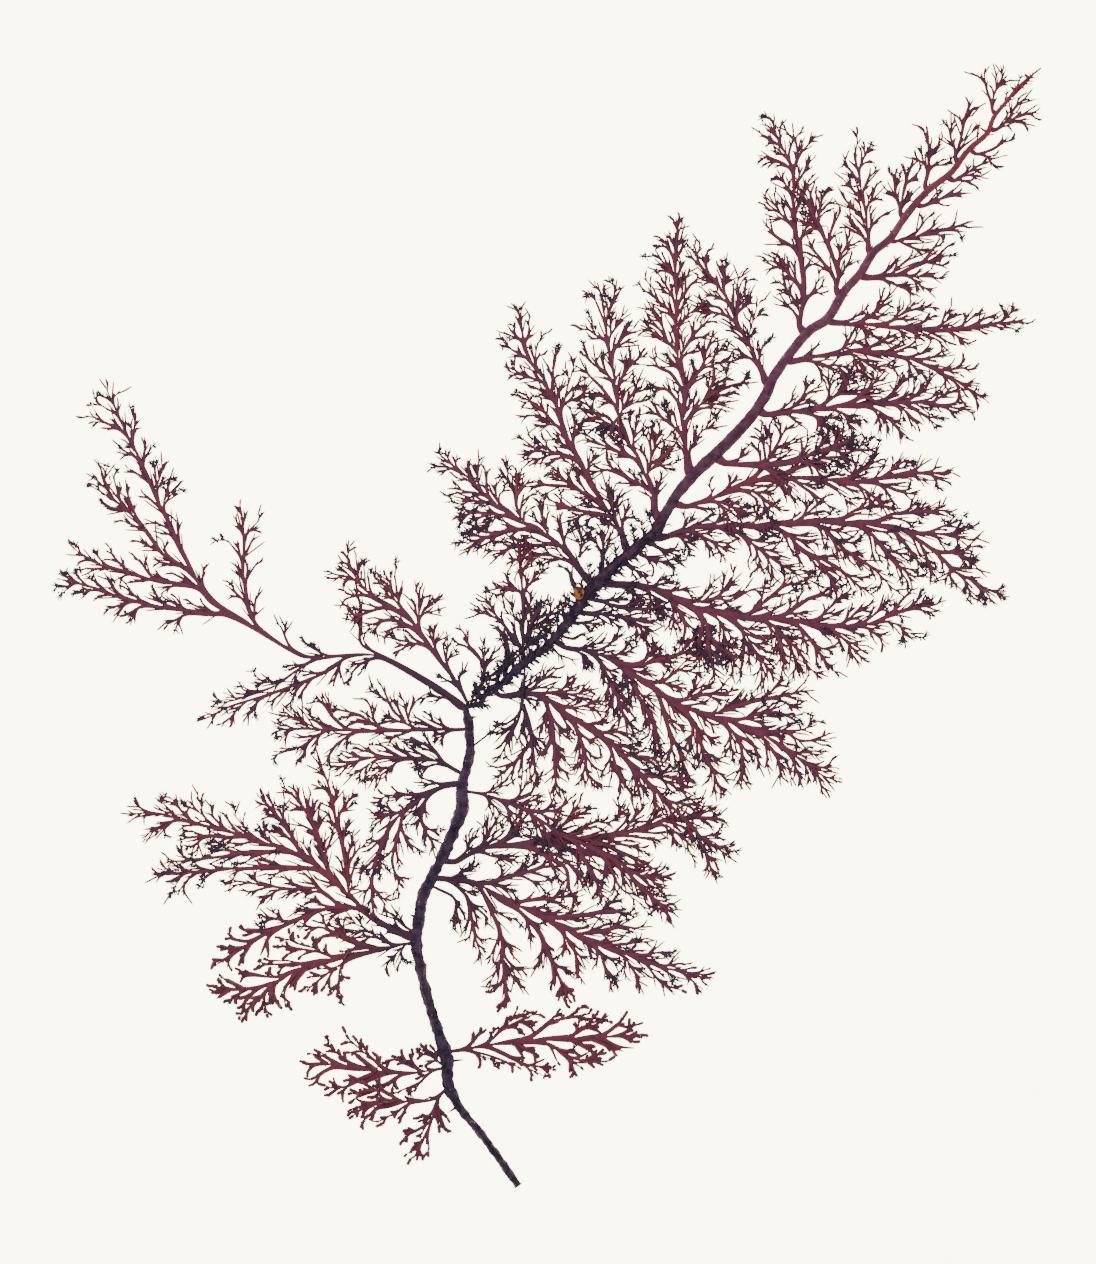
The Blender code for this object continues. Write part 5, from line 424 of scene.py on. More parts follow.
     [46, 200, 2, 206, -43, 246, -95, 275, -118, 316, -53, 304, -81, 324, -64, 324, -149, 324, -164, 334,
      -185, 341, -202, 349, -13, 127, -40, 133, -117, 157, -98, 172, -80, 133, -144, 155, -162, 192, -152,
      202, -170, 240, -156, 209, -186, 285, -188, 301, -218, 308]),
    ("frond_centre_up",
     [-50, -52, -49, -33, -51, 13, -51, 60, -53, 100, -57, 147, -61, 182],
     [8, 9, 9, 8, 7, 5, 3],
     [[-34, -2, -18, 9, 0, 21, 17, 43], [-26, 30, -21, 60], [-38, 88, -27, 100, -17, 114], [-42, 129, -28,
      140], [-63, 76, -78, 88, -87, 109], [-66, 22, -75, 30], [-65, -24, -80, -4, -91, 10, -107, 23, -145,
      33], [-87, 35, -90, 63, -86, 80]],
     [6, 60, -10, 52, -36, 122, -92, 93, -67, 106, -32, -16, -130, 43, -112, 82, -128, 67, -77, 60]),
    ("frond_centre_left",
     [-89, -91, -83, -73, -79, -50, -82, -32, -93, -8, -110, 7],
     [7, 8, 9, 8, 6, 3],
     [[-103, -42, -146, -32]],
     [-125, -51, -137, -16, -120, -68, -115, -12, -64, -45]),
    ("frond_small_up",
     [102, 108, 107, 120, 109, 140, 110, 170, 109, 202],
     [7, 6, 5, 5, 2.5],
     [], [93, 200, 83, 187, 90, 166, 123, 198, 129, 184, 140, 157]),
    ("twig_small_up",
     [61, 139, 65, 150, 67, 173, 69, 208],
     [5, 4.5, 4, 2],
     [], [54, 203, 52, 185, 87, 197, 88, 180, 80, 160]),
    ("twig_growth_left",
     [47, 92, 46, 106, 38, 118, 24, 123],
     [6, 6, 4, 2],
     [], [32, 101, 50, 123]),
    ("twig_axis_right_top",
     [206, 169, 220, 160, 238, 154, 264, 154],
     [6, 6, 5, 2],
     [], [248, 170, 230, 175, 254, 145]),
    ("twig_axis_right_high",
     [186, 147, 200, 140, 218, 135, 257, 122],
     [6, 6, 6, 2],
     [], [224, 120, 240, 142, 208, 123]),
    ("twig_axis_right_mid",
     [162, 126, 173, 117, 185, 108, 200, 97],
     [6, 6, 5, 3],
     [], [202, 112, 172, 102, 152, 108]),
    ("frond_axis_right_low",
     [99, 55, 113, 53, 133, 44, 163, 39, 190, 38, 218, 40],
     [7, 7, 7, 6, 6, 4],
     [[132, 57, 159, 65]],
     [194, 60, 177, 50, 164, 28, 208, 27]),
    ("frond_axis_right_under",
     [79, 29, 97, 28, 120, 27, 147, 22, 170, 17, 193, 13, 218, 12],
     [8, 8, 8, 8, 8, 9, 4],
     [[135, 8, 148, -4], [188, -6, 194, -30]],
     [166, 2, 118, 9, 134, 37]),
    ("twig_axis_right_dark",
     [63, 9, 80, 11, 94, 9, 110, 5],
     [6, 7, 6, 3],
     [], [88, -2, 96, 19, 74, -3]),
    ("twig_axis_right_foot",
     [53, -23, 64, -13, 76, -12, 94, 0],
     [4, 4.5, 3.5, 2],
     [], [52, -5, 83, -22]),
]


# How near stems may come to one another, and how far from a fork its stems may touch.
keepClear = {"height": 0.1, "gap": 0.1, "axisRoot": 3.0, "root": 2.2, "rootHalf": 2.0, "rootBeyond": 2.5,
             "fork": 3.0, "twin": 1.6, "twinMate": 1.8, "grandparent": 1.0}

# How branches leave their stem: angles in radians, pulls as parts of their length, widths and lengths.
branching = {"forkGap": 1.3, "forkTries": 14, "leave": 0.4, "arrive": 0.1, "startPull": 0.3, "endPull": 0.35,
             "width": 0.3, "widthGain": 0.045, "widest": 1.0, "bearerShare": 0.85, "tipWidth": 0.14,
             "leastHalf": 1.55, "least": 0.55, "levels": 5, "rise": 8.0, "leastBearer": 3.0,
             "depthCost": 0.4, "bearers": 3, "longFork": 1.1, "mayCross": 4, "leastTwigStem": 4.5,
             "twigLongest": 5.5,
             "twigShare": 0.5, "twigRise": 1.5}


# A fixed number from 0 to 1 for these keys.
def hashUnit(*keys):
    value = 17
    for key in keys:
        value = (value * 1000003 + int(key) * 7919 + 12345) % 2147483647
    return (value % 100003) / 100003.0


def unit(value):
    return min(1.0, max(0.0, value))


# A direction turned to the left by an angle.
def turned(ahead, turn):
    return (ahead[0] * math.cos(turn) - ahead[1] * math.sin(turn),
            ahead[0] * math.sin(turn) + ahead[1] * math.cos(turn))


# The spot that lies some way off in a direction.
def goneOn(spot, ahead, far):
    return (spot[0] + far * ahead[0], spot[1] + far * ahead[1])


# Points from their x and y in turn, in tenths of a millimetre.
def pairs(numbers):
    return [(numbers[n] / 10, numbers[n + 1] / 10) for n in range(0, len(numbers), 2)]


def lineLength(points):
    return sum(math.dist(points[i - 1], points[i]) for i in range(1, len(points)))


# The number of the point that is nearest to a spot.
def nearestPoint(points, spot):
    return min(range(len(points)), key=lambda i: math.dist(points[i], spot))


# A smooth curve through the points, as evenly spaced points.
def trace(points):
    dense = [points[0]]
    ends = [points[0]] + list(points) + [points[-1]]
    for i in range(1, len(ends) - 2):
        p0, p1, p2, p3 = ends[i - 1:i + 3]
        for k in range(1, 13):
            t = k / 12.0
            a = -0.5 * t ** 3 + t ** 2 - 0.5 * t
            b = 1.5 * t ** 3 - 2.5 * t ** 2 + 1.0
            c = -1.5 * t ** 3 + 2.0 * t ** 2 + 0.5 * t
            d = 0.5 * t ** 3 - 0.5 * t ** 2
            dense.append(tuple(a * p0[n] + b * p1[n] + c * p2[n] + d * p3[n] for n in (0, 1)))
    sums = [0.0]
    for i in range(1, len(dense)):
        sums.append(sums[-1] + math.dist(dense[i - 1], dense[i]))
    count = max(3, int(round(sums[-1] / plant["step"])))
    out = []
    k = 0
    for i in range(count + 1):
        s = sums[-1] * i / count
        while k < len(sums) - 2 and sums[k + 1] < s:
            k += 1
        f = (s - sums[k]) / max(sums[k + 1] - sums[k], 1e-9)
        out.append(tuple(dense[k][n] + f * (dense[k + 1][n] - dense[k][n]) for n in (0, 1)))
    return out


# One stem, from its root to its tip, with its half widths and its height at every point.
class Stem:
    def __init__(self, points, widths, parent, root, level):
        self.points = points
        self.parent = parent
        self.root = root
        self.level = level
        self.children = []
        self.length = lineLength(points)
        self.step = self.length / (len(points) - 1)
        self.half = []
        for i in range(len(points)):
            at = i / (len(points) - 1) * (len(widths) - 1)
            k = min(int(at), len(widths) - 2)
            self.half.append(0.5 * (widths[k] + (at - k) * (widths[k + 1] - widths[k])))
        self.heights = [0.0] * len(points)
        self.tall = 0.5 * plant["blade"]
        self.depth = 0 if parent is None else parent.depth + 1
        self.side = 0
        self.fine = False
        self.age = 0.0
        self.red = 0.0
        self.far = 0.0 if parent is None else parent.far + root * parent.step

    def heading(self, i):
        a = self.points[max(i - 1, 0)]
        b = self.points[min(i + 1, len(self.points) - 1)]
        span = max(math.dist(a, b), 1e-9)
        return ((b[0] - a[0]) / span, (b[1] - a[1]) / span)

    def layerHeight(self):
        return 0.5 * plant["blade"] + self.level * plant["layer"]

    # Heights that run softly from the root's height to that of the stem's layer.
    def raiseTo(self, start, rise):
        for i in range(len(self.points)):
            t = min(1.0, i * self.step / rise)
            self.heights[i] = start + (self.layerHeight() - start) * (t * t * (3 - 2 * t))


# What lies where, so that stems keep clear of one another.
class Crowd:
    def __init__(self):
        self.cells = {}

    def add(self, stem, owner):
        for i, point in enumerate(stem.points):
            key = (math.floor(point[0]), math.floor(point[1]))
            self.cells.setdefault(key, []).append((point, stem.heights[i], stem.half[i], stem, i, owner))

    # Whether a stem may touch this one of its own frond here, because one forks from the other.
    def mayTouch(self, stem, s, mate, k):
        parent = stem.parent
        if mate is parent:
            atRoot = s < keepClear["root"] + keepClear["rootHalf"] * mate.half[stem.root]
            return (atRoot and abs(k - stem.root) * mate.step < s + keepClear["rootBeyond"]) \
                or (k >= stem.root and s < keepClear["fork"])
        if mate.parent is parent:
            return s < keepClear["twin"] and k * mate.step < keepClear["twinMate"]
        return mate.parent is stem or (parent is not None and mate is parent.parent
                                       and s < keepClear["grandparent"])

    # Whether a point of the stem comes too near to a point that is already there.
    def tooNear(self, stem, i, owner, there):
        other, z, half, mate, k, mateOwner = there
        gap = keepClear["gap"] if mateOwner == owner else plant["sideGap"]
        if math.dist(stem.points[i], other) >= half + stem.half[i] + gap:
            return False
        if abs(z - stem.heights[i]) > mate.tall + stem.tall + keepClear["height"]:
            return False
        s = i * stem.step
        if mateOwner < 0 and stem.parent is None and s < keepClear["axisRoot"]:
            return False
        return mateOwner != owner or not self.mayTouch(stem, s, mate, k)

    # How many points of the stem come too near to others.
    def clashes(self, stem, owner):
        count = 0
        for i, point in enumerate(stem.points):
            cx, cy = math.floor(point[0]), math.floor(point[1])
            near = [(gx, gy) for gx in (cx - 1, cx, cx + 1) for gy in (cy - 1, cy, cy + 1)]
            count += any(self.tooNear(stem, i, owner, there)
                         for cell in near for there in self.cells.get(cell, ()))
        return count


# Where a branch towards the goal springs from a stem, so that it leaves at the given angle.
def findRoot(stem, goal, lean):
    i = min(nearestPoint(stem.points, goal), len(stem.points) - 4)
    while i > 0:
        ahead = stem.heading(i)
        dx = goal[0] - stem.points[i][0]
        dy = goal[1] - stem.points[i][1]
        if abs(math.atan2(ahead[0] * dy - ahead[1] * dx, ahead[0] * dx + ahead[1] * dy)) <= lean:
            break
        i -= 1
    return i


def sideOf(stem, i, goal):
    ahead = stem.heading(i)
    dx = goal[0] - stem.points[i][0]
    dy = goal[1] - stem.points[i][1]
    return 1 if ahead[0] * dy - ahead[1] * dx > 0 else -1


# The nearest place to i, towards the root, that is clear of branches on the same side. A branch on the
# other side that is near draws it to its own root, so that the two leave as a pair.
def freeRoot(stem, i, side, gap):
    for attempt in range(branching["forkTries"]):
        free = True
        for mate in stem.children:
            apart = abs(mate.root - i) * stem.step
            if mate.side == side and apart < gap:
                free = False
            elif mate.side != side and 0.0 < apart < branching["forkGap"]:
                i = mate.root
        if free:
            return i if i > 0 else None
        i -= 1
        if i < 1:
            return None
    return None


# The curve of a branch that leaves a stem softly and runs through the goals.
def branchPoints(stem, i, goals, side):
    start = stem.points[i]
    if len(goals) > 1:
        return trace([start] + goals)
    tip = goals[0]
    span = math.dist(start, tip)
    chord = ((tip[0] - start[0]) / span, (tip[1] - start[1]) / span)
    out = turned(stem.heading(i), side * branching["leave"])
    end = turned(chord, -side * branching["arrive"])
    a = goneOn(start, out, branching["startPull"] * span)
    b = goneOn(tip, end, -branching["endPull"] * span)
    curve = []
    for k in range(7):
        t = k / 6.0
        u = 1 - t
        curve.append(tuple(u ** 3 * start[n] + 3 * u * u * t * a[n] + 3 * u * t * t * b[n] + t ** 3 * tip[n]
                           for n in (0, 1)))
    return trace(curve)


# Widths of a branch along its length, never more than the stem that bears it.
def branchWidths(length, bearer):
    root = min(branching["width"] + branching["widthGain"] * length, branching["widest"],
               branching["bearerShare"] * bearer)
    return [root, root * 0.95, root * 0.8, root * 0.6, branching["tipWidth"]]


def growBranch(stem, i, goals, side, level):
    points = branchPoints(stem, i, goals, side)
    bearer = max(2 * stem.half[i], branching["width"])
    made = Stem(points, branchWidths(lineLength(points), bearer), stem, i, level)
    made.side = side
    return made


def addChild(stem, made, stems, crowd, owner):
    stem.children.append(made)
    stems.append(made)
    crowd.add(made, owner)


# The shortest branch that still shows beyond the flank of its stem.
def leastLength(stem, i):
    return branching["leastHalf"] * stem.half[i] + branching["least"]


# The line of a frond, cut back at its root until both corners of its end clear the axis.
def clearOfAxis(points, half, axis):
    for k in range(len(points) - 3):
        a, b = points[k], points[k + 1]
        span = max(math.dist(a, b), 1e-9)
        nx, ny = -(b[1] - a[1]) / span * half, (b[0] - a[0]) / span * half
        corners = (a, (a[0] + nx, a[1] + ny), (a[0] - nx, a[1] - ny))
        if all(math.dist(corner, point) >= axis.half[i] + plant["rootGap"]
               for corner in corners for i, point in enumerate(axis.points)):
            return points[k:]
    return points[len(points) // 2:]


# The stem of a frond, in the lowest layer that is free for it.
def layStem(index, points, widths, crowd):
    tries = []
    for level in range(branching["levels"]):
        main = Stem(points, widths, None, 0, level)
        main.raiseTo(0.5 * plant["axisThickness"], min(branching["rise"], 0.5 * main.length))
        tries.append((crowd.clashes(main, index), level, main))
        if tries[-1][0] == 0:
            break
    return min(tries)[2]


# A branch through its goals, in the nearest layer that is free for it, with its number of clashes.
def layBranch(index, stem, i, goals, side, crowd):
    tries = []
    for change in (0, 1, -1, 2, 3):
        level = stem.level + change
        if level < 0 or level > branching["levels"]:
            continue
        made = growBranch(stem, i, goals, side, level)
        made.raiseTo(stem.heights[i], max(1.5, min(0.6 * made.length, 3.0 * abs(change) + 0.5)))
        tries.append((crowd.clashes(made, index), len(tries), made))
        if tries[-1][0] == 0:
            break
    best = min(tries)
    return best[2], best[0]


# All stems of one frond, laid in the layers where they are free. The long branches go first.
def growFrond(index, entry, crowd, axis):
    name, line, tenths, branches, tips = entry
    widths = [width / 10 for width in tenths]
    main = layStem(index, clearOfAxis(trace(pairs(line)), 0.5 * widths[0], axis), widths, crowd)
    crowd.add(main, index)
    stems = [main]
    for goals in [pairs(branch) for branch in branches] + [[tip] for tip in pairs(tips)]:
        lean = plant["forkAngle"] * (1.0 if len(goals) == 1 else branching["longFork"])
        options = []
        for stem in stems:
            if stem.depth > 1 or stem.length < branching["leastBearer"]:
                continue
            i = findRoot(stem, goals[0], lean)
            far = math.dist(stem.points[i], goals[0]) + branching["depthCost"] * stem.depth
            options.append((far, len(options), stem, i))
        for far, order, stem, i in sorted(options)[:branching["bearers"]]:
            side = sideOf(stem, i, goals[0])
            i = freeRoot(stem, i, side, branching["forkGap"])
            if i is None or math.dist(stem.points[i], goals[-1]) < leastLength(stem, i):
                continue
            made, clashes = layBranch(index, stem, i, goals, side, crowd)
            if clashes == 0 or (len(goals) > 1 and clashes < branching["mayCross"]):
                addChild(stem, made, stems, crowd, index)
                break
    return stems


# Branchlets placed by rule, left and right in turn, where there is room for them.
def growTwigs(index, stems, crowd, share, deepest):
    for number, stem in enumerate(list(stems)):
        if stem.depth > deepest or stem.length < branching["leastTwigStem"]:
            continue
        bare = stem.length / (1 + len(stem.children)) > plant["bareLength"]
        spacing = plant["bareGap"] if bare else plant["twigGap"]
        s = max(1.2, 0.2 * stem.length) if stem.depth else 2.0
        side = 1 if hashUnit(index, number, 1) > 0.5 else -1
        count = 0
        while s < stem.length - 0.9:
            jitter = hashUnit(index, number, count, 7)
            i = int(round(s / stem.step))
            length = min((share * (stem.length - s) + 0.5) * (0.75 + 0.5 * jitter), branching["twigLongest"])
            for attempt in range(3):
                if length < max(1.0, leastLength(stem, i)):
                    break
                spot = freeRoot(stem, i, side, branching["forkGap"])
                if spot is None or spot < 2:
                    break
                ahead = turned(stem.heading(spot), side * (plant["forkAngle"] * (0.85 + 0.3 * jitter)))
                made = growBranch(stem, spot, [goneOn(stem.points[spot], ahead, length)], side, stem.level)
                climb = made.layerHeight() - stem.heights[spot]
                made.heights = [stem.heights[spot] + climb * min(1.0, k * made.step / branching["twigRise"])
                                for k in range(len(made.points))]
                if crowd.clashes(made, index) == 0:
                    addChild(stem, made, stems, crowd, index)
                    break
                length *= 0.7
            side = -side
            count += 1
            s += spacing * (0.8 + 0.4 * hashUnit(index, number, count, 3))


# The widths given at the points of a line, spread over the finer points that trace it.
def widthsAlong(points, line, widths):
    marks = [nearestPoint(points, spot) for spot in line]
    out = []
    k = 0
    for i in range(len(points)):
        while k < len(marks) - 2 and i > marks[k + 1]:
            k += 1
        part = (i - marks[k]) / max(1, marks[k + 1] - marks[k])
        out.append(widths[k] + unit(part) * (widths[k + 1] - widths[k]))
    return out


# The surface of a frond: how far corners reach, as parts of a half width, and how stems end and rise.
surface = {"cellMargin": 1.6, "share": 0.96, "leastFit": 0.3, "reach": 2.3, "bluntReach": 4.5,
           "backReach": 2.5, "halfway": 0.55, "straight": 0.3, "leastSine": 0.1, "rootFlare": 1.25,
           "tipLonger": 0.7,
           "leastHeight": 0.55, "fullHeightAt": 0.5, "darkTip": 1.6, "darkMainTip": 3.0, "rootFree": 1.5}


# Which stems run near a spot, in square cells.
class Nearby:
    def __init__(self, nodes, edges):
        self.nodes = nodes
        self.cells = {}
        margin = surface["cellMargin"]
        for edge in edges:
            a, b = nodes[edge[0]]["at"], nodes[edge[1]]["at"]
            low = [math.floor(min(a[n], b[n]) - margin) for n in (0, 1)]
            high = [math.floor(max(a[n], b[n]) + margin) + 1 for n in (0, 1)]
            for cell in [(gx, gy) for gx in range(low[0], high[0]) for gy in range(low[1], high[1])]:
                self.cells.setdefault(cell, []).append(edge)

    # How much of a side corner fits before it meets the stem that runs beside it.
    def room(self, node, corner):
        fit = 1.0
        x, y = node["at"]
        for edge in self.cells.get((math.floor(x), math.floor(y)), ()):
            a, b = self.nodes[edge[0]], self.nodes[edge[1]]
            if a is node or b is node:
                continue
            ax, ay = a["at"][0] - x, a["at"][1] - y
            bx, by = b["at"][0] - x, b["at"][1] - y
            length = (bx - ax) ** 2 + (by - ay) ** 2
            t = unit(-(ax * (bx - ax) + ay * (by - ay)) / max(length, 1e-9))
            if abs(a["z"] + t * (b["z"] - a["z"]) - node["z"]) > plant["blade"]:
                continue
            cx, cy = ax + t * (bx - ax), ay + t * (by - ay)
            far = math.hypot(cx, cy)
            toward = (corner[0] * cx + corner[1] * cy) / max(far, 1e-6)
            half = edge[2] + t * (edge[3] - edge[2])
            share = surface["share"] * far * node["half"] / (node["half"] + half)
            if toward > share:
                fit = min(fit, max(surface["leastFit"], share / toward))
        return fit


# The points of a stem that its mesh keeps: forks, bends and ends.
def pickStations(stem, slack):
    last = len(stem.points) - 1
    forks = {child.root for child in stem.children}
    fixed = sorted({0, last} | forks)
    keep = set(fixed)
    if last > 8:
        keep.add(last - 3)

    def split(a, b):
        if b - a < 5:
            return
        pa, pb = stem.points[a], stem.points[b]
        span = max(math.dist(pa, pb), 1e-9)
        worst, where = 0.0, None
        for k in range(a + 2, b - 1):
            p = stem.points[k]
            off = abs((pb[0] - pa[0]) * (p[1] - pa[1]) - (pb[1] - pa[1]) * (p[0] - pa[0])) / span
            t = (k - a) / (b - a)
            for values, weight in ((stem.heights, 0.5), (stem.half, 1.2)):
                off = max(off, weight * abs(values[k] - values[a] - t * (values[b] - values[a])))
            if off > worst:
                worst, where = off, k
        if worst > slack and where is not None:
            keep.add(where)
            split(a, where)
            split(where, b)

    for a, b in zip(fixed, fixed[1:]):
        split(a, b)
    if stem.parent is None:
        return sorted(keep)
    free = surface["rootFree"] * stem.parent.half[stem.root] + 0.15
    return [k for k in sorted(keep) if k in (0, last) or k * stem.step > free or k in forks]


# The forks, bends and ends of all stems as nodes, and the stretches between them as edges.
def frondGraph(stems, foot, slack, grow):
    nodes = [dict(spot, arms=[], tip=False, half=spot["half"] * grow) for spot in foot]
    edges = [(n, n + 1, nodes[n]["half"], nodes[n + 1]["half"]) for n in range(len(foot) - 1)]
    ids = {}
    for stem in stems:
        stations = pickStations(stem, slack)
        previous = len(foot) - 1 if foot and stem.parent is None else None
        last = len(stem.points) - 1
        endSpan = (last - stations[-2]) * stem.step
        for k in stations:
            if k == 0 and stem.parent is not None:
                node = ids[(id(stem.parent), stem.root)]
            else:
                node = len(nodes)
                ids[(id(stem), k)] = node
                spot = stem.points[k]
                if k == last:
                    spot = goneOn(spot, stem.heading(last), min(1.0, surface["tipLonger"] * endSpan))
                nodes.append({"at": spot, "z": stem.heights[k], "arms": [], "tip": k == last,
                              "half": stem.half[k] * grow, "far": stem.far + k * stem.step,
                              "end": (last - k) * stem.step, "depth": stem.depth, "wide": stem.half[k],
                              "age": stem.age, "red": stem.red})
            if previous is not None:
                start = nodes[previous]["half"]
                if stem.parent is not None:
                    start = min(start, stem.half[0] * grow)
                if k == stations[1]:
                    start *= surface["rootFlare"]
                edges.append((previous, node, start, nodes[node]["half"]))
            previous = node
    for n, (i, j, startHalf, endHalf) in enumerate(edges):
        a, b = nodes[i]["at"], nodes[j]["at"]
        turn = math.atan2(b[1] - a[1], b[0] - a[0])
        span = math.dist(a, b)
        nodes[i]["arms"].append([turn % (2 * math.pi), span, startHalf, n, 0])
        nodes[j]["arms"].append([(turn + math.pi) % (2 * math.pi), span, endHalf, n, 1])
    return nodes, edges


# The corner between two arms of a node, where their edges meet, drawn in where it would reach too far.
def cornerBetween(node, arm, mate, nearby):
    wider = max(arm[2], mate[2])
    sector = (mate[0] - arm[0]) % (2 * math.pi)
    if abs(sector - math.pi) < surface["straight"]:
        reach = 0.5 * (arm[2] + mate[2]) / math.sin(0.5 * sector)
        turn = arm[0] + 0.5 * sector
        px, py = reach * math.cos(turn), reach * math.sin(turn)
    else:
        sine = math.copysign(max(abs(math.sin(sector)), surface["leastSine"]), math.sin(sector))
        px = (mate[2] * math.cos(arm[0]) + arm[2] * math.cos(mate[0])) / sine
        py = (mate[2] * math.sin(arm[0]) + arm[2] * math.sin(mate[0])) / sine
    widest = surface["bluntReach" if isBlunt(*node["at"]) else "reach"] * wider
    fit = min(1.0, widest / max(math.hypot(px, py), 1e-6))
    for turn, span in (arm[:2], mate[:2]):
        ahead = px * math.cos(turn) + py * math.sin(turn)
        fit = min(fit, surface["halfway"] * span / max(ahead, 1e-6))
    if sector > math.pi:
        fit = min(fit, surface["backReach"] * wider / math.hypot(px, py))
    fit *= nearby.room(node, (px * fit, py * fit))
    return node["at"][0] + px * fit, node["at"][1] + py * fit


# The surface over all stems of a frond: a ridge above, a keel below and an edge on either side.
# Its widths are a little larger than the real ones, because the smoothing draws them in.
def frondSurface(stems, foot, slack, grow, tall):
    nodes, edges = frondGraph(stems, foot, slack, grow)
    nearby = Nearby(nodes, edges)
    verts = []
    tones = []
    faces = []
    ends = {}

    # Each point also gets its share of painted edge shade: none on ridge and keel, all at the side corners,
    # half at a tip.
    def put(x, y, z, node, paintedEdgeShade):
        verts.append((x, y, z))
        dark = max(0.0, 1.0 - node["end"] / surface["darkTip" if node["depth"] else "darkMainTip"])
        tones.append((nearRoot(node["far"], node["age"]), paintedEdgeShade, dark, node["red"]))
        return len(verts) - 1

    for node in nodes:
        x, y = node["at"]
        z = node["z"]
        arms = sorted(node["arms"])
        if node["tip"]:
            tip = put(x, y, z, node, 0.5)
            for arm in arms:
                ends[(arm[3], arm[4])] = (tip,) * 4
            continue
        low = surface["leastHeight"]
        high = tall * (low + (1.0 - low) * min(1.0, node["wide"] / surface["fullHeightAt"]))
        ridge = put(x, y, z + high, node, 0.0)
        keel = put(x, y, z - high, node, 0.0)
        if len(arms) == 1:
            turn, span, half = arms[0][:3]
            left = put(x - half * math.sin(turn), y + half * math.cos(turn), z, node, 1.0)
            right = put(x + half * math.sin(turn), y - half * math.cos(turn), z, node, 1.0)
            ends[(arms[0][3], arms[0][4])] = (ridge, keel, left, right)
            faces.append((ridge, left, keel, right))
            continue
        corners = [put(*cornerBetween(node, arm, arms[(n + 1) % len(arms)], nearby), z, node, 1.0)
                   for n, arm in enumerate(arms)]
        for n, arm in enumerate(arms):
            ends[(arm[3], arm[4])] = (ridge, keel, corners[n], corners[n - 1])
    for n in range(len(edges)):
        topI, lowI, leftI, rightI = ends[(n, 0)]
        topJ, lowJ, rightJ, leftJ = ends[(n, 1)]
        for quad in ((topI, topJ, leftJ, leftI), (topI, rightI, rightJ, topJ),
                     (lowI, leftI, leftJ, lowJ), (lowI, lowJ, rightJ, rightI)):
            ring = tuple(v for m, v in enumerate(quad) if v != quad[m - 1])
            if len(ring) > 2:
                faces.append(ring)
    return verts, faces, tones


# The fine branchlets, spines and tufts: spacing along a stem and near its tip, lengths, widths and angles.
fine = {"rounds": 2, "leastStem": 1.5, "deepest": 3, "gap": 1.6, "gapTip": 0.8, "gapReach": 9.0,
        "apart": 0.7, "angle": 0.42, "lengthShare": 0.40, "least": 1.1, "longest": 6.0, "width": 0.36,
        "widthGain": 0.06,
        "tipWidth": 0.22, "bow": 0.04, "crossing": 0.4, "mayCross": 5, "lift": 0.5,
        "grow": 1.68, "tall": 0.26, "slack": 0.09, "wider": 0.07, "web": 0.4, "webLength": 1.4,
        "spineGap": 2.1, "spineGapTip": 1.05, "spineGapReach": 8.0, "spineLeast": 1.0, "spineShare": 0.42,
        "spineLongest": 4.8, "spineAngle": 0.37, "spineWidth": 0.40, "spineShape": (0.78, 0.8),
        "spineCross": 0.35, "cell": 0.5, "fanShare": 0.35, "bareShare": 0.7, "tuftShare": 0.13,
        "tuftOnSpine": 0.18, "tuftSize": 0.62, "tuftWidth": 0.32, "tuftSpread": 3.6,
        "bluntWidth": 1.75, "bluntLength": 0.62, "bluntStem": 1.55, "bluntShape": (0.86, 0.95),
        "bluntAngle": 1.25, "bluntGap": 1.35, "fingers": 2.8,
        "dark": 16.0, "oldest": "frond_left_long", "oldestAge": 1.5, "oldestDark": 48.0}

# Where the branchlets are closer together or further apart than usual: centre, radius and change.
thickets = [
    (20, -5, 38, 0.4), (6, 2, 16, 0.35), (-10, -50, 14, 0.25), (30, 68, 12, 0.4), (-60, 14, 14, -0.4),
    (-36, -10, 18, -0.35), (-90, 36, 20, -0.35), (78, 90, 26, -0.3), (34, 8, 14, -0.25), (92, 30, 14, -0.3)]

# Where the main stems of fronds are nearly bare: centre and radius.
bareSpots = [(-61, 2, 8), (-49, -5, 8), (-38, -5, 8), (-27, -9, 8), (-18, -14, 5)]

# Tangled dark places: centre and radius.
tangles = [
    (-28, -22, 9), (-23, -25, 6), (15, -12, 6), (-1, -44, 9), (31, -2, 8), (60, 38, 8), (42, 22, 7),
    (61, 51, 7), (-33, -50, 4.5), (22, -25, 6), (-15, 20, 7), (51, 84, 6), (12, 40, 6), (27, 14, 8),
    (-66, -44, 6)]

# The part of the plant with broad, blunt branchlets and no tufts: below a height, and a corner at the left.
bluntPart = {"below": -72.0, "leftOf": -27.0, "leftBelow": -60.0, "corner": -100.0}


# How tangled a place is, from 0 to 1.
def crowding(x, y):
    most = max(1.0 - math.hypot(x - cx, y - cy) / radius for cx, cy, radius in tangles)
    return min(1.0, 1.6 * max(0.0, most))


def density(x, y):
    change = sum(amount * math.exp(-((x - cx) ** 2 + (y - cy) ** 2) / radius ** 2)
                 for cx, cy, radius, amount in thickets)
    return max(0.35, 0.80 + change + 0.25 * crowding(x, y))


def isBare(stem, k):
    x, y = stem.points[k]
    return stem.depth == 0 and any(math.hypot(x - cx, y - cy) < radius for cx, cy, radius in bareSpots)


def isBlunt(x, y):
    inCorner = x < bluntPart["leftOf"] and y < bluntPart["leftBelow"] and x + y < bluntPart["corner"]
    return y < bluntPart["below"] or inCorner


# How much of the branchlets ends in dark tufts hereabouts, from 0 to 1.
def tuftShare(x, y):
    patch = noise.noise(Vector((x * 0.055, y * 0.055, 4.2)))
    share = fine["tuftShare"] + 0.3 * patch + 0.3 * crowding(x, y)
    if isBlunt(x, y):
        share -= 0.5
    if y > 60.0:
        share -= 0.10
    return min(0.85, max(0.02, share))


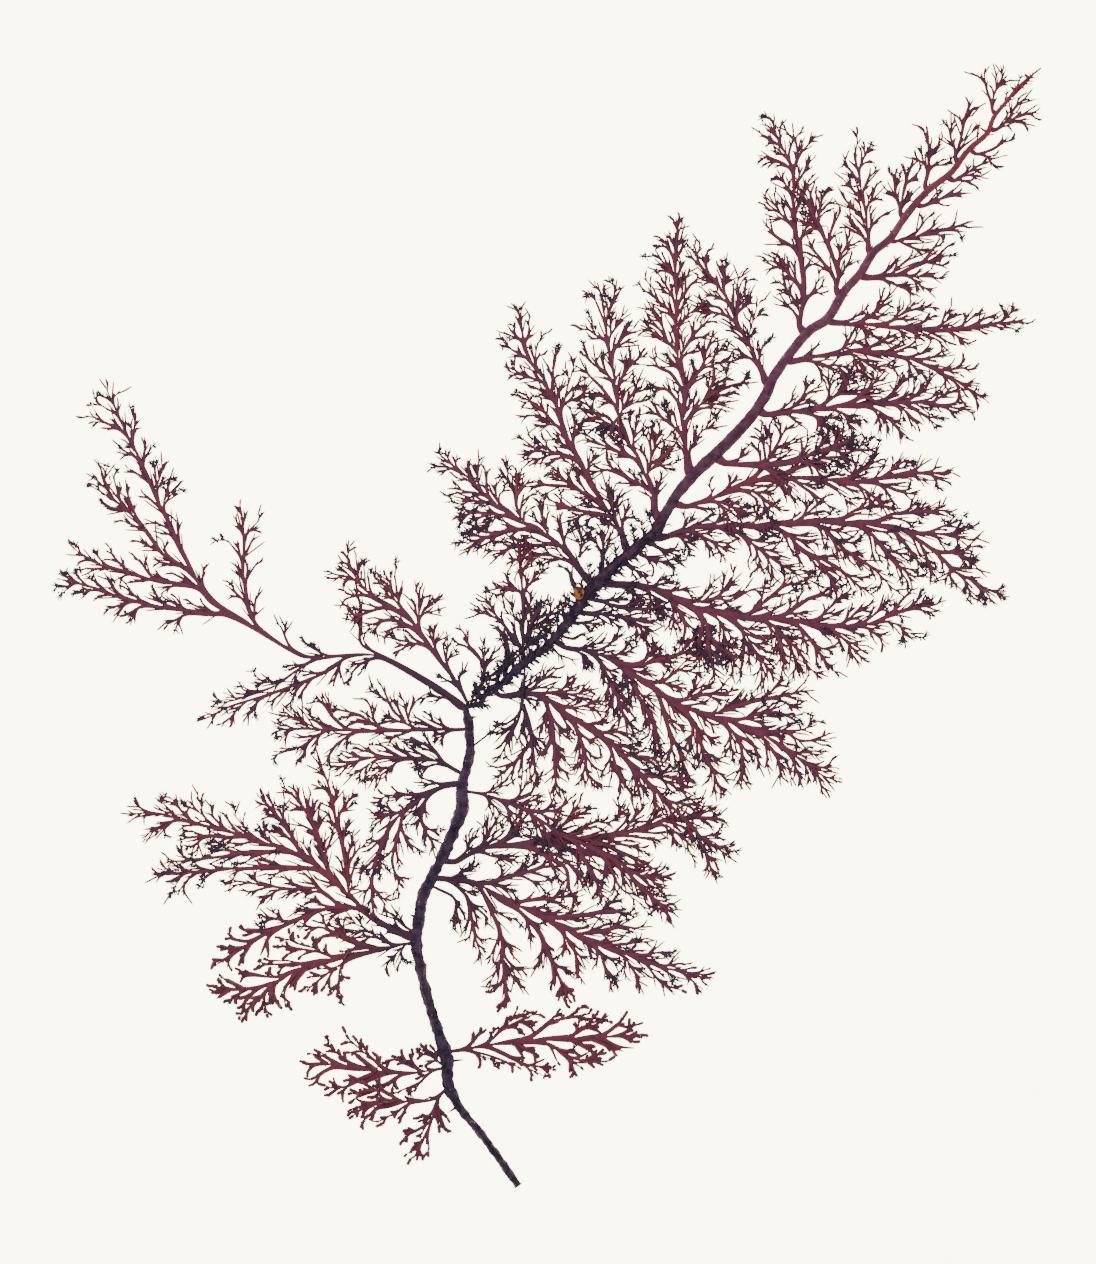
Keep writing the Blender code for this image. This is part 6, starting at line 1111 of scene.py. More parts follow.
# How old and dark a frond is at a distance from its root. The oldest one is dark for longer.
def nearRoot(far, age):
    reach = fine["dark"] if age <= 1.0 else fine["oldestDark"]
    return max(0.0, 1.0 - far / reach) * min(1.0, age)


# The step to the next branchlet, smaller as less of the stem is left.
def stepOn(kind, left):
    most, least = fine[kind], fine[kind + "Tip"]
    return least + (most - least) * min(1.0, left / fine[kind + "Reach"])


# The finest branchlets that grow together with their stems: closer together towards each tip.
def growFine(index, stems, crowd, rounds):
    for turnNumber in range(rounds):
        for number, stem in enumerate(list(stems)):
            if stem.length < fine["leastStem"] or stem.depth > fine["deepest"] or stem.fine:
                continue
            stem.fine = True
            s = 0.8 + 1.0 * hashUnit(index, number, turnNumber, 21)
            side = 1 if hashUnit(index, number, 22) > 0.5 else -1
            count = 0
            while s < stem.length - 0.5:
                jitter = hashUnit(index, number, count, 23)
                wild = hashUnit(index, number, count, 24)
                left = stem.length - s
                i = int(round(s / stem.step))
                blunt = isBlunt(*stem.points[i])
                change = 1.0 + 0.3 * jitter if blunt else 0.5 + jitter
                length = min(fine["longest"], (fine["lengthShare"] * left + fine["least"]) * change)
                spot = freeRoot(stem, i, side, fine["apart"])
                shows = spot is not None and spot > 1 and length > 1.1 * stem.half[spot] + 0.4
                if shows and not isBare(stem, spot):
                    made = fineStem(stem, spot, side, length, wild)
                    lift = fine["lift"] * (hashUnit(index, number, count, 25) - 0.4)
                    steps = len(made.points)
                    made.heights = [stem.heights[spot] + lift * k / steps for k in range(steps)]
                    clashes = crowd.clashes(made, index)
                    if clashes == 0 or (clashes < fine["mayCross"] and wild < fine["crossing"]):
                        addChild(stem, made, stems, crowd, index)
                side = -side
                count += 1
                spread = fine["bluntGap"] if blunt else 0.7 + 0.6 * jitter
                s += stepOn("gap", left) * spread / density(*stem.points[i])


def fineStem(stem, spot, side, length, wild):
    start = stem.points[spot]
    spread = fine["bluntAngle"] if isBlunt(*start) else 0.65 + 0.7 * wild
    ahead = turned(stem.heading(spot), side * fine["angle"] * spread)
    bow = fine["bow"] * length * side * (wild - 0.3)
    middle = goneOn(goneOn(start, ahead, 0.5 * length), (ahead[1], -ahead[0]), bow)
    tip = goneOn(start, ahead, length)
    root = min(fine["width"] + fine["widthGain"] * length, 2.2 * stem.half[spot] + 0.08)
    end = fine["tipWidth"]
    if isBlunt(*tip):
        root *= fine["bluntWidth"]
        end = 0.8 * root
    made = Stem(trace([start, middle, tip]), [root, root * 0.9, root * 0.85, end], stem, spot, stem.level)
    made.side = side
    return made


# Quads between rings of points that follow one another.
def ringFaces(base, rings, sides):
    faces = []
    for r in range(rings - 1):
        for m in range(sides):
            a, b = base + r * sides + m, base + r * sides + (m + 1) % sides
            faces.append((a, b, b + sides, a + sides))
    return faces


# A tuft: the size of its knobs and how far out they lie, and the length of its spines, in tuft sizes.
tuftForm = {"knobs": 4, "spines": 3, "middle": 0.6, "least": 0.3, "more": 0.25, "out": 0.7, "outMore": 0.5,
            "fan": 1.5, "fanMore": 1.2, "spine": 1.7, "spineMore": 1.9, "tone": (0.0, 0.3, 2.0, 0.0)}


# Loose bits of mesh that stand on the stems: fine branchlets, spines and dark tufts.
class Bits:
    def __init__(self):
        self.verts = []
        self.faces = []
        self.tones = []

    # Four points around a spot of a thin branchlet.
    def ring(self, x, y, z, ahead, half):
        dx, dy = ahead
        self.verts += [(x - dy * half, y + dx * half, z), (x, y, z + 0.8 * half),
                       (x + dy * half, y - dx * half, z), (x, y, z - 0.8 * half)]

    # A thin pointed spine, four-sided, a little bowed. Its shape says where along it the point begins, and
    # how wide it still is there.
    def spike(self, at, ahead, length, width, bow, rise, tone, shape=fine["spineShape"]):
        base = len(self.verts)
        dx, dy = ahead
        for t, share in ((0.0, 1.0), shape):
            off = bow * length * 4 * t * (1 - t)
            x, y = at[0] + dx * length * t - dy * off, at[1] + dy * length * t + dx * off
            self.ring(x, y, at[2] + rise * t, ahead, 0.5 * width * share)
        self.verts.append((at[0] + dx * length, at[1] + dy * length, at[2] + rise))
        self.tones += [tone] * 9
        for m in range(4):
            a, b = base + m, base + (m + 1) % 4
            self.faces += [(a, b, b + 4, a + 4), (a + 4, b + 4, base + 8)]
        self.faces.append((base + 3, base + 2, base + 1, base))

    # A spine with three smaller ones on it.
    def sprig(self, at, ahead, length, width, rise, tone, key):
        self.spike(at, ahead, length, width, 0.1 * (hashUnit(key, 31) - 0.5), rise, tone)
        for n in range(3):
            t = 0.3 + 0.22 * n
            out = turned(ahead, (0.75 if n % 2 else -0.75) * (0.7 + 0.5 * hashUnit(key, n, 32)))
            start = (at[0] + ahead[0] * length * t, at[1] + ahead[1] * length * t, at[2] + rise * t)
            reach = (0.9 + 0.5 * hashUnit(key, n, 33)) * (0.3 + 0.25 * length)
            self.spike(start, out, reach, 0.8 * width, 0.0, 0.1, tone)

    # A small branchlet along a curve, four-sided, with a flared root and a pointed tip.
    def branch(self, stem, tone):
        last = len(stem.points) - 1
        stations = sorted({0, min(1, last - 1), last // 2, int(0.8 * last)} | set(range(0, last - 2, 5)))
        base = len(self.verts)
        for k in stations:
            half = stem.half[k] * (1.5 if k == 0 else 1.0)
            self.ring(*stem.points[k], stem.heights[k], stem.heading(k), half)
            self.tones += [(tone[0], tone[1], tone[2] * (0.4 + 0.6 * k / last), tone[3])] * 4
        self.verts.append((*stem.points[last], stem.heights[last]))
        self.tones.append(tone)
        self.faces += ringFaces(base, len(stations), 4)
        top = base + 4 * (len(stations) - 1)
        for m in range(4):
            self.faces.append((top + m, top + (m + 1) % 4, top + 4))
        self.faces.append((base + 3, base + 2, base + 1, base))

    # A small irregular six-sided knob.
    def knob(self, at, size, key, tone):
        base = len(self.verts)
        spin = 6.28 * hashUnit(key, 61)
        for n in range(6):
            turn = spin + n * 2 * math.pi / 6
            far = size * (0.80 + 0.35 * hashUnit(key, n, 62))
            self.verts.append((at[0] + far * math.cos(turn), at[1] + far * math.sin(turn), at[2]))
        self.verts += [(at[0], at[1], at[2] + 0.6 * size), (at[0], at[1], at[2] - 0.6 * size)]
        self.tones += [tone] * 8
        for n in range(6):
            a, b = base + n, base + (n + 1) % 6
            self.faces += [(a, b, base + 6), (b, a, base + 7)]

    # A tuft: a few knobs close together, with short spines around them.
    def tuft(self, at, ahead, size, key):
        tone = tuftForm["tone"]
        self.knob(at, tuftForm["middle"] * size, key, tone)
        for n in range(tuftForm["knobs"]):
            wobble = tuftForm["fanMore"] * (hashUnit(key, n, 71) - 0.5)
            dx, dy = turned(ahead, tuftForm["fan"] * (n - 1.5) + wobble)
            far = size * (tuftForm["out"] + tuftForm["outMore"] * hashUnit(key, n, 77))
            wide = size * (tuftForm["least"] + tuftForm["more"] * hashUnit(key, n, 72))
            self.knob((at[0] + dx * far, at[1] + dy * far, at[2] + 0.06 * n), wide, key + 1 + n, tone)
        for n in range(tuftForm["spines"]):
            out = turned(ahead, (hashUnit(key, n, 73) - 0.5) * fine["tuftSpread"])
            reach = size * (tuftForm["spine"] + tuftForm["spineMore"] * hashUnit(key, n, 74))
            self.spike(at, out, reach, fine["tuftWidth"], 0.12 * (hashUnit(key, n, 75) - 0.5),
                       0.15 * hashUnit(key, n, 76), tone)


# The small square that a spot falls in. Most spines that would end in a taken square are left out.
def cellOf(spot):
    return (math.floor(spot[0] / fine["cell"]), math.floor(spot[1] / fine["cell"]))


# Spines along one stem, some of them in pairs and some with a tuft at the end.
def addSpines(bits, index, number, stem, taken):
    last = len(stem.points) - 1
    tip = stem.points[last]
    s = 0.5 + 0.5 * hashUnit(index, number, 53)
    side = 1 if hashUnit(index, number, 54) > 0.5 else -1
    count = 0
    while s < stem.length - 0.15:
        k = min(last, int(round(s / stem.step)))
        left = stem.length - s
        jitter = hashUnit(index, number, count, 55)
        blunt = isBlunt(*stem.points[k])
        if (blunt and left > fine["fingers"]) or (isBare(stem, k) and jitter < fine["bareShare"]):
            s += 0.6
            continue
        length = (fine["spineLeast"] + fine["spineShare"] * left) * (0.5 + 1.2 * jitter)
        length = min(fine["spineLongest"], length)
        if jitter > 0.84:
            length *= 1.2
        if blunt:
            length *= fine["bluntLength"]
        length = max(length, stem.half[k] + 0.8)
        width = fine["spineWidth"] * (0.8 + 0.3 * jitter) * (fine["bluntWidth"] if blunt else 1.0)
        shape = fine["bluntShape"] if blunt else fine["spineShape"]
        swing = side * fine["spineAngle"] * (0.5 + 0.9 * hashUnit(index, number, count, 56))
        fan = 2 if hashUnit(index, number, count, 49) < fine["fanShare"] else 1
        for ray in range(fan):
            ahead = turned(stem.heading(k), swing * (1.0 - 0.45 * ray))
            reach = length * (1.0 - 0.2 * ray)
            at = stem.points[k]
            end = goneOn(at, ahead, reach)
            if cellOf(end) in taken and hashUnit(index, number, count, 57 + 40 * ray) > fine["spineCross"]:
                continue
            taken.add(cellOf(end))
            dark = 0.32 + 0.35 * hashUnit(index, number, count, 58)
            rise = 0.3 * (hashUnit(index, number, count, 59) - 0.3)
            bits.spike((*at, stem.heights[k]), ahead, reach, width, 0.08 * (jitter - 0.5), rise,
                       (nearRoot(stem.far + s, stem.age), 0.5, dark, stem.red), shape)
            chance = fine["tuftOnSpine"] * tuftShare(*end)
            if reach > 0.9 and hashUnit(index, number, count, 60 + ray) < chance:
                bits.tuft((*end, stem.heights[k] + rise), ahead, fine["tuftSize"] * (0.6 + 0.5 * jitter),
                          index * 7000 + number * 31 + count)
        side = -side
        count += 1
        spread = (0.6 + 0.8 * hashUnit(index, number, count, 50)) * (1.0 - 0.35 * crowding(*tip))
        s += stepOn("spineGap", left) * spread / density(*tip)


# Spines along every stem and tufts at the ends of the small ones, where there is room.
def addBits(index, stems, coarse, taken):
    bits = Bits()
    for number, stem in enumerate(stems):
        tip = stem.points[-1]
        small = stem.depth > 0 and stem.length < 5.0
        dark = small and hashUnit(index, number, 51) < tuftShare(*tip)
        if number >= coarse:
            bits.branch(stem, (nearRoot(stem.far, stem.age), 0.5, 1.3 if dark else 0.5, stem.red))
        if dark:
            size = fine["tuftSize"] * (0.6 + 0.7 * hashUnit(index, number, 52))
            ahead = stem.heading(len(stem.points) - 1)
            at = (*goneOn(tip, ahead, -0.2), stem.heights[-1] + 0.08)
            bits.tuft(at, ahead, size, index * 5000 + number * 3)
            taken.add(cellOf(tip))
        addSpines(bits, index, number, stem, taken)
    return bits


def meshOf(name, verts, faces, tones):
    mesh = bpy.data.meshes.new(name)
    mesh.from_pydata([(x * mm, y * mm, max(z, 0.0) * mm) for x, y, z in verts], [], faces)
    if tones:
        layer = mesh.attributes.new("tone", "FLOAT_COLOR", "POINT")
        layer.data.foreach_set("color", [value for tone in tones for value in tone])
    return mesh


# One piece of the plant: a body that is smoothed by some levels, and the loose bits on it as they are.
def makePiece(name, node, body, bits, material, levels):
    mesh = meshOf(name, *body)
    if levels:
        rough = bpy.data.objects.new("rough", mesh)
        bpy.context.scene.collection.objects.link(rough)
        smooth = rough.modifiers.new("smooth", "SUBSURF")
        smooth.levels = levels
        bpy.context.view_layer.update()
        mesh = bpy.data.meshes.new_from_object(rough.evaluated_get(bpy.context.evaluated_depsgraph_get()))
        bpy.data.objects.remove(rough)
        mesh.name = name
    shape = bmesh.new()
    shape.from_mesh(mesh)
    if bits:
        more = meshOf(name + "_bits", bits.verts, bits.faces, bits.tones)
        shape.from_mesh(more)
        bpy.data.meshes.remove(more)
    bmesh.ops.recalc_face_normals(shape, faces=shape.faces)
    shape.to_mesh(mesh)
    shape.free()
    mesh.polygons.foreach_set("use_smooth", [True] * len(mesh.polygons))
    mesh.materials.clear()
    mesh.materials.append(material)
    piece = bpy.data.objects.new(name, mesh)
    bpy.context.scene.collection.objects.link(piece)
    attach(piece, "root")
    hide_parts(node)
    return piece


# Small helpers for the materials.
def link(tree, a, b):
    tree.links.new(a, b)


def node(tree, kind, **values):
    made = tree.nodes.new(kind)
    for key, value in values.items():
        setattr(made, key, value)
    return made


def mixColour(tree, factor, first, second):
    made = node(tree, "ShaderNodeMix", data_type="RGBA", blend_type="MIX")
    for socket, value in ((made.inputs[0], factor), (made.inputs[6], first), (made.inputs[7], second)):
        if isinstance(value, (int, float)):
            socket.default_value = value
        elif isinstance(value, tuple):
            socket.default_value = (*value, 1.0)
        else:
            link(tree, value, socket)
    return made.outputs[2]


def noiseOf(tree, scale, detail):
    where = node(tree, "ShaderNodeTexCoord")
    made = node(tree, "ShaderNodeTexNoise")
    made.inputs["Scale"].default_value = scale
    made.inputs["Detail"].default_value = detail
    link(tree, where.outputs["Object"], made.inputs["Vector"])
    return made.outputs["Fac"]


def ramp(tree, source, stops):
    made = node(tree, "ShaderNodeValToRGB")
    elements = made.color_ramp.elements
    while len(elements) < len(stops):
        elements.new(0.5)
    for element, (position, value) in zip(elements, stops):
        element.position = position
        element.color = (*value, 1.0) if isinstance(value, tuple) else (value, value, value, 1.0)
    link(tree, source, made.inputs[0])
    return made.outputs[0]


# Another colour over the first, as much as the stops make of the source.
def layOver(tree, colour, other, source, stops):
    return mixColour(tree, ramp(tree, source, stops), colour, other)


def startMaterial(name, look):
    material = bpy.data.materials.new(name)
    material.use_nodes = True
    shader = material.node_tree.nodes["Principled BSDF"]
    shader.inputs["Roughness"].default_value = look["roughness"]
    shader.inputs["Specular IOR Level"].default_value = look["specular"]
    return material, material.node_tree, shader


# The mesh's tone in parts: oldness, painted shade along the edges, darkness towards the tip, and redness as
# its alpha.
def toneParts(tree):
    tone = node(tree, "ShaderNodeAttribute", attribute_name="tone")
    parts = node(tree, "ShaderNodeSeparateColor")
    link(tree, tone.outputs["Color"], parts.inputs[0])
    return (*parts.outputs, tone.outputs["Alpha"])


def addBump(tree, shader, height, look):
    bump = node(tree, "ShaderNodeBump")
    bump.inputs["Distance"].default_value = look["bumpDepth"]
    bump.inputs["Strength"].default_value = look["bumpStrength"]
    link(tree, height, bump.inputs["Height"])
    link(tree, bump.outputs["Normal"], shader.inputs["Normal"])


# Every noise is given as its scale and detail, and every ramp as its stops.
# The darker edge colour is painted shade, laid along the edges of every stem.
frondLook = {"blade": (0.148, 0.036, 0.064), "red": (0.200, 0.033, 0.054), "dark": (0.050, 0.030, 0.058),
             "foot": (0.058, 0.024, 0.046), "paintedEdgeShade": (0.095, 0.026, 0.044), "roughness": 0.75,
             "specular": 0.12, "broadNoise": (55.0, 2.0), "broadStops": [(0.40, 0.0), (0.62, 0.45)],
             "mottleNoise": (900.0, 4.0), "mottleStops": [(0.35, 0.0), (0.65, 1.0)], "mottleShare": 0.55,
             "paintedEdgeShadeStops": [(0.35, 0.0), (0.95, 0.6)], "footStops": [(0.05, 0.0), (0.75, 1.0)],
             "tipStops": [(0.30, 0.0), (1.0, 1.0)],
             "bumpNoise": (1500.0, 3.0), "bumpDepth": 0.00012, "bumpStrength": 0.5}


# Dried blade: violet brown, redder in places, near black by the axis and at the crowded tips, with painted
# shade darkening the edges of every stem.
def frondMaterial():
    look = frondLook
    material, tree, shader = startMaterial("dried_blade", look)
    old, paintedEdgeShade, tip, redness = toneParts(tree)
    broad = ramp(tree, noiseOf(tree, *look["broadNoise"]), look["broadStops"])
    colour = mixColour(tree, broad, look["blade"], look["red"])
    colour = mixColour(tree, redness, colour, look["red"])
    mottle = ramp(tree, noiseOf(tree, *look["mottleNoise"]), look["mottleStops"])
    colour = mixColour(tree, mottle, colour, mixColour(tree, look["mottleShare"], colour, look["dark"]))
    # Painted shade: the flanks of every stem are darkened towards their edges.
    colour = layOver(tree, colour, look["paintedEdgeShade"], paintedEdgeShade, look["paintedEdgeShadeStops"])
    colour = layOver(tree, colour, look["foot"], old, look["footStops"])
    colour = layOver(tree, colour, look["dark"], tip, look["tipStops"])
    link(tree, colour, shader.inputs["Base Color"])
    addBump(tree, shader, noiseOf(tree, *look["bumpNoise"]), look)
    return material


axisLook = {"bark": (0.012, 0.007, 0.022), "violet": (0.068, 0.036, 0.072), "paintedGlint": (0.30, 0.27, 0.26),
            "young": (0.175, 0.056, 0.095), "youngDark": (0.105, 0.030, 0.058), "roughness": 0.75,
            "specular": 0.15, "patchNoise": (560.0, 5.0), "patchStops": [(0.38, 0.0), (0.66, 1.0)],
            "bloomNoise": (1700.0, 2.0), "bloomStops": [(0.52, 0.0), (0.66, 0.55)],
            "paintedGlintNoise": (1300.0, 2.0), "paintedGlintStops": [(0.70, 0.0), (0.76, 0.8)],
            "bumpNoise": (1500.0, 4.0), "bumpDepth": 0.0006, "bumpStrength": 1.0}


# The axis: near black violet and wrinkled in its old part, with a few pale spots of painted highlight, and
# brown further up.
def axisMaterial():
    look = axisLook
    material, tree, shader = startMaterial("old_axis", look)
    oldness, paintedEdgeShade, tip, redness = toneParts(tree)
    patches = ramp(tree, noiseOf(tree, *look["patchNoise"]), look["patchStops"])
    old = mixColour(tree, patches, look["bark"], look["violet"])
    young = mixColour(tree, patches, look["youngDark"], look["young"])
    colour = mixColour(tree, oldness, young, old)
    colour = layOver(tree, colour, look["violet"], noiseOf(tree, *look["bloomNoise"]), look["bloomStops"])
    colour = layOver(tree, colour, frondLook["dark"], tip, frondLook["tipStops"])
    colour = mixColour(tree, redness, colour, frondLook["red"])
    # Painted highlight: small pale grey specks laid over the dark axis as glints.
    colour = layOver(tree, colour, look["paintedGlint"], noiseOf(tree, *look["paintedGlintNoise"]), look["paintedGlintStops"])
    link(tree, colour, shader.inputs["Base Color"])
    addBump(tree, shader, noiseOf(tree, *look["bumpNoise"]), look)
    return material


crustLook = {"brown": (0.055, 0.024, 0.022), "orange": (0.29, 0.10, 0.032), "pale": (0.42, 0.19, 0.07),
             "noise": (1300.0, 4.0), "roughness": 0.85, "specular": 0.2, "bumpDepth": 0.0004,
             "bumpStrength": 0.9}


# The growth: brown in its hollows, orange on its lumps and paler on their tops.
def crustMaterial():
    material, tree, shader = startMaterial("orange_crust", crustLook)
    lumps = noiseOf(tree, *crustLook["noise"])
    stops = [(0.38, crustLook["brown"]), (0.52, crustLook["orange"]), (0.72, crustLook["pale"])]
    link(tree, ramp(tree, lumps, stops), shader.inputs["Base Color"])
    addBump(tree, shader, lumps, crustLook)
    return material


# The foot of a frond: how far from the axis it may begin, its widths, and where up the axis it flares most.
foot = {"farthest": 4.0, "parts": ((0.0, 0.8), (0.7, 1.1)), "flare": 0.35, "flareFrom": 8.0,
        "flareOver": 12.0}


# The axis beside a frond's root: the frond's foot runs out of it and is widest there.
def footOf(main, axis):
    start = main.points[0]
    i = nearestPoint(axis.points, start)
    if math.dist(axis.points[i], start) > foot["farthest"]:
        return []
    half = main.half[0]
    ahead = main.heading(1)
    upward = axis.heading(i)
    lean = ahead[0] * upward[0] + ahead[1] * upward[1]
    back = int(round(lean * (axis.half[i] + half) / axis.step))
    origin = axis.points[min(max(i - back, 0), len(axis.points) - 1)]
    flare = foot["flare"] * unit((start[1] - foot["flareFrom"]) / foot["flareOver"])
    out = []
    for part, wide in foot["parts"]:
        at = (origin[0] + part * (start[0] - origin[0]), origin[1] + part * (start[1] - origin[1]))
        out.append({"at": at, "z": 0.55 * plant["axisThickness"], "half": half * (wide + flare), "far": 0.0,
                    "end": 50.0, "depth": 0, "wide": half, "age": main.age, "red": main.red})
    return out


# Stems a little wider than in the solids, and widest where they leave the stem that bears them.
def widenStems(stems):
    for stem in stems:
        last = len(stem.points) - 1
        reach = min(fine["webLength"], 0.3 * stem.length)
        for k in range(last + 1):
            stem.half[k] += fine["wider"] * min(1.0, (last - k) * stem.step / 2.5)
            if stem.parent and isBlunt(*stem.points[k]):
                stem.half[k] *= fine["bluntStem"]
            s = k * stem.step
            if s < reach and stem.parent:
                stem.half[k] *= 1.0 + fine["web"] * (1.0 - s / reach)


# Old fronds are dark at the foot, and those near the bottom are the reddest.
def toneOf(root):
    x, y = root
    age = min(1.0, max(0.12, (26.0 - y) / 18.0))
    if x > -18.0 and y < -20.0:
        age *= 0.6
    if y < bluntPart["below"]:
        age *= 0.5
    return age, 0.15 + min(0.35, max(0.0, (-58.0 - y) / 14.0))


def buildFronds(axis, crowd):
    grown = [growFrond(index, entry, crowd, axis) for index, entry in enumerate(fronds)]
    for index, stems in enumerate(grown):
        growTwigs(index, stems, crowd, branching["twigShare"], 2)
    print("branches that the solids have too:", sum(len(stems) for stems in grown))
    coarse = [len(stems) for stems in grown]
    for index, stems in enumerate(grown):
        growFine(index, stems, crowd, fine["rounds"])
    print("with the fine branchlets:", sum(len(stems) for stems in grown))
    material = frondMaterial()
    taken = {cellOf(spot) for stems in grown for stem in stems for spot in stem.points}
    counts = []
    inBits = 0
    for index, stems in enumerate(grown):
        name = fronds[index][0]
        age, red = toneOf(stems[0].points[0])
        for stem in stems:
            stem.age = fine["oldestAge"] if name == fine["oldest"] else age
            stem.red = red
        thick = stems[:coarse[index]]
        widenStems(thick)
        bits = addBits(index, stems, coarse[index], taken)
        body = frondSurface(thick, footOf(stems[0], axis), fine["slack"], fine["grow"], fine["tall"])
        piece = makePiece(name + "_fine", name, body, bits, material, 1)
        counts.append(sum(len(polygon.vertices) - 2 for polygon in piece.data.polygons))
        inBits += sum(len(face) - 2 for face in bits.faces)
    print("frond pieces:", len(grown), "triangles:", sum(counts), "largest:", max(counts), "bits:", inBits)


# The axis is a wrinkled, knobby round stem, flat below, with bristles from one height to another.
axisFine = {"step": 0.3, "sides": 22, "knob": 0.16, "wrinkle": 0.10, "ridge": 0.09, "wider": 1.0,
            "youngWider": 1.2, "youngFrom": 14.0, "youngOver": 18.0, "slim": 0.84, "most": 1.12,
            "stubWidth": 0.42, "stubBend": 0.25,
            "bristles": (-16.0, 20.0), "bristleGap": 0.34, "bristleWidth": 0.40, "bristleLength": 2.8,
            "bristleTuft": 0.22, "tipBristlesFrom": 60.0, "tipWidth": 0.34, "tipLength": 1.4,
            "twigWidths": [0.34, 0.28, 0.16]}

# Small branchlets on the axis itself, and thin stems that cross it: line, width, branch tips, height.
axisTwigs = [
    ([(85.8, 98.2), (86, 99.7), (86.4, 101.7)], 0.5, [(85.2, 101.4)], 0.7),
    ([(-10.2, -10.2), (-9.5, -8.6), (-11.1, -7.7)], 0.45, [(-9, -7.4)], 0.9),
    ([(3.6, 4), (3.5, 5.4), (3.1, 7.9)], 0.6, [(2.6, 5.4), (4.4, 7), (2.7, 6.6)], 0.9),
    ([(2.2, 1.2), (2, 2.6), (1.8, 4.3)], 0.5, [(1.1, 2.6), (2.9, 4)], 0.9),
    ([(2.1, -5.3), (3.4, -5.8), (4.8, -6.4), (6, -8.2)], 0.5, [(3.4, -8), (6.7, -6.2), (2.2, -7.4)], 0.7),
    ([(-5.3, -16.2), (-4.9, -12.5), (-4.7, -9.5), (-4.7, -7), (-5, -5.2)], 0.85,
     [(-6.6, -11.2), (-3.2, -10.8)], 1.35),
    ([(-15.3, -13.6), (-12.5, -13.6), (-9.7, -13.4)], 0.5, [(-13, -15.2)], 1.2),
    ([(-15.8, -24.2), (-11, -20.5), (-6.7, -16.7)], 0.5, [(-11.6, -18.9), (-8, -19.4)], 0.7),
    ([(91, 104.6), (91.7, 106), (91.7, 108.4)], 0.4, [(92.5, 107.6), (91.1, 107.2)], 0.5),
    ([(92.3, 105.9), (93.8, 108.4), (94.9, 111.2)], 0.5, [(94, 110.8), (95.8, 110.6), (93.2, 109)], 0.5),
    ([(92.8, 106.2), (95.2, 108.6), (97.4, 110.9)], 0.6,
     [(95.6, 110.2), (96.4, 111), (97.6, 110.1), (97.3, 109.3), (96.4, 110.2), (96.9, 111.3), (96.8, 108.8),
      (94.4, 109)], 0.5),
    ([(5, 9.8), (5.6, 8.2), (6.7, 6.4)], 0.4, [(6.6, 8.6)], 2.7)]


def addAxisTwigs(bits):
    stems = []
    for line, width, tips, height in axisTwigs:
        main = Stem(trace(line), [width, width * 0.8, 0.18], None, 0, 0)
        twigs = [main]
        for tip in tips:
            root = findRoot(main, tip, 0.9)
            twigs.append(Stem(trace([main.points[root], tip]), axisFine["twigWidths"], main, root, 0))
        for twig in twigs:
            twig.heights = [height] * len(twig.points)
        stems += twigs
    for stem in stems:
        young = stem.points[0][1] > axisFine["tipBristlesFrom"]
        bits.branch(stem, (0.0, 0.3, 0.2, 0.8) if young else (1.0, 0.0, 0.6, 0.0))


# A bristle with smaller ones on it at a point of the axis, now and then with a tuft, and a short one that
# lies along the axis.
def addBristle(bits, axis, k, count, jitter):
    x, y = axis.points[k]
    side = 1 if hashUnit(count, 82) > 0.5 else -1
    lean = 0.45 + 0.75 * jitter
    ahead = turned(axis.heading(k), side * lean)
    reach = axis.half[k] / math.sin(lean) + 0.5 + axisFine["bristleLength"] * hashUnit(count, 83) ** 1.5
    rise = 0.5 * (hashUnit(count, 84) - 0.3)
    bits.sprig((x, y, 0.75 + 0.4 * hashUnit(count, 85)), ahead, reach, axisFine["bristleWidth"], rise,
               (1.0, 0.0, 0.9, 0.0), 800000 + count)
    if hashUnit(count, 86) < axisFine["bristleTuft"]:
        end = (x + ahead[0] * reach * 0.9, y + ahead[1] * reach * 0.9, 1.0)
        bits.tuft(end, ahead, 0.36 + 0.2 * jitter, 900000 + 7 * count)
    hx, hy = axis.heading(k)
    flat = turned((hx, hy), 0.9 * (hashUnit(count, 87) - 0.5))
    off = axis.half[k] * 1.3 * (hashUnit(count, 89) - 0.5)
    bits.spike((x - hy * off, y + hx * off, 1.05), flat, 1.1 + 1.2 * jitter, 0.42, 0.1 * (jitter - 0.5),
               0.35, (1.0, 0.0, 0.35, 0.0))


# What stands on the axis: dense bristles in its old middle, and sparse thin ones towards its tip.
def dressAxis(axis):
    bits = Bits()
    addAxisTwigs(bits)
    low, high = axisFine["bristles"]
    s = 0.0
    count = 0
    while int(s / axis.step) < len(axis.points) - 2:
        k = int(s / axis.step)
        y = axis.points[k][1]
        jitter = hashUnit(count, 81)
        if low < y < high:
            addBristle(bits, axis, k, count, jitter)
            s += axisFine["bristleGap"] * (0.6 + 0.8 * jitter)
        elif y > axisFine["tipBristlesFrom"] and s < axis.length - 9.0:
            side = 1 if count % 2 else -1
            ahead = turned(axis.heading(k), side * (0.4 + 0.3 * jitter))
            reach = axis.half[k] + 0.6 + axisFine["tipLength"] * hashUnit(count, 83)
            bits.spike((*axis.points[k], 0.5), ahead, reach, axisFine["tipWidth"], 0.0, 0.1,
                       (0.0, 0.3, 0.6, 0.3))
            s += 1.5 + 1.5 * jitter if axis.length - s > 14.0 else 0.7 + 0.4 * jitter
        else:
            s += 0.8
        count += 1
    return bits


# Dark and old below, brown further up, reddish at the top.
def axisTone(y):
    return (unit(1.0 - (y + 5.0) / 75.0), 0.0, 0.0, 0.8 * unit((y - 75.0) / 25.0))


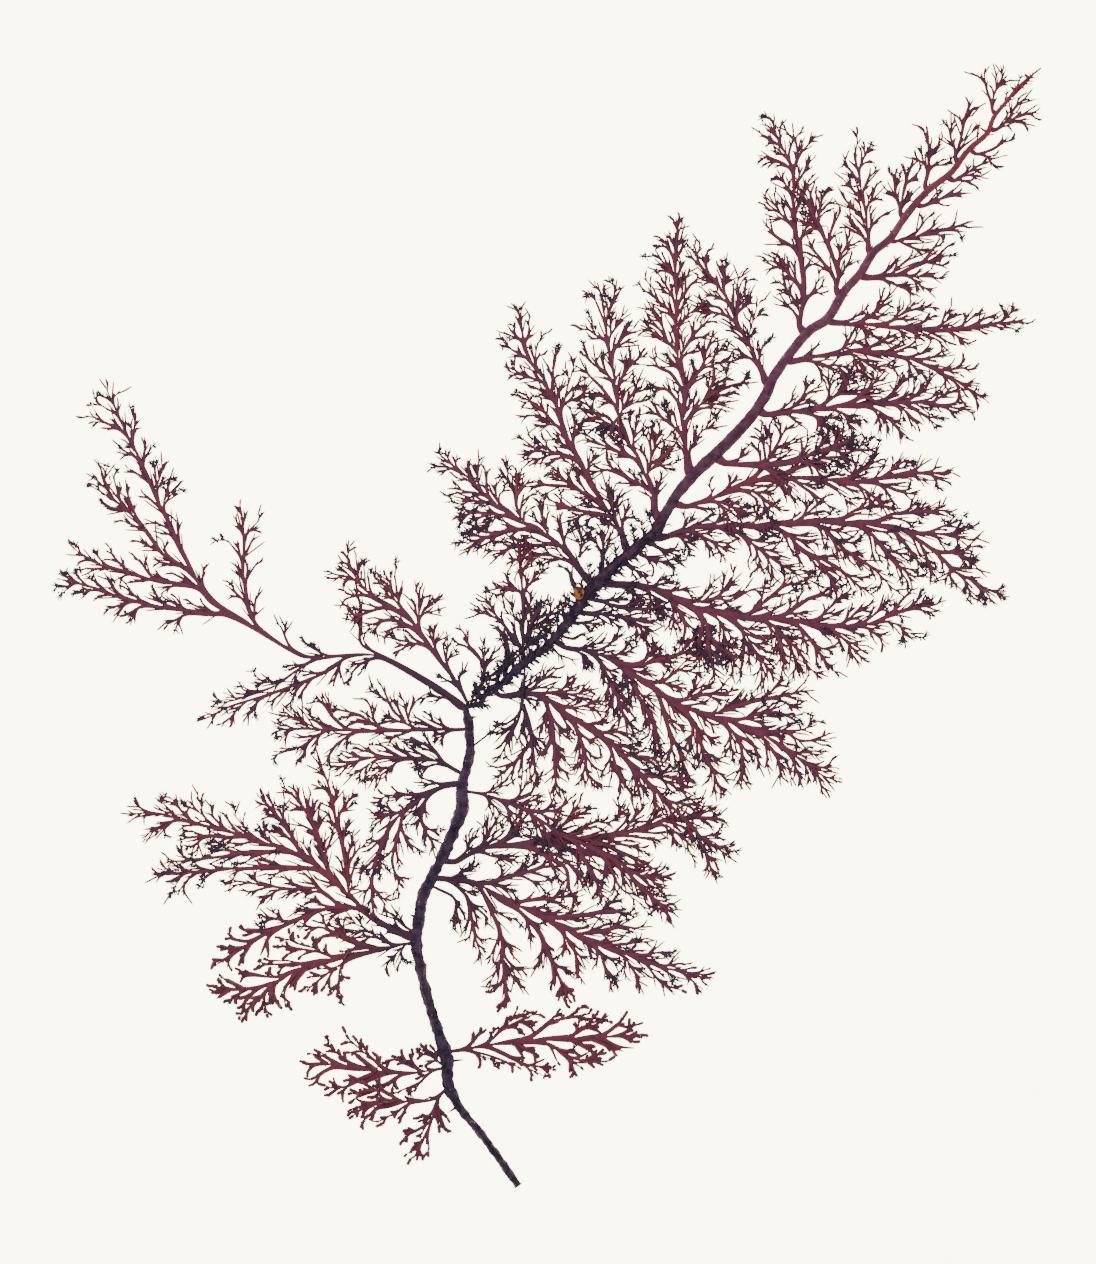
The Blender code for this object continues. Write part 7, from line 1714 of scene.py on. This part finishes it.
# How far the axis stands out at a point of one of its rings, with its knobs, ridges and wrinkles.
def axisBump(x, y, m, rough):
    ridge = axisFine["ridge"]
    bumps = 1
    for amount, spot in ((rough * axisFine["knob"], (x * 0.8, y * 0.8, m * 0.05)),
                         (rough * ridge, (x * 0.22, y * 0.22 + 30, m * 3.1)),
                         (0.5 * ridge, (x * 2.4, y * 2.4, m * 2.3 + 50)),
                         (rough * axisFine["wrinkle"], (x * 0.35 + 9, y * 0.35, m * 1.7))):
        bumps += amount * noise.noise(Vector(spot)) * 2
    return bumps


def buildAxis(axis):
    sides = axisFine["sides"]
    low, high = axisFine["bristles"]
    verts = []
    tones = []
    rows = list(range(0, len(axis.points), max(1, int(round(axisFine["step"] / axis.step)))))
    for k in rows:
        nx, ny = axis.heading(k)
        x, y = axis.points[k]
        young = unit((y - axisFine["youngFrom"]) / axisFine["youngOver"])
        half = axis.half[k] * (axisFine["wider"] + (axisFine["youngWider"] - axisFine["wider"]) * young)
        if low < y < high:
            half *= axisFine["slim"]
        tall = min(plant["axisThickness"], 0.5 + 1.2 * half)
        top = plant["axisThickness"] * axisFine["most"]
        for m in range(sides):
            turn = 2 * math.pi * m / sides
            bump = axisBump(x, y, m, 1.0 - 0.7 * young)
            across = math.cos(turn) * half * bump
            up = max(0.0, tall * (0.5 + 0.5 * math.sin(turn) * bump))
            verts.append((x - ny * across, y + nx * across, min(up, top)))
            tones.append(axisTone(y))
    base = (len(rows) - 1) * sides
    faces = ringFaces(0, len(rows), sides)
    faces += [tuple(range(sides - 1, -1, -1)), tuple(base + m for m in range(sides))]
    for number, stub in enumerate(pairs(axisStubs)):
        addStub(verts, faces, axis, stub, number)
        tones += [axisTone(stub[1])] * (len(verts) - len(tones))
    makePiece("main_axis_fine", "main_axis", (verts, faces, tones), dressAxis(axis), axisMaterial(), 0)
    print("axis: rings", len(rows), "faces", len(faces))


# A short broken stub: a bent cone from inside the axis to its tip.
def addStub(verts, faces, axis, tip, key):
    start = axis.points[nearestPoint(axis.points, tip)]
    span = max(math.dist(start, tip), 1e-6)
    dx, dy = (tip[0] - start[0]) / span, (tip[1] - start[1]) / span
    base = len(verts)
    z = 0.55 * plant["axisThickness"]
    rows, sides = 4, 6
    for r in range(rows):
        t = r / rows
        wide = axisFine["stubWidth"] * (1 - 0.75 * t) * (0.85 + 0.3 * hashUnit(key, r, 41))
        bend = axisFine["stubBend"] * t * t * (hashUnit(key, 42) - 0.5)
        cx, cy = start[0] + dx * span * t - dy * bend, start[1] + dy * span * t + dx * bend
        for m in range(sides):
            turn = 2 * math.pi * m / sides
            verts.append((cx - dy * wide * math.cos(turn), cy + dx * wide * math.cos(turn),
                          z + 0.8 * wide * math.sin(turn)))
    verts.append((tip[0], tip[1], z))
    faces += ringFaces(base, rows, sides)
    top = base + (rows - 1) * sides
    faces += [(top + m, top + (m + 1) % sides, len(verts) - 1) for m in range(sides)]
    faces.append(tuple(base + m for m in range(sides - 1, -1, -1)))


# The orange-brown growth: one small rounded heap with a lumpy surface.
growth = {"at": (6.1, 7.0), "size": (2.4, 3.0, 1.1), "floor": 1.5, "rings": 15, "sides": 26,
          "lumps": 0.34, "smallLumps": 0.16}


def buildGrowth():
    rings, sides = growth["rings"], growth["sides"]
    cx, cy = growth["at"]
    halfX, halfY, halfZ = (0.5 * size for size in growth["size"])
    verts = []
    for r in range(rings):
        lift = math.pi * r / (rings - 1)
        for c in range(sides):
            turn = 2 * math.pi * c / sides
            ux, uy, uz = math.sin(lift) * math.cos(turn), math.sin(lift) * math.sin(turn), -math.cos(lift)
            lump = 0.92 + growth["lumps"] * noise.noise(Vector((ux * 2.0 + 3, uy * 2.0, uz * 2.0))) \
                + growth["smallLumps"] * noise.noise(Vector((ux * 5, uy * 5, uz * 5 + 7)))
            verts.append((cx + halfX * lump * ux, cy + halfY * lump * uy,
                          growth["floor"] + halfZ * (1 + lump * uz)))
    body = (verts, ringFaces(0, rings, sides), None)
    piece = makePiece("crusty_growth_fine", "crusty_growth", body, None, crustMaterial(), 1)
    shape = bmesh.new()
    shape.from_mesh(piece.data)
    bmesh.ops.remove_doubles(shape, verts=shape.verts, dist=1e-7)
    shape.to_mesh(piece.data)
    shape.free()
    print("growth built")


# Floor, light and camera. The sensor and the frame are in millimetres, other lengths in metres.
stage = {"floor": (0.98, 0.945, 0.62), "roughness": 0.9, "specular": 0.1, "glow": 8.5, "size": 1.6,
         "below": 0.00005, "sky": 0.78, "lamp": 6.0, "lampSize": 0.5, "lampAt": (-0.35, 0.45, 0.9),
         "sensor": 24.0, "high": 1.5, "near": 0.05, "farthest": 10.0, "frameHeight": 252.8,
         "frameCentre": (0.0, -0.8)}


def buildStage():
    mesh = bpy.data.meshes.new("floor")
    half = 0.5 * stage["size"]
    corners = [(-half, -half, 0), (half, -half, 0), (half, half, 0), (-half, half, 0)]
    mesh.from_pydata(corners, [], [(0, 1, 2, 3)])
    floor = bpy.data.objects.new("floor", mesh)
    floor.location.z = -stage["below"]
    bpy.context.scene.collection.objects.link(floor)
    material, tree, shader = startMaterial("pale_floor", stage)
    shader.inputs["Base Color"].default_value = (*stage["floor"], 1.0)
    shader.inputs["Emission Color"].default_value = (*stage["floor"], 1.0)
    shader.inputs["Emission Strength"].default_value = stage["glow"]
    mesh.materials.append(material)

    world = bpy.data.worlds.new("studio")
    world.use_nodes = True
    world.node_tree.nodes["Background"].inputs[0].default_value = (1.0, 1.0, 1.0, 1.0)
    world.node_tree.nodes["Background"].inputs[1].default_value = stage["sky"]
    bpy.context.scene.world = world

    light = bpy.data.lights.new("softbox", "AREA")
    light.shape = "SQUARE"
    light.size = stage["lampSize"]
    light.energy = stage["lamp"]
    lamp = bpy.data.objects.new("softbox", light)
    lamp.location = stage["lampAt"]
    lamp.rotation_euler = (Vector((0, 0, 0)) - lamp.location).to_track_quat("-Z", "Y").to_euler()
    bpy.context.scene.collection.objects.link(lamp)

    data = bpy.data.cameras.new("camera")
    data.sensor_fit = "VERTICAL"
    data.sensor_height = stage["sensor"]
    data.lens = stage["high"] * 1000.0 * stage["sensor"] / stage["frameHeight"]
    data.clip_start = stage["near"]
    data.clip_end = stage["farthest"]
    camera = bpy.data.objects.new("camera", data)
    camera.location = (stage["frameCentre"][0] * mm, stage["frameCentre"][1] * mm, stage["high"])
    bpy.context.scene.collection.objects.link(camera)
    bpy.context.scene.camera = camera


linePoints = trace(pairs(axisLine))
lineWidths = widthsAlong(linePoints, pairs(axisLine), [width / 10 for width in axisWidths])
axis = Stem(linePoints, lineWidths, None, 0, 0)
axis.heights = [0.5 * plant["axisThickness"]] * len(linePoints)
axis.tall = 0.5 * plant["axisThickness"]
crowd = Crowd()
crowd.add(axis, -1)
buildStage()
buildFronds(axis, crowd)
buildAxis(axis)
buildGrowth()
